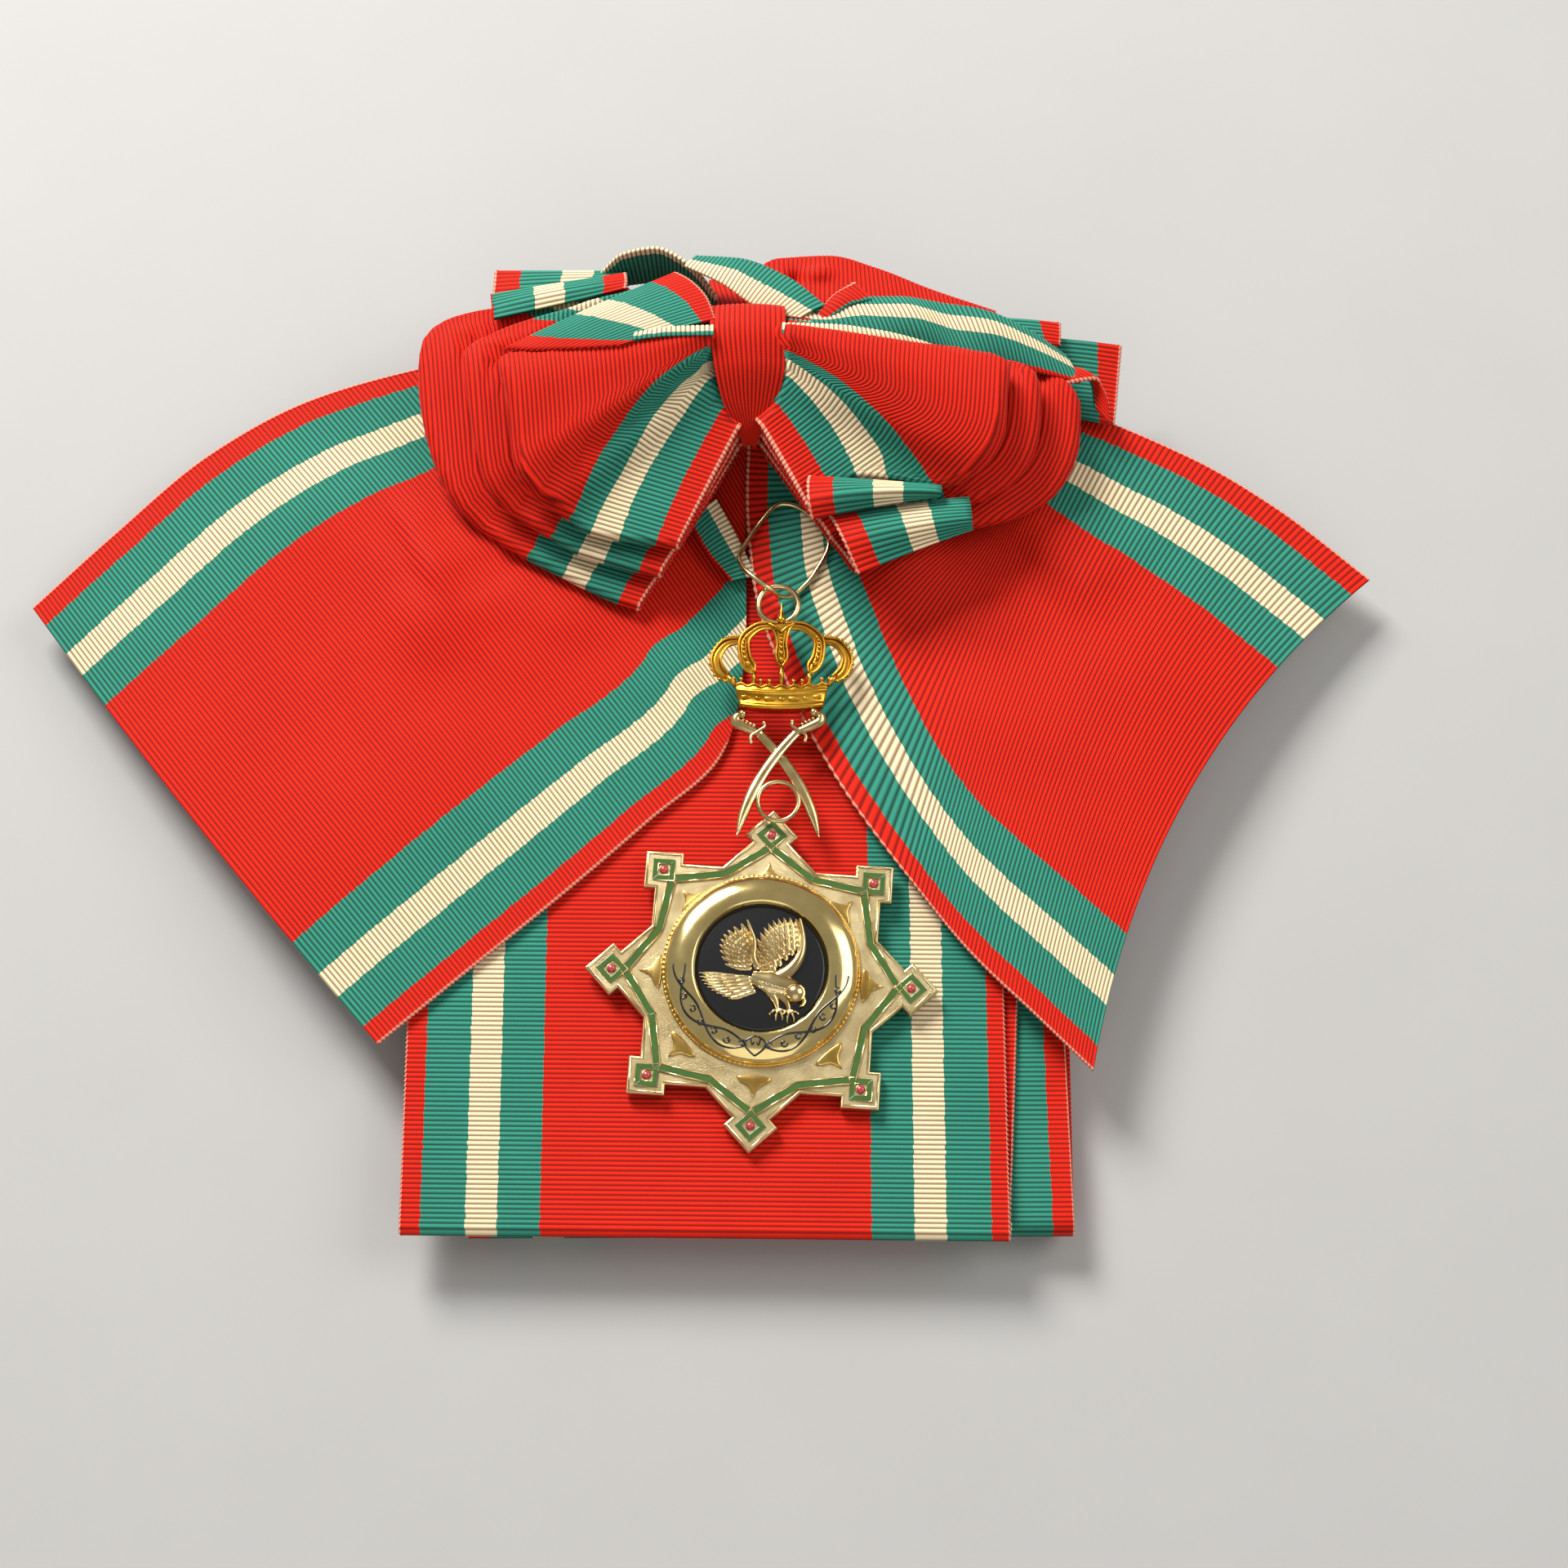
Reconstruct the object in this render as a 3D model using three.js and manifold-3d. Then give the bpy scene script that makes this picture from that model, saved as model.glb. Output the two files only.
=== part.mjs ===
// Sash of an order: a wide grosgrain ribbon folded flat, its gathered bow with two tails,
// and the enamelled badge that hangs from the bow, all as they lie on a table.
// Millimetres, X to the right, Y away from the viewer, Z up, resting at Z = 0.
import * as THREE from 'three';
import { mergeVertices } from 'three/addons/utils/BufferGeometryUtils.js';
import Module from 'manifold-3d';

const wasm = await Module();
wasm.setup();

// Ribbon
const ribbonWidth = 100;
const clothWall = 1.0;
const clothGap = 0.3;

// Folded band
const bandPasses = 8;

// Bow and knot
const knotWall = 1.2;
const knotLift = 1.2;
const loopClearance = 0.4;
const nestClearance = 0.65;
const rimSlope = 1.2;
const lookAside = 2.5;

// Star of the badge
const points = 8;
const starRadius = 25.1;
const starPlateWall = 1.8;
const starBorder = 1.9;
const starTurn = -4;
const bossSide = 6.4;
const leafPlace = 18.1;
const leafLobe = 1.5;
const leafRise = 0.4;
const enamelLine = 0.94;
const enamelRise = 0.35;
const enamelLoop = 3.4;
const dotRadius = 0.6;
const bezelRadius = 15.7;
const bezelRise = 3.0;
const bezelEdge = 0.8;
const bezelRound = 1.6;
const bezelLip = 1.2;
const discRadius = 10.8;
const discWall = 1.2;
const discCrown = 0.5;
const birdRise = 1.3;

// Crown of the badge
const crownWidth = 24.6;
const crownHeight = 17;
const crownFootWidth = 14.3;
const crownFlare = 0.16;
const crownSag = 0.9;
const crownBandHeight = 4.2;
const crownBandWall = 2.6;
const archWire = 1.9;
const archLift = 1.4;
const pearls = 7;
const pearlRadius = 0.7;
const orbRadius = 1.15;
const tipRadius = 0.75;
const tipHeight = 3.2;

// Sabres, rings and bail
const sabreDrop = 15;
const sabreWall = 1.4;
const sabreStep = 0.5;
const bladeWidth = 1.9;
const ringRadius = 3.4;
const ringWire = 0.8;
const ringPlace = 8.8;
const crownOverSabres = 8.1;
const jumpWire = 0.95;
const jumpRadius = 3.45;
const eyeWire = 0.7;
const bailWire = 0.8;
const fitGap = 0.3;
const badgeLean = 1.9;

// Heights that follow from the walls: the band's top, and the middles of the sheets that lie on it.
const step = clothWall + clothGap;
const bandTop = bandPasses * step - clothGap;
const leftTailSeat = bandTop + clothGap + clothWall / 2;
const rightTailSeat = leftTailSeat + step;
const leftBowSeat = leftTailSeat + step;
const rightBowSeat = rightTailSeat + step + bailWire + fitGap;
const legStep = clothWall + loopClearance;

// Every place in the tables is a share of the ribbon's width.
const W = ribbonWidth;
const table = (columns, rows) => {
  const names = columns.split(' ');
  return rows.map((row) => Object.fromEntries(row.map((value, k) => [names[k], value])));
};

// Folds of the band, from its lowest end to its highest: sideways shift, turn in degrees, and place.
const bandFolds = table('shift turn reach', [
  [-0.020, 0.0, 0.600], [-0.030, 0.2, -0.790], [-0.016, 0.0, 0.596],
  [-0.024, -0.6, -0.802], [-0.012, 0.0, 0.600], [-0.022, 0.2, -0.812],
  [-0.050, 0.0, 0.598], [-0.130, -0.6, -0.820], [-0.133, -0.4, 0.600],
]);

// Tails: stations from the knot to the free end, with the two selvedges a and b of each.
// bow is how far the middle of the station runs ahead of its ends.
const leftTail = table('at ax ay bx by bow', [
  [0.00, -0.110, 0.745, -0.066, 0.620, 0.000],
  [0.08, -0.240, 0.780, -0.067, 0.460, 0.000],
  [0.18, -0.400, 0.790, -0.066, 0.260, 0.000],
  [0.26, -0.530, 0.780, -0.078, 0.110, 0.000],
  [0.34, -0.656, 0.755, -0.107, 0.012, 0.000],
  [0.50, -0.853, 0.696, -0.232, -0.110, 0.005],
  [0.66, -1.029, 0.594, -0.374, -0.240, 0.005],
  [0.83, -1.190, 0.445, -0.530, -0.375, 0.000],
  [1.00, -1.327, 0.308, -0.676, -0.502, -0.010],
]);
const rightTail = table('at ax ay bx by bow', [
  [0.00, -0.020, 0.740, -0.064, 0.620, 0.000],
  [0.05, 0.080, 0.765, -0.067, 0.470, 0.000],
  [0.12, 0.200, 0.762, -0.056, 0.340, 0.000],
  [0.22, 0.320, 0.735, 0.012, 0.120, 0.000],
  [0.31, 0.430, 0.698, 0.092, -0.040, 0.010],
  [0.41, 0.528, 0.655, 0.200, -0.200, 0.020],
  [0.60, 0.715, 0.585, 0.315, -0.350, 0.045],
  [0.80, 0.872, 0.492, 0.415, -0.452, 0.070],
  [1.00, 1.037, 0.360, 0.512, -0.551, 0.090],
]);
// Past the band's edge a tail droops towards the table.
const leftTailDroop = 0.080;
const rightTailDroop = 0.130;
// Soft dents of the tails: along and across say where, long and wide how far they reach.
const leftTailDents = table('along across long wide rise', [
  [0.36, 0.36, 0.10, 0.050, 0.012], [0.46, 0.50, 0.12, 0.040, 0.010],
  [0.60, 0.22, 0.16, 0.090, 0.012], [0.80, 0.70, 0.18, 0.120, 0.010],
]);
const rightTailDents = table('along across long wide rise', [
  [0.38, 0.38, 0.10, 0.050, 0.022], [0.50, 0.62, 0.14, 0.070, 0.012],
  [0.78, 0.40, 0.20, 0.120, 0.014],
]);

// Bow loops: lines along the ribbon, from its far selvedge (across 0) to its near one (across 1).
// root is where a line leaves the knot, in and out where the innermost and outermost loop fold;
// rootRise and rise are heights over the bow's seat at the knot and at the fold, fold how far the
// two legs of one loop part at the fold.
const leftBow = table('across rootX rootY rootRise inX inY outX outY rise fold', [
  [0.000, -0.133, 0.752, 0.150, -0.193, 0.812, -0.279, 0.852, 0.080, 0.012],
  [0.040, -0.133, 0.745, 0.146, -0.228, 0.806, -0.321, 0.848, 0.078, 0.012],
  [0.108, -0.134, 0.738, 0.138, -0.276, 0.790, -0.393, 0.838, 0.070, 0.010],
  [0.158, -0.134, 0.732, 0.132, -0.329, 0.768, -0.443, 0.829, 0.066, 0.008],
  [0.229, -0.135, 0.724, 0.128, -0.388, 0.742, -0.519, 0.824, 0.060, 0.006],
  [0.350, -0.135, 0.714, 0.136, -0.452, 0.698, -0.601, 0.802, 0.056, 0.010],
  [0.420, -0.136, 0.699, 0.166, -0.490, 0.654, -0.638, 0.755, 0.054, 0.028],
  [0.470, -0.136, 0.690, 0.166, -0.478, 0.616, -0.643, 0.700, 0.048, 0.030],
  [0.540, -0.136, 0.680, 0.158, -0.467, 0.560, -0.632, 0.610, 0.036, 0.027],
  [0.610, -0.136, 0.672, 0.150, -0.464, 0.512, -0.604, 0.518, 0.024, 0.024],
  [0.670, -0.135, 0.664, 0.142, -0.455, 0.464, -0.566, 0.455, 0.012, 0.021],
  [0.700, -0.136, 0.655, 0.112, -0.425, 0.442, -0.530, 0.425, 0.006, 0.010],
  [0.771, -0.133, 0.642, 0.104, -0.371, 0.408, -0.450, 0.372, 0.006, 0.006],
  [0.842, -0.127, 0.618, 0.096, -0.336, 0.386, -0.386, 0.338, 0.005, 0.003],
  [0.892, -0.116, 0.596, 0.090, -0.287, 0.374, -0.348, 0.318, 0.003, 0.003],
  [0.960, -0.095, 0.572, 0.082, -0.222, 0.364, -0.289, 0.290, 0.002, 0.003],
  [1.000, -0.078, 0.556, 0.078, -0.182, 0.358, -0.252, 0.278, 0.001, 0.003],
]);
const rightBow = table('across rootX rootY rootRise inX inY outX outY rise fold', [
  [0.000, 0.008, 0.742, 0.118, 0.110, 0.734, 0.230, 0.752, 0.020, 0.004],
  [0.108, 0.009, 0.736, 0.114, 0.180, 0.726, 0.320, 0.748, 0.020, 0.004],
  [0.229, 0.010, 0.726, 0.116, 0.260, 0.712, 0.400, 0.736, 0.022, 0.006],
  [0.350, 0.010, 0.714, 0.130, 0.340, 0.682, 0.462, 0.702, 0.032, 0.014],
  [0.420, 0.010, 0.698, 0.154, 0.386, 0.644, 0.500, 0.664, 0.046, 0.025],
  [0.480, 0.010, 0.686, 0.152, 0.380, 0.592, 0.517, 0.628, 0.040, 0.026],
  [0.550, 0.010, 0.674, 0.142, 0.377, 0.538, 0.514, 0.562, 0.030, 0.022],
  [0.620, 0.010, 0.664, 0.132, 0.360, 0.500, 0.484, 0.490, 0.020, 0.017],
  [0.700, 0.010, 0.652, 0.120, 0.315, 0.466, 0.424, 0.444, 0.012, 0.010],
  [0.771, 0.009, 0.640, 0.106, 0.265, 0.456, 0.328, 0.420, 0.008, 0.006],
  [0.842, 0.005, 0.618, 0.096, 0.184, 0.470, 0.252, 0.414, 0.006, 0.005],
  [0.892, -0.003, 0.598, 0.088, 0.128, 0.474, 0.200, 0.400, 0.005, 0.004],
  [0.960, -0.022, 0.570, 0.076, 0.082, 0.452, 0.140, 0.366, 0.004, 0.003],
  [1.000, -0.040, 0.552, 0.070, 0.040, 0.414, 0.122, 0.336, 0.004, 0.003],
]);
// Share of the way from the outermost fold to the innermost, for each loop from the outermost.
const loopShares = { outer: 0, middle: 0.55, inner: 1 };

// Gathered cloth behind the knot, and the turned ends at the bow's upper corners.
// a is the far edge and b the near edge of each station, rise the height over the left bow's seat.
const topArch = table('at ax ay aRise bx by bRise', [
  [0.00, -0.330, 0.896, 0.085, -0.318, 0.880, 0.030],
  [0.25, -0.286, 0.912, 0.130, -0.274, 0.892, 0.055],
  [0.50, -0.228, 0.914, 0.148, -0.222, 0.890, 0.065],
  [0.75, -0.166, 0.884, 0.140, -0.170, 0.862, 0.060],
  [1.00, -0.118, 0.832, 0.120, -0.124, 0.812, 0.050],
]);
const topFold = table('at ax ay aRise bx by bRise', [
  [0.00, -0.114, 0.912, 0.105, -0.104, 0.826, 0.130],
  [0.50, -0.055, 0.905, 0.105, -0.066, 0.796, 0.136],
  [1.00, 0.010, 0.880, 0.095, 0.010, 0.786, 0.142],
]);
const topMass = table('at ax ay aRise bx by bRise', [
  [0.00, 0.030, 0.895, 0.125, 0.028, 0.772, 0.160],
  [0.20, 0.095, 0.893, 0.135, 0.100, 0.768, 0.162],
  [0.40, 0.190, 0.868, 0.120, 0.200, 0.752, 0.158],
  [0.60, 0.316, 0.832, 0.095, 0.335, 0.724, 0.150],
  [0.80, 0.450, 0.806, 0.070, 0.480, 0.716, 0.088],
  [1.00, 0.600, 0.780, 0.022, 0.590, 0.640, 0.004],
]);
const leftEnd = table('at ax ay aRise bx by bRise', [
  [0.00, -0.524, 0.918, 0.040, -0.526, 0.834, 0.052],
  [0.50, -0.430, 0.914, 0.052, -0.430, 0.842, 0.064],
  [1.00, -0.334, 0.912, 0.060, -0.324, 0.853, 0.070],
]);
// Small waves of the gathered cloth, read as the dents of the tails.
const topMassDents = table('along across long wide rise', [
  [0.30, 0.30, 0.16, 0.10, 0.020], [0.62, 0.62, 0.20, 0.14, 0.022],
]);

// Knot: the strip that wraps the gathered loops, from its far lower end over the ridge to the V.
const knot = table('at y z left right', [
  [0.00, 0.770, 0.040, -0.120, -0.010], [0.15, 0.776, 0.120, -0.126, -0.003],
  [0.32, 0.752, 0.196, -0.127, 0.001], [0.48, 0.706, 0.216, -0.127, 0.002],
  [0.66, 0.650, 0.196, -0.120, 0.001], [0.82, 0.600, 0.156, -0.106, -0.012],
  [0.92, 0.568, 0.122, -0.083, -0.034], [1.00, 0.545, 0.086, -0.066, -0.054],
]);

// Wire bail: its closed way round, lying on the tails; rise is over its seat on them.
const bailWay = table('x y rise', [
  [-0.019, 0.469, 0.000], [-0.049, 0.430, 0.000], [-0.077, 0.375, 0.012], [-0.074, 0.345, 0.030],
  [-0.058, 0.322, 0.044], [-0.036, 0.303, 0.046], [-0.022, 0.295, 0.040], [-0.010, 0.290, 0.026],
  [0.002, 0.293, 0.012], [0.017, 0.301, 0.003], [0.034, 0.318, 0.000], [0.054, 0.344, 0.000],
  [0.078, 0.394, 0.000], [0.068, 0.432, 0.000], [0.034, 0.464, 0.000], [0.006, 0.476, 0.000],
]);
const jumpX = -0.010;

// Middle of the badge's star
const starPlace = { x: -0.038, y: -0.393 };

// Raptor on the medallion: feathered lobes from root to tip, in shares of the disc's radius.
const birdLobes = table('lobe x0 y0 x1 y1 rootWidth tipWidth', [
  ['near wing', 0.10, 0.10, -0.12, 0.78, 0.31, 0.11],
  ['near wing fore', 0.16, 0.08, 0.22, 0.84, 0.25, 0.09],
  ['near wing tip', 0.20, 0.06, 0.56, 0.56, 0.25, 0.08],
  ['far wing', -0.06, 0.08, -0.62, 0.60, 0.25, 0.11],
  ['far wing hind', -0.06, 0.04, -0.66, 0.30, 0.22, 0.09],
  ['tail', -0.04, -0.10, -0.70, -0.22, 0.15, 0.15],
  ['body', -0.14, 0.00, 0.36, -0.16, 0.22, 0.13],
  ['head', 0.34, -0.14, 0.58, -0.24, 0.20, 0.08],
  ['left leg', 0.10, -0.16, 0.24, -0.56, 0.11, 0.06],
  ['right leg', 0.24, -0.20, 0.44, -0.52, 0.09, 0.06],
]);
// How a lobe swells between its root and its tip: place, share of the root's width, of the tip's.
const lobeSwell = table('at root tip', [
  [0.00, 0.80, 0.00], [0.35, 1.00, 0.00], [0.75, 0.00, 1.70], [1.00, 0.00, 0.80],
]);

// Arches of the crown: side, reach of the foot, reach of the belly, height of the belly.
const crownArches = table('side foot out high', [
  [-1, 1.05, 1.00, 0.52], [-1, 0.50, 0.46, 0.66],
  [1, 0.50, 0.46, 0.66], [1, 1.05, 1.00, 0.52], [0, 0.00, 0.00, 0.50],
]);

// Sabre: its blade's three leading points and its hilt's bars, in shares of its drop; the widths
// are in blade widths, over the blade's wall.
const blade = table('x y', [[0.24, 0.307], [-0.36, -0.36], [-0.46, -1]]);
const bladeTaper = [1, 1, 1.05, 1.1, 1.05, 0.75, 0.15];
const hiltBars = table('x0 y0 x1 y1 from to over', [
  [0.227, 0.280, 0.440, 0.447, 0.84, 1.05, 0.3], [0.413, 0.480, 0.500, 0.380, 0.68, 0.58, 0.35],
  [0.147, 0.373, 0.327, 0.173, 0.53, 0.53, 0.4],
]);

const group = new THREE.Group();
const lerp = THREE.MathUtils.lerp;
const clamp = THREE.MathUtils.clamp;
const rad = THREE.MathUtils.degToRad;

function finish(colour, roughness, metalness) {
  return new THREE.MeshStandardMaterial({ color: colour, roughness, metalness });
}
const redRibbon = finish('#dd2f1e', 0.85, 0);
const greenRibbon = finish('#2d8471', 0.85, 0);
const gilt = finish('#d8b86a', 0.3, 1);
const silverGilt = finish('#d9c9a0', 0.35, 1);
const steelGilt = finish('#cdbb8a', 0.3, 1);
const greenEnamel = finish('#4f5f34', 0.25, 0);
const redEnamel = finish('#b5323c', 0.25, 0);
const blackEnamel = finish('#0c0c0f', 0.15, 0);

function addMesh(name, geometry, material, parent = group) {
  const mesh = new THREE.Mesh(geometry, material);
  mesh.name = name;
  parent.add(mesh);
  return mesh;
}

// Slope of one column at row i, kept from overshooting.
function slope(rows, by, key, i) {
  if (i === 0 || i === rows.length - 1) return 0;
  const before = (rows[i][key] - rows[i - 1][key]) / (rows[i][by] - rows[i - 1][by]);
  const after = (rows[i + 1][key] - rows[i][key]) / (rows[i + 1][by] - rows[i][by]);
  return before * after <= 0 ? 0 : (2 * before * after) / (before + after);
}

// Reads every column of a table at one place by smooth interpolation.
function readRow(rows, by, place) {
  let i = 0;
  while (i < rows.length - 2 && place > rows[i + 1][by]) i += 1;
  const span = rows[i + 1][by] - rows[i][by];
  const t = clamp((place - rows[i][by]) / span, 0, 1);
  const row = {};
  for (const key of Object.keys(rows[0])) {
    const [p0, p1] = [rows[i][key], rows[i + 1][key]];
    const endSlope = (p1 - p0) / span;
    const m0 = (i === 0 ? endSlope : slope(rows, by, key, i)) * span;
    const m1 = (i === rows.length - 2 ? endSlope : slope(rows, by, key, i + 1)) * span;
    const a = 2 * p0 - 2 * p1 + m0 + m1;
    const b = -3 * p0 + 3 * p1 - 2 * m0 - m1;
    row[key] = ((a * t + b) * t + m0) * t + p0;
  }
  return row;
}

function dentRise(dents, along, across) {
  let rise = 0;
  for (const d of dents) {
    const v = (along - d.along) / d.long;
    const u = (across - d.across) / d.wide;
    rise += d.rise * Math.exp(-v * v - u * u);
  }
  return rise;
}

// Closed solid between two grids of points, front[i][j] facing out and back[i][j] behind it.
function solidBetween(front, back) {
  const rows = front.length;
  const columns = front[0].length;
  const points = [...front.flat(), ...back.flat()];
  const at = (side, i, j) => side * rows * columns + i * columns + j;
  const faces = [];
  const quad = (a, b, c, d) => faces.push(a, b, c, a, c, d);
  for (let i = 0; i < rows - 1; i += 1) {
    for (let j = 0; j < columns - 1; j += 1) {
      quad(at(0, i, j), at(0, i + 1, j), at(0, i + 1, j + 1), at(0, i, j + 1));
      quad(at(1, i, j), at(1, i, j + 1), at(1, i + 1, j + 1), at(1, i + 1, j));
    }
  }
  for (let i = 0; i < rows - 1; i += 1) {
    quad(at(0, i, 0), at(1, i, 0), at(1, i + 1, 0), at(0, i + 1, 0));
    quad(at(0, i, columns - 1), at(0, i + 1, columns - 1), at(1, i + 1, columns - 1), at(1, i, columns - 1));
  }
  for (let j = 0; j < columns - 1; j += 1) {
    quad(at(0, 0, j), at(0, 0, j + 1), at(1, 0, j + 1), at(1, 0, j));
    quad(at(0, rows - 1, j), at(1, rows - 1, j), at(1, rows - 1, j + 1), at(0, rows - 1, j + 1));
  }
  return facingOut(points, faces);
}

function facingOut(points, faces) {
  let volume = 0;
  for (let k = 0; k < faces.length; k += 3) {
    const [a, b, c] = [points[faces[k]], points[faces[k + 1]], points[faces[k + 2]]];
    volume += a.dot(new THREE.Vector3().crossVectors(b, c));
  }
  if (volume < 0) faces.reverse();
  const geometry = new THREE.BufferGeometry().setFromPoints(points);
  geometry.setIndex(faces);
  return geometry;
}

// Walks a flat way of points [run, height] and returns it pushed aside by half a wall.
function pushedAside(way, distance) {
  return way.map(([h, z], k) => {
    const [h0, z0] = way[Math.max(k - 1, 0)];
    const [h1, z1] = way[Math.min(k + 1, way.length - 1)];
    const length = Math.hypot(h1 - h0, z1 - z0);
    return [h - (distance * (z1 - z0)) / length, z + (distance * (h1 - h0)) / length];
  });
}

// Points of a half turn, out and up from below its centre at the given height.
function halfTurn(radius, height, steps) {
  return Array.from({ length: steps - 1 }, (_, k) => {
    const angle = (Math.PI * (k + 1)) / steps;
    return [radius * Math.sin(angle), height - radius * Math.cos(angle)];
  });
}

// Folded band: passes laid to and fro, each on the one below.
function foldedBand() {
  const way = [];
  const foldAt = [];
  const radius = step / 2;
  for (let pass = 0; pass < bandPasses; pass += 1) {
    const side = pass % 2 === 0 ? -1 : 1;
    const [from, to] = [bandFolds[pass].reach * W, bandFolds[pass + 1].reach * W];
    const z = pass * step + clothWall / 2;
    const start = pass === 0 ? from : from + side * radius;
    const end = pass === bandPasses - 1 ? to : to - side * radius;
    for (const t of [0, 0.5, 1]) {
      way.push([lerp(start, end, t), z]);
      foldAt.push(pass + t);
    }
    if (pass < bandPasses - 1) {
      for (const [out, height] of halfTurn(radius, z + radius, 4)) {
        way.push([end + side * out, height]);
        foldAt.push(pass + 1);
      }
    }
  }
  const sides = [pushedAside(way, clothWall / 2), pushedAside(way, -clothWall / 2)];
  const [front, back] = sides.map((side) => [0, 1].map((across) => side.map(([y, z], k) => {
    const i = Math.min(Math.floor(foldAt[k]), bandFolds.length - 2);
    const t = foldAt[k] - i;
    const shift = lerp(bandFolds[i].shift, bandFolds[i + 1].shift, t);
    const turn = rad(lerp(bandFolds[i].turn, bandFolds[i + 1].turn, t));
    const x = (across - 0.5 + shift) * W;
    return new THREE.Vector3(x, y + (x * Math.tan(turn)), z);
  })));
  return solidBetween(front, back);
}

// Droop of a sheet past the folded band's edge, which lies at a share of the ribbon's width.
const bandShifts = bandFolds.map((fold) => fold.shift);
const bandEdges = { left: Math.min(...bandShifts) - 0.5, right: Math.max(...bandShifts) + 0.5 };
function droopAt(x, droop) {
  const beyond = x < 0 ? bandEdges.left - x : x - bandEdges.right;
  return droop * Math.max(beyond, 0) ** 1.4;
}

// Sheet laid by stations: two selvedges, a middle that runs ahead, soft dents and a droop.
function laidSheet(stations, seat, { across = 10, along = 13, dents = [], droop = 0 }) {
  const grids = [clothWall / 2, -clothWall / 2].map((side) => {
    const grid = [];
    for (let i = 0; i <= across; i += 1) {
      const u = i / across;
      const line = [];
      for (let j = 0; j <= along; j += 1) {
        const v = j / along;
        const { ax, ay, bx, by, aRise = 0, bRise = 0, bow = 0 } = readRow(stations, 'at', v);
        const [dx, dy] = [bx - ax, by - ay];
        const ahead = (Math.sign(dx * dy) * bow * 4 * u * (1 - u)) / Math.hypot(dx, dy);
        const x = lerp(ax, bx, u) + dy * ahead;
        const y = lerp(ay, by, u) - dx * ahead;
        const rise = lerp(aRise, bRise, u) + dentRise(dents, v, u) - droopAt(x, droop);
        line.push(new THREE.Vector3(x * W, y * W, seat + rise * W + side));
      }
      grid.push(line);
    }
    return grid;
  });
  return solidBetween(grids[0], grids[1]);
}

// Where a loop's line folds. order counts the loops from the outermost.
const loopOrder = Object.keys(loopShares);
function foldOf(row, order) {
  const inward = loopShares[loopOrder[order]];
  const dx = (lerp(row.outX, row.inX, inward) - row.rootX) * W;
  const dy = (lerp(row.outY, row.inY, inward) - row.rootY) * W;
  const reach = Math.hypot(dx, dy);
  return { dirX: dx / reach, dirY: dy / reach, reach };
}

// Line of one loop that passes over a point, found by halving.
const halvings = 14;
function lineOver(rows, order, x, y) {
  const hand = Math.sign(rows[0].outX - rows[0].rootX);
  let [low, high] = [0, 1];
  for (let k = 0; k < halvings; k += 1) {
    const middle = (low + high) / 2;
    const row = readRow(rows, 'across', middle);
    const { dirX, dirY } = foldOf(row, order);
    const side = dirX * (y - row.rootY * W) - dirY * (x - row.rootX * W);
    if (side * hand > 0) high = middle;
    else low = middle;
  }
  return (low + high) / 2;
}

// Height of a loop's leg, upper or lower, over the bow's seat. It follows the table and
// stays under the loops above it, from which it rises again past their folds.
const around = [[0, 0], [lookAside, 0], [-lookAside, 0], [0, lookAside], [0, -lookAside]];
function legHeight(rows, order, isUpper, row, h) {
  const level = 2 * order + (isUpper ? 1 : 0);
  const foldRise = row.rise + row.fold * Math.floor((level + 1) / 2);
  let height = level * legStep + lerp(row.rootRise, foldRise, h / foldOf(row, 0).reach) * W;
  const { dirX, dirY } = foldOf(row, order);
  const x = row.rootX * W + dirX * h;
  const y = row.rootY * W + dirY * h;
  for (let above = order + 1; above < loopOrder.length; above += 1) {
    for (const [dx, dy] of around) {
      const over = readRow(rows, 'across', lineOver(rows, above, x + dx, y + dy));
      const run = Math.hypot(x + dx - over.rootX * W, y + dy - over.rootY * W);
      const { reach } = foldOf(over, above);
      const past = Math.max(run - reach - clothWall, 0);
      const room = nestClearance + legStep * (isUpper ? 1 : 2);
      const ceiling = legHeight(rows, above, false, over, Math.min(run, reach)) - room;
      height = Math.min(height, ceiling + rimSlope * past);
    }
  }
  return height;
}

// One loop of the bow: out from the knot, round its fold and back underneath.
const loopSteps = { across: 15, leg: 3, turn: 3 };
function bowLoop(rows, seat, order) {
  const { across, leg, turn } = loopSteps;
  const front = [];
  const back = [];
  for (let i = 0; i <= across; i += 1) {
    const row = readRow(rows, 'across', i / across);
    const { dirX, dirY, reach } = foldOf(row, order);
    const upper = (h) => seat + legHeight(rows, order, true, row, h);
    const lower = (h) => Math.min(seat + legHeight(rows, order, false, row, h), upper(h) - legStep);
    const stop = reach - (upper(reach) - lower(reach)) / 2;
    const middle = (upper(stop) + lower(stop)) / 2;
    const half = (upper(stop) - lower(stop)) / 2;
    const way = [];
    for (let k = 0; k <= leg; k += 1) way.push([(stop * k) / leg, upper((stop * k) / leg)]);
    for (const [out, down] of halfTurn(half, 0, turn)) way.push([stop + out, middle - down]);
    for (let k = leg; k >= 0; k -= 1) way.push([(stop * k) / leg, lower((stop * k) / leg)]);
    const place = ([h, z]) => new THREE.Vector3(row.rootX * W + dirX * h, row.rootY * W + dirY * h, z);
    front.push(pushedAside(way, clothWall / 2).map(place));
    back.push(pushedAside(way, -clothWall / 2).map(place));
  }
  return solidBetween(front, back);
}

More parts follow.
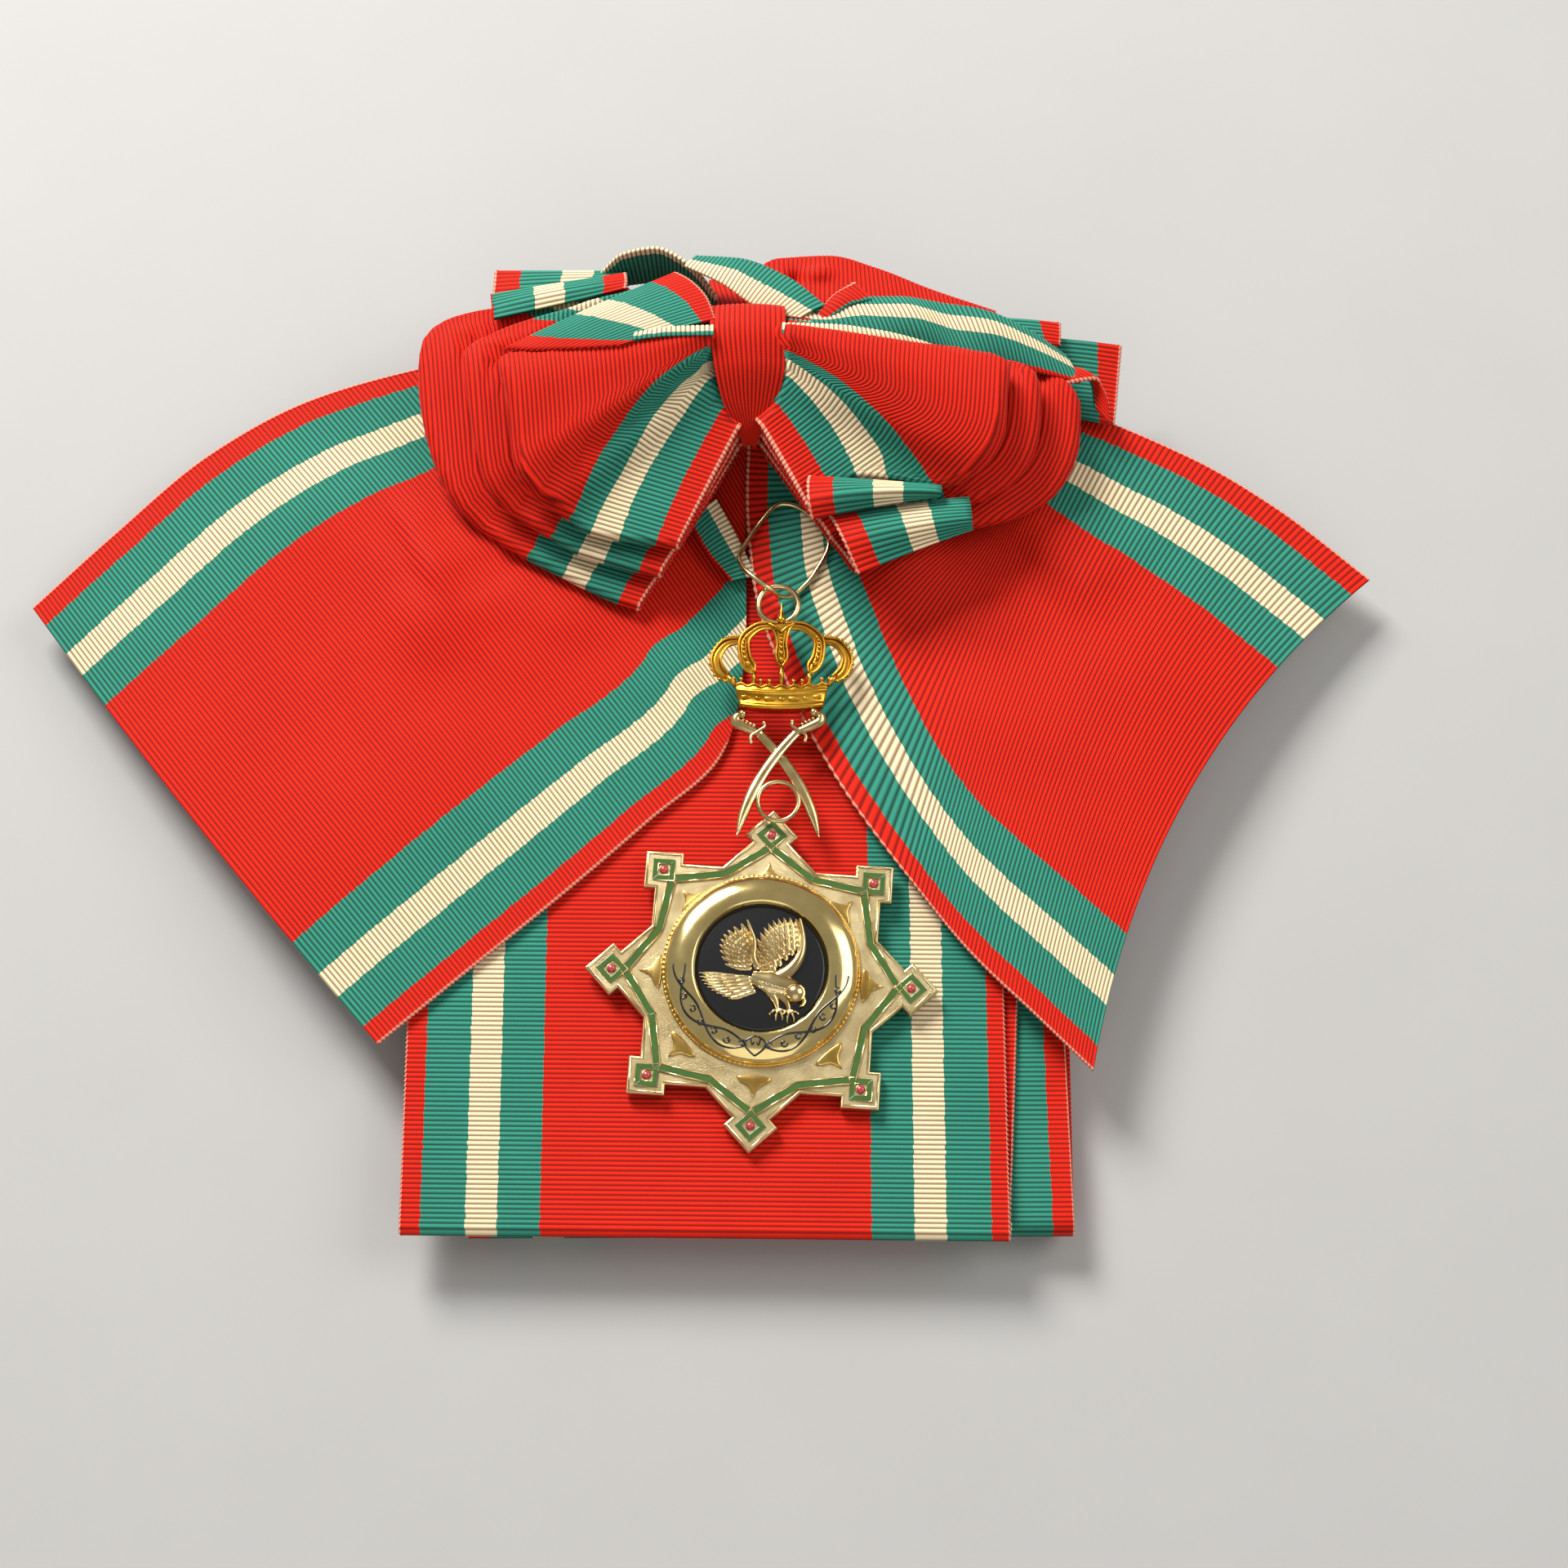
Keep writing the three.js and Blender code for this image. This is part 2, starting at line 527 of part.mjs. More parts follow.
// Strip wrapped over the gathered loops.
function knotBand() {
  const steps = 12;
  const across = 4;
  const way = [];
  for (let j = 0; j <= steps; j += 1) {
    const row = readRow(knot, 'at', j / steps);
    way.push([row.y * W, leftBowSeat + row.z * W + knotLift]);
  }
  const sides = [pushedAside(way, knotWall / 2), pushedAside(way, -knotWall / 2)];
  const [front, back] = sides.map((side) => {
    const grid = [];
    for (let i = 0; i <= across; i += 1) {
      grid.push(side.map(([y, z], j) => {
        const row = readRow(knot, 'at', j / steps);
        return new THREE.Vector3(lerp(row.left, row.right, i / across) * W, y, z);
      }));
    }
    return grid;
  });
  return solidBetween(front, back);
}

function toManifold(geometry) {
  const bare = geometry.clone();
  bare.deleteAttribute('normal');
  bare.deleteAttribute('uv');
  const merged = mergeVertices(bare, 1e-4);
  return new wasm.Manifold(new wasm.Mesh({
    numProp: 3,
    vertProperties: new Float32Array(merged.attributes.position.array),
    triVerts: new Uint32Array(merged.index.array),
  }));
}

function toGeometry(manifold) {
  const mesh = manifold.getMesh();
  const geometry = new THREE.BufferGeometry();
  geometry.setAttribute('position', new THREE.BufferAttribute(mesh.vertProperties, 3));
  geometry.setIndex(new THREE.BufferAttribute(mesh.triVerts, 1));
  return geometry;
}

function join(geometries) {
  return geometries.map(toManifold).reduce((sum, next) => sum.add(next));
}

// Flat plate of an outline, from height z up.
function plate(points, z, height) {
  const shape = new THREE.Shape(points.map(([x, y]) => new THREE.Vector2(x, y)));
  return new THREE.ExtrudeGeometry(shape, { depth: height, bevelEnabled: false, curveSegments: 8 })
    .translate(0, 0, z);
}

function regular(count, radius, turn, x = 0, y = 0) {
  return Array.from({ length: count }, (_, k) => {
    const angle = turn + (2 * Math.PI * k) / count;
    return [x + radius * Math.cos(angle), y + radius * Math.sin(angle)];
  });
}

// Wire along a curve, with a round section.
function wire(curve, thickness, steps, sides) {
  const section = new THREE.Shape(regular(sides, thickness / 2, 0).map(([x, y]) => new THREE.Vector2(x, y)));
  return new THREE.ExtrudeGeometry(section, { steps, extrudePath: curve, bevelEnabled: false });
}

function ringOfWire(radius, thickness, segments, sides) {
  return new THREE.TorusGeometry(radius, thickness / 2, sides, segments);
}

// Plate that follows a middle line, widths[k] wide at its point k.
function taperedPlate(line, widths, z, height) {
  const left = [];
  const right = [];
  line.forEach(([x, y], k) => {
    const [x0, y0] = line[Math.max(k - 1, 0)];
    const [x1, y1] = line[Math.min(k + 1, line.length - 1)];
    const length = Math.hypot(x1 - x0, y1 - y0);
    const nx = (-(y1 - y0) / length) * (widths[k] / 2);
    const ny = ((x1 - x0) / length) * (widths[k] / 2);
    left.push([x + nx, y + ny]);
    right.unshift([x - nx, y - ny]);
  });
  return plate([...right, ...left], z, height);
}

// Place on a circle of the star, at one of its points or between two of them.
const onStar = (radius, k) => {
  const angle = (2 * Math.PI * k) / points;
  return [radius * Math.cos(angle), radius * Math.sin(angle)];
};
const pointAngle = (k) => (2 * Math.PI * k) / points;
const starPoints = Array.from({ length: points }, (_, k) => k);

// Eight-pointed star plate: two squares, eight corner bosses, a raised bezel and small leaves.
const bossRadius = bossSide / Math.SQRT2;
const discFloor = starPlateWall + fitGap * 2;
function starPlate() {
  const parts = [0, 45].map((turn) => (
    plate(regular(4, starRadius + starBorder, rad(turn)), 0, starPlateWall)));
  for (const k of starPoints) {
    parts.push(plate(regular(4, bossRadius, pointAngle(k), ...onStar(starRadius, k)), 0, starPlateWall));
    parts.push(trefoil(k));
  }
  const inner = discRadius + fitGap;
  const top = starPlateWall + bezelRise;
  const profile = [
    [0, starPlateWall / 2], [bezelRadius, starPlateWall / 2], [bezelRadius, starPlateWall + bezelEdge],
    [bezelRadius - bezelRound, top - 0.5], [inner + bezelLip, top], [inner, top - 0.3],
    [inner, discFloor], [0, discFloor],
  ].map(([x, y]) => new THREE.Vector2(x, y));
  return join([...parts, new THREE.LatheGeometry(profile, 32).rotateX(Math.PI / 2)]);
}

// Three-lobed leaf, raised on the field near a point of the star.
function trefoil(k) {
  const angle = pointAngle(k);
  const [x, y] = onStar(leafPlace, k);
  const outline = [];
  for (const side of [-1, 0, 1]) {
    const lean = angle + side * rad(75);
    for (const [share, turn] of [[0.5, rad(52)], [1, 0]]) {
      const reach = share * leafLobe;
      outline.push([x + reach * Math.cos(lean - turn), y + reach * Math.sin(lean - turn)]);
    }
  }
  outline.push(onStar(leafPlace - leafLobe, k));
  const root = leafRise / 2;
  return plate(outline, starPlateWall - root, leafRise + root);
}

// Enamel line that follows the star and closes a small square round each boss.
const enamelSeat = starPlateWall + fitGap;
function enamelWork() {
  const valley = (starRadius * Math.cos(Math.PI / 4)) / Math.cos(Math.PI / points);
  const loop = enamelLoop / Math.SQRT2;
  const hole = loop - enamelLine * 0.9;
  const cutDepth = enamelRise + 2 * fitGap;
  const parts = [];
  for (const k of starPoints) {
    const place = onStar(starRadius, k);
    const square = plate(regular(4, loop, pointAngle(k), ...place), enamelSeat, enamelRise);
    const inside = plate(regular(4, hole, pointAngle(k), ...place), enamelSeat - fitGap, cutDepth);
    parts.push(toManifold(square).subtract(toManifold(inside)));
    const start = onStar(starRadius - loop + enamelLine / 2, k);
    for (const side of [-0.5, 0.5]) {
      const ends = [start, onStar(valley, k + side)];
      parts.push(toManifold(taperedPlate(ends, [enamelLine, enamelLine], enamelSeat, enamelRise)));
    }
  }
  return parts.reduce((sum, next) => sum.add(next));
}

// Raptor of overlapping feathered lobes, each a little higher than the one before.
const birdSeat = discFloor + fitGap + discWall + discCrown + fitGap;
function bird() {
  const lobes = birdLobes.map(({ x0, y0, x1, y1, rootWidth, tipWidth }, k) => {
    const line = lobeSwell.map(({ at }) => [lerp(x0, x1, at) * discRadius, lerp(y0, y1, at) * discRadius]);
    const widths = lobeSwell.map(({ root, tip }) => (root * rootWidth + tip * tipWidth) * discRadius);
    return taperedPlate(line, widths, birdSeat, lerp(0.6, 1, k / (birdLobes.length - 1)) * birdRise);
  });
  return join(lobes);
}

// Crown in half relief: a band, a pearled rim and arches that meet under the orb and its tip.
const crownTop = crownHeight * 0.76;
const eyeRadius = jumpWire / 2 + fitGap + eyeWire / 2;
const eyePlace = { y: crownTop + tipHeight * 0.6, z: 0.6 };
function crown() {
  const bandHalf = crownFootWidth / 2;
  const sagAt = (t) => -crownSag * (1 - (2 * t - 1) ** 2);
  const bandSteps = 8;
  const rim = (t, up) => [
    lerp(-bandHalf, bandHalf, t) * (1 + crownFlare * up), sagAt(t) + up * crownBandHeight];
  const way = Array.from({ length: bandSteps + 1 }, (_, k) => k / bandSteps);
  const outline = [...way.map((t) => rim(t, 0)), ...way.reverse().map((t) => rim(t, 1))];
  const parts = [plate(outline, 0, crownBandWall)];
  for (const { side, foot, out, high } of crownArches) {
    const reach = (side * out * crownWidth) / 2;
    const curve = new THREE.CatmullRomCurve3([
      new THREE.Vector3(side * bandHalf * foot, crownBandHeight - archWire / 3, archLift),
      new THREE.Vector3(reach * 0.9, lerp(crownBandHeight, crownTop, high), archLift + archWire / 5),
      new THREE.Vector3(reach * 0.62, crownTop - archWire / 3, archLift + archWire / 4),
      new THREE.Vector3(side * archWire / 2, crownTop - archWire / 3, archLift + archWire / 5),
    ]);
    parts.push(wire(curve, archWire, 6, 6));
  }
  for (let k = 0; k < pearls; k += 1) {
    const [x, y] = rim(k / (pearls - 1), 1);
    parts.push(new THREE.SphereGeometry(pearlRadius, 10, 4)
      .translate(x, y + pearlRadius / 2, archLift + pearlRadius));
  }
  const lift = archLift + archWire / 2;
  parts.push(new THREE.SphereGeometry(orbRadius, 10, 6).translate(0, crownTop, lift));
  parts.push(new THREE.ConeGeometry(tipRadius, tipHeight, 8).translate(0, crownTop + tipHeight * 0.7, lift));
  parts.push(new THREE.CylinderGeometry(tipRadius * 0.8, tipRadius * 0.8, archWire, 8)
    .translate(0, crownTop, archLift - archWire / 2));
  parts.push(ringOfWire(eyeRadius, eyeWire, 12, 6).rotateY(Math.PI / 2).translate(0, eyePlace.y, eyePlace.z));
  return join(parts);
}

// Two crossed sabres with the soldered ring between their blades.
function sabres() {
  const parts = [];
  for (const side of [-1, 1]) {
    const at = (x, y) => [side * x * sabreDrop, y * sabreDrop];
    const lead = blade.map(({ x, y }) => new THREE.Vector2(...at(x, y)));
    const line = new THREE.QuadraticBezierCurve(...lead)
      .getPoints(bladeTaper.length - 1).map((p) => [p.x, p.y]);
    const z = side < 0 ? 0 : sabreStep;
    parts.push(taperedPlate(line, bladeTaper.map((share) => share * bladeWidth), z, sabreWall));
    for (const { x0, y0, x1, y1, from, to, over } of hiltBars) {
      const widths = [from * bladeWidth, to * bladeWidth];
      parts.push(taperedPlate([at(x0, y0), at(x1, y1)], widths, z, sabreWall + over));
    }
  }
  const ring = ringOfWire(ringRadius, ringWire, 20, 6).translate(0, -ringPlace, sabreWall - ringWire / 4);
  return join([...parts, ring]);
}

// Round wire closed on itself along a way of points.
function closedWire(way, thickness, steps, sides) {
  const curve = new THREE.CatmullRomCurve3(way, true);
  const frames = curve.computeFrenetFrames(steps, true);
  const rim = [];
  const faces = [];
  for (let k = 0; k < steps; k += 1) {
    const centre = curve.getPointAt(k / steps);
    const next = ((k + 1) % steps) * sides;
    for (let side = 0; side < sides; side += 1) {
      const angle = (2 * Math.PI * side) / sides;
      rim.push(centre.clone()
        .addScaledVector(frames.normals[k], (Math.cos(angle) * thickness) / 2)
        .addScaledVector(frames.binormals[k], (Math.sin(angle) * thickness) / 2));
      const [a, b] = [k * sides + side, k * sides + ((side + 1) % sides)];
      const [c, d] = [next + side, next + ((side + 1) % sides)];
      faces.push(a, b, d, a, d, c);
    }
  }
  return facingOut(rim, faces);
}

// Cloth pieces
addMesh('folded_band', foldedBand(), redRibbon);
addMesh('tail_left', laidSheet(leftTail, leftTailSeat,
  { dents: leftTailDents, droop: leftTailDroop }), redRibbon);
addMesh('tail_right', laidSheet(rightTail, rightTailSeat,
  { dents: rightTailDents, droop: rightTailDroop }), redRibbon);
for (const [side, rows, seat] of [['left', leftBow, leftBowSeat], ['right', rightBow, rightBowSeat]]) {
  loopOrder.forEach((name, order) => {
    addMesh(`bow_${side}_${name}`, bowLoop(rows, seat, order), redRibbon);
  });
}
const small = { across: 3, along: 8 };
addMesh('bow_top_arch', laidSheet(topArch, leftBowSeat, small), greenRibbon);
addMesh('bow_top_fold', laidSheet(topFold, leftBowSeat, small), greenRibbon);
addMesh('bow_top_mass', laidSheet(topMass, leftBowSeat,
  { across: 6, along: 10, dents: topMassDents }), redRibbon);
addMesh('bow_left_end', laidSheet(leftEnd, leftBowSeat, small), greenRibbon);
addMesh('bow_knot', knotBand(), redRibbon);

// Badge: its back leans on the band below and on the tails above.
const starLow = starPlace.y * W - (starRadius + bossRadius);
const badge = new THREE.Group();
badge.position.set(0, starLow, bandTop + fitGap);
badge.rotation.set(rad(badgeLean), 0, 0);
group.add(badge);

const star = new THREE.Group();
star.position.set(starPlace.x * W, starPlace.y * W - starLow, 0);
star.rotation.set(0, 0, rad(starTurn));
badge.add(star);
addMesh('star_plate', toGeometry(starPlate()), silverGilt, star);
addMesh('green_enamel', toGeometry(enamelWork()), greenEnamel, star);
for (const k of starPoints) {
  const dot = new THREE.CylinderGeometry(dotRadius, dotRadius, enamelRise, 10).rotateX(Math.PI / 2)
    .translate(...onStar(starRadius, k), enamelSeat + enamelRise / 2);
  addMesh(`red_dot_${k + 1}`, dot, redEnamel, star);
}
const discProfile = [
  [0, 0], [discRadius, 0], [discRadius, discWall - discCrown], [discRadius * 0.6, discWall],
  [0, discWall + discCrown / 2],
].map(([x, y]) => new THREE.Vector2(x, y));
const disc = new THREE.LatheGeometry(discProfile, 24).rotateX(Math.PI / 2);
addMesh('black_enamel', disc.translate(0, 0, discFloor + fitGap), blackEnamel, star);
addMesh('raptor', toGeometry(bird()), gilt, star);

// Sabres and crown follow one another up the badge, which lies askew as the star is turned.
const upperPlace = (distance) => [
  starPlace.x * W - distance * Math.tan(rad(starTurn)),
  starPlace.y * W - starLow + distance,
  starPlateWall + fitGap + enamelRise,
];
const sabresUp = starRadius + sabreDrop;
addMesh('crossed_sabres', toGeometry(sabres()), steelGilt, badge).position.set(...upperPlace(sabresUp));
const crownMesh = addMesh('crown', toGeometry(crown()), gilt, badge);
crownMesh.position.set(...upperPlace(sabresUp + crownOverSabres));

// Jump ring through the crown's eye, and the wire bail through the jump ring.
group.updateMatrixWorld(true);
const eye = crownMesh.localToWorld(new THREE.Vector3(0, eyePlace.y, eyePlace.z));
addMesh('jump_ring', ringOfWire(jumpRadius, jumpWire, 20, 5), steelGilt)
  .position.set(jumpX * W, eye.y + jumpRadius, eye.z);
const bailSeat = rightTailSeat + clothWall / 2 + fitGap + bailWire / 2;
const bailPoints = bailWay.map(({ x, y, rise }) => new THREE.Vector3(x * W, y * W, bailSeat + rise * W));
addMesh('wire_bail', closedWire(bailPoints, bailWire, 40, 5), steelGilt);

// The origin is the middle of the underside.
group.updateMatrixWorld(true);
const box = new THREE.Box3().setFromObject(group);
group.position.set(-(box.min.x + box.max.x) / 2, -(box.min.y + box.max.y) / 2, -box.min.z);

export default group;
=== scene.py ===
"""Looks of a sash of an order: striped grosgrain folded flat, its gathered bow and its badge.

Lengths in tables are shares of the ribbon's width; everything else is in millimetres until
a mesh is made, which is in metres in the frame's own place.
"""

import logging
import math
from collections.abc import Callable, Sequence
from dataclasses import dataclass, field
from enum import Enum

import bpy
import numpy as np
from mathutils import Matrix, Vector

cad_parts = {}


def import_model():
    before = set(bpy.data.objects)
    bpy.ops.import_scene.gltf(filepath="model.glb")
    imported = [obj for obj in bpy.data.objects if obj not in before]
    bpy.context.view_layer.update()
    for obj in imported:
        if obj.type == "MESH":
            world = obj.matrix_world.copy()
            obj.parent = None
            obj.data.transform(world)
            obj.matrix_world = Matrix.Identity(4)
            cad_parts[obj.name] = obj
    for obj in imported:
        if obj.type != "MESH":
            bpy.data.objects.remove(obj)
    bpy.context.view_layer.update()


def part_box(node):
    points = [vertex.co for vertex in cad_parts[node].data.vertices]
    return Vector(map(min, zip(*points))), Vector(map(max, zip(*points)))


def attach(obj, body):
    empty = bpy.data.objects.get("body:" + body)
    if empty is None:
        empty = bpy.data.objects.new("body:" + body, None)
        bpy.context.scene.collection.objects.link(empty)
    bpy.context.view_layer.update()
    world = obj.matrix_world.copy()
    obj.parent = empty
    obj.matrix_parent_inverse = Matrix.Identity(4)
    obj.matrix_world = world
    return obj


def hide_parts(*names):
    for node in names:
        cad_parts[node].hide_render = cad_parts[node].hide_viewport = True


LOG = logging.getLogger("sash")
MM = 0.001
# The ribbon's width, its cloth's wall, the gap between two layers and the step from one to the
# next.
WIDTH = 100.0
CLOTH_WALL = 1.0
LAYER_GAP = 0.3
CLOTH_STEP = 1.3
# Heights: the folded band's top, and the middle of the cloth that each layer starts from.
BAND_PASSES = 8
BAND_TOP = BAND_PASSES * CLOTH_STEP - LAYER_GAP
LEFT_TAIL_SEAT = BAND_TOP + LAYER_GAP + CLOTH_WALL / 2
RIGHT_TAIL_SEAT = LEFT_TAIL_SEAT + CLOTH_STEP
LEFT_BOW_SEAT = LEFT_TAIL_SEAT + CLOTH_STEP
RIGHT_BOW_LIFT = 1.1
RIGHT_BOW_SEAT = RIGHT_TAIL_SEAT + CLOTH_STEP + RIGHT_BOW_LIFT
# The weave: how far apart its ribs are, and how many rows of the mesh each takes.
RIB_PITCH = 0.82
ROWS_PER_RIB = 4

Array = np.ndarray


def linear(code: str) -> tuple[float, float, float, float]:
    """Turns an sRGB colour to linear.

    Args:
        code: the colour, as #rrggbb.

    Returns:
        Red, green, blue and alpha, from 0 to 1.
    """
    parts = [int(code[k : k + 2], 16) / 255 for k in (1, 3, 5)]
    bright = [c / 12.92 if c <= 0.04045 else ((c + 0.055) / 1.055) ** 2.4 for c in parts]
    return (bright[0], bright[1], bright[2], 1.0)


# --------------------------------------------------------------------------- tables


class Table:
    """Rows of numbers under named columns, read by smooth interpolation over the first."""

    def __init__(self, columns: str, *rows: Sequence[float]) -> None:
        """Keeps the rows.

        Args:
            columns: the columns' names, parted by spaces.
            rows: one tuple of numbers a row, in the order of the first column.
        """
        self.names = columns.split()
        self.values = np.array(rows, float)

    def column(self, name: str) -> Array:
        """Returns one column."""
        return self.values[:, self.names.index(name)]

    def read(self, place: Array | float) -> dict[str, Array]:
        """Interpolates every column without overshoot.

        Args:
            place: where to read, in the first column's terms.

        Returns:
            Each column's values at those places.
        """
        at = np.asarray(place, float)
        key = self.values[:, 0]
        k = np.clip(np.searchsorted(key, at, "right") - 1, 0, len(key) - 2)
        span = (key[1:] - key[:-1])[k]
        t = np.clip((at - key[k]) / span, 0, 1)
        out = {}
        for name in self.names:
            col = self.column(name)
            steps = (col[1:] - col[:-1]) / (key[1:] - key[:-1])
            before, after = steps[:-1], steps[1:]
            total = np.where(before * after > 0, before + after, 1)
            inner = np.where(before * after > 0, 2 * before * after / total, 0)
            slope = np.concatenate([steps[:1], inner, steps[-1:]])
            p0, p1 = col[k], col[k + 1]
            m0, m1 = slope[k] * span, slope[k + 1] * span
            a = 2 * p0 - 2 * p1 + m0 + m1
            b = -3 * p0 + 3 * p1 - 2 * m0 - m1
            out[name] = ((a * t + b) * t + m0) * t + p0
        return out


# --------------------------------------------------------------------------- finishes


def add_node(
    tree: bpy.types.NodeTree,
    kind: str,
    inputs: dict[int | str, object] | None = None,
    **settings: object,
) -> bpy.types.Node:
    """Adds one shader node with its settings and links.

    Args:
        tree: the material's node tree.
        kind: the node's type, without the word that every shader node's type starts with.
        inputs: each input's value, or the socket linked to it, by the input's number or name.
        settings: the node's own attributes.

    Returns:
        The new node.
    """
    node = tree.nodes.new(f"ShaderNode{kind}")
    for name, value in settings.items():
        setattr(node, name, value)
    for socket, value in (inputs or {}).items():
        if isinstance(value, bpy.types.NodeSocket):
            tree.links.new(value, node.inputs[socket])
        else:
            node.inputs[socket].default_value = value
    return node


@dataclass(frozen=True)
class SurfaceFinish:
    """Node material of a finish. Noise scales count patches a metre: 1000 over their size in mm."""

    name: str

    def shading(self, tree: bpy.types.NodeTree) -> dict[int | str, object]:
        """Adds the finish's own nodes and returns the shader's inputs."""
        raise NotImplementedError

    def make(self) -> bpy.types.Material:
        """Builds the node material.

        Returns:
            The material, ready for its meshes.
        """
        made = bpy.data.materials.new(self.name)
        made.use_nodes = True
        tree = made.node_tree
        tree.nodes.clear()
        shader = add_node(tree, "BsdfPrincipled", self.shading(tree))
        add_node(tree, "OutputMaterial", {"Surface": shader.outputs[0]})
        return made


class Stripe(Enum):
    """Colours that the ribbon is woven in."""

    RED = "#dd2006"
    GREEN = "#328b75"
    CREAM = "#ecdab0"
    SELVEDGE = "#dd9c84"


@dataclass(frozen=True)
class WovenGrosgrain(SurfaceFinish):
    """Silk grosgrain: round ribs across it, woven in stripes, with a corded selvedge.

    The UV map's first number is the share across the ribbon, its second counts ribs. Matt
    silk scatters the light with hardly any shine, so the stripes keep their full colour.
    """

    name: str = "woven striped grosgrain"
    edges: tuple[float, ...] = (0.0, 0.040, 0.108, 0.158, 0.229, 0.771, 0.842, 0.892, 0.960)
    colours: tuple[Stripe, ...] = (
        Stripe.RED,
        *(Stripe.GREEN, Stripe.CREAM, Stripe.GREEN, Stripe.RED) * 2,
    )
    # How far a stripe's edge steps from rib to rib, as a share of the width.
    jitter: float = 0.0022
    # Colour of the shade painted into the grooves between the ribs.
    painted_groove_shade: str = "#93817c"
    stitch: str = "#c8553f"
    selvedge: float = 0.0048
    # Real yarns are 0.1 mm thick: they are drawn as 0.24 mm, so that they show.
    yarns: float = 420.0
    # Patches of wear are 12 mm, the fuzz between yarns is 0.4 mm.
    wear_scale: float = 85.0
    fuzz_scale: float = 2600.0

    def shading(self, tree: bpy.types.NodeTree) -> dict[int | str, object]:
        """Adds stripes, painted shade in the grooves, wear, selvedge and yarns.

        Args:
            tree: the material's node tree.

        Returns:
            What the shader's inputs are given.
        """
        uv = add_node(tree, "UVMap", uv_map="ribbon").outputs[0]
        across, rib = add_node(tree, "SeparateXYZ", {0: uv}).outputs[:2]
        spot = add_node(tree, "TexCoord").outputs["Object"]
        # Stripe edges step a little from rib to rib, as the weft turns.
        whole = add_node(tree, "Math", {0: rib}, operation="FLOOR").outputs[0]
        step = add_node(tree, "TexWhiteNoise", {"W": whole}, noise_dimensions="1D").outputs[0]
        shift = {0: step, 1: self.jitter, 2: -self.jitter / 2}
        shift = add_node(tree, "Math", shift, operation="MULTIPLY_ADD").outputs[0]
        place = add_node(tree, "Math", {0: across, 1: shift}, operation="ADD").outputs[0]
        ramp = add_node(tree, "ValToRGB", {0: place})
        ramp.color_ramp.interpolation = "CONSTANT"
        stops = ramp.color_ramp.elements
        while len(stops) < len(self.edges):
            stops.new(0.5)
        for stop, edge, colour in zip(stops, self.edges, self.colours):
            stop.position = edge
            stop.color = linear(colour.value)
        dyed = ramp.outputs[0]
        # Painted shade: the colour is darkened in the grooves between the ribs, not on their
        # crowns.
        turn = add_node(tree, "Math", {0: rib, 1: 2 * math.pi}, operation="MULTIPLY").outputs[0]
        wave = add_node(tree, "Math", {0: turn}, operation="COSINE").outputs[0]
        low = add_node(tree, "Math", {0: wave, 1: 0.5, 2: 0.5}, operation="MULTIPLY_ADD").outputs[0]
        painted_groove_shade = add_node(tree, "Math", {0: low, 1: 1.6}, operation="POWER").outputs[0]
        tint = {"data_type": "RGBA", "blend_type": "MULTIPLY"}
        # The dye darkened by the painted groove shade.
        darker_tone = add_node(tree, "Mix", {0: 1.0, 6: dyed, 7: linear(self.painted_groove_shade)}, **tint).outputs[2]
        shaded = {0: painted_groove_shade, 6: dyed, 7: darker_tone}
        shaded = add_node(tree, "Mix", shaded, data_type="RGBA").outputs[2]
        # Single yarns and slow uneven wear keep the stripes from looking printed.
        cloud = {"Vector": spot, "Scale": self.wear_scale, "Detail": 4.0}
        cloud = add_node(tree, "TexNoise", cloud).outputs[0]
        worn = {0: cloud, 1: 0.26, 2: 0.87}
        worn = add_node(tree, "Math", worn, operation="MULTIPLY_ADD").outputs[0]
        grey = add_node(tree, "CombineColor", {0: worn, 1: worn, 2: worn}).outputs[0]
        shaded = add_node(tree, "Mix", {0: 1.0, 6: shaded, 7: grey}, **tint).outputs[2]
        # The selvedge is a paler cord, stitched over at every rib.
        inside = 1 - self.selvedge
        far = {0: across, 1: self.selvedge}
        far = add_node(tree, "Math", far, operation="LESS_THAN").outputs[0]
        near = add_node(tree, "Math", {0: across, 1: inside}, operation="GREATER_THAN").outputs[0]
        edge = add_node(tree, "Math", {0: far, 1: near}, operation="MAXIMUM").outputs[0]
        stitch = add_node(tree, "Math", {0: wave, 1: 0.55}, operation="GREATER_THAN").outputs[0]
        cord = {0: stitch, 6: linear(Stripe.SELVEDGE.value), 7: linear(self.stitch)}
        cord = add_node(tree, "Mix", cord, data_type="RGBA").outputs[2]
        colour = {0: edge, 6: shaded, 7: cord}
        colour = add_node(tree, "Mix", colour, data_type="RGBA").outputs[2]
        count = {0: across, 1: 2 * math.pi * self.yarns}
        count = add_node(tree, "Math", count, operation="MULTIPLY").outputs[0]
        yarn = add_node(tree, "Math", {0: count}, operation="SINE").outputs[0]
        fuzz = {"Vector": spot, "Scale": self.fuzz_scale, "Detail": 2.0}
        fuzz = add_node(tree, "TexNoise", fuzz).outputs[0]
        height = {0: fuzz, 1: 0.8, 2: yarn}
        height = add_node(tree, "Math", height, operation="MULTIPLY_ADD").outputs[0]
        bump = {"Strength": 0.22, "Distance": 0.00005, "Height": height}
        return {
            "Base Color": colour,
            "Roughness": 0.72,
            "Sheen Weight": 0.04,
            "Sheen Roughness": 0.4,
            "Specular IOR Level": 0.16,
            "Normal": add_node(tree, "Bump", bump).outputs[0],
        }


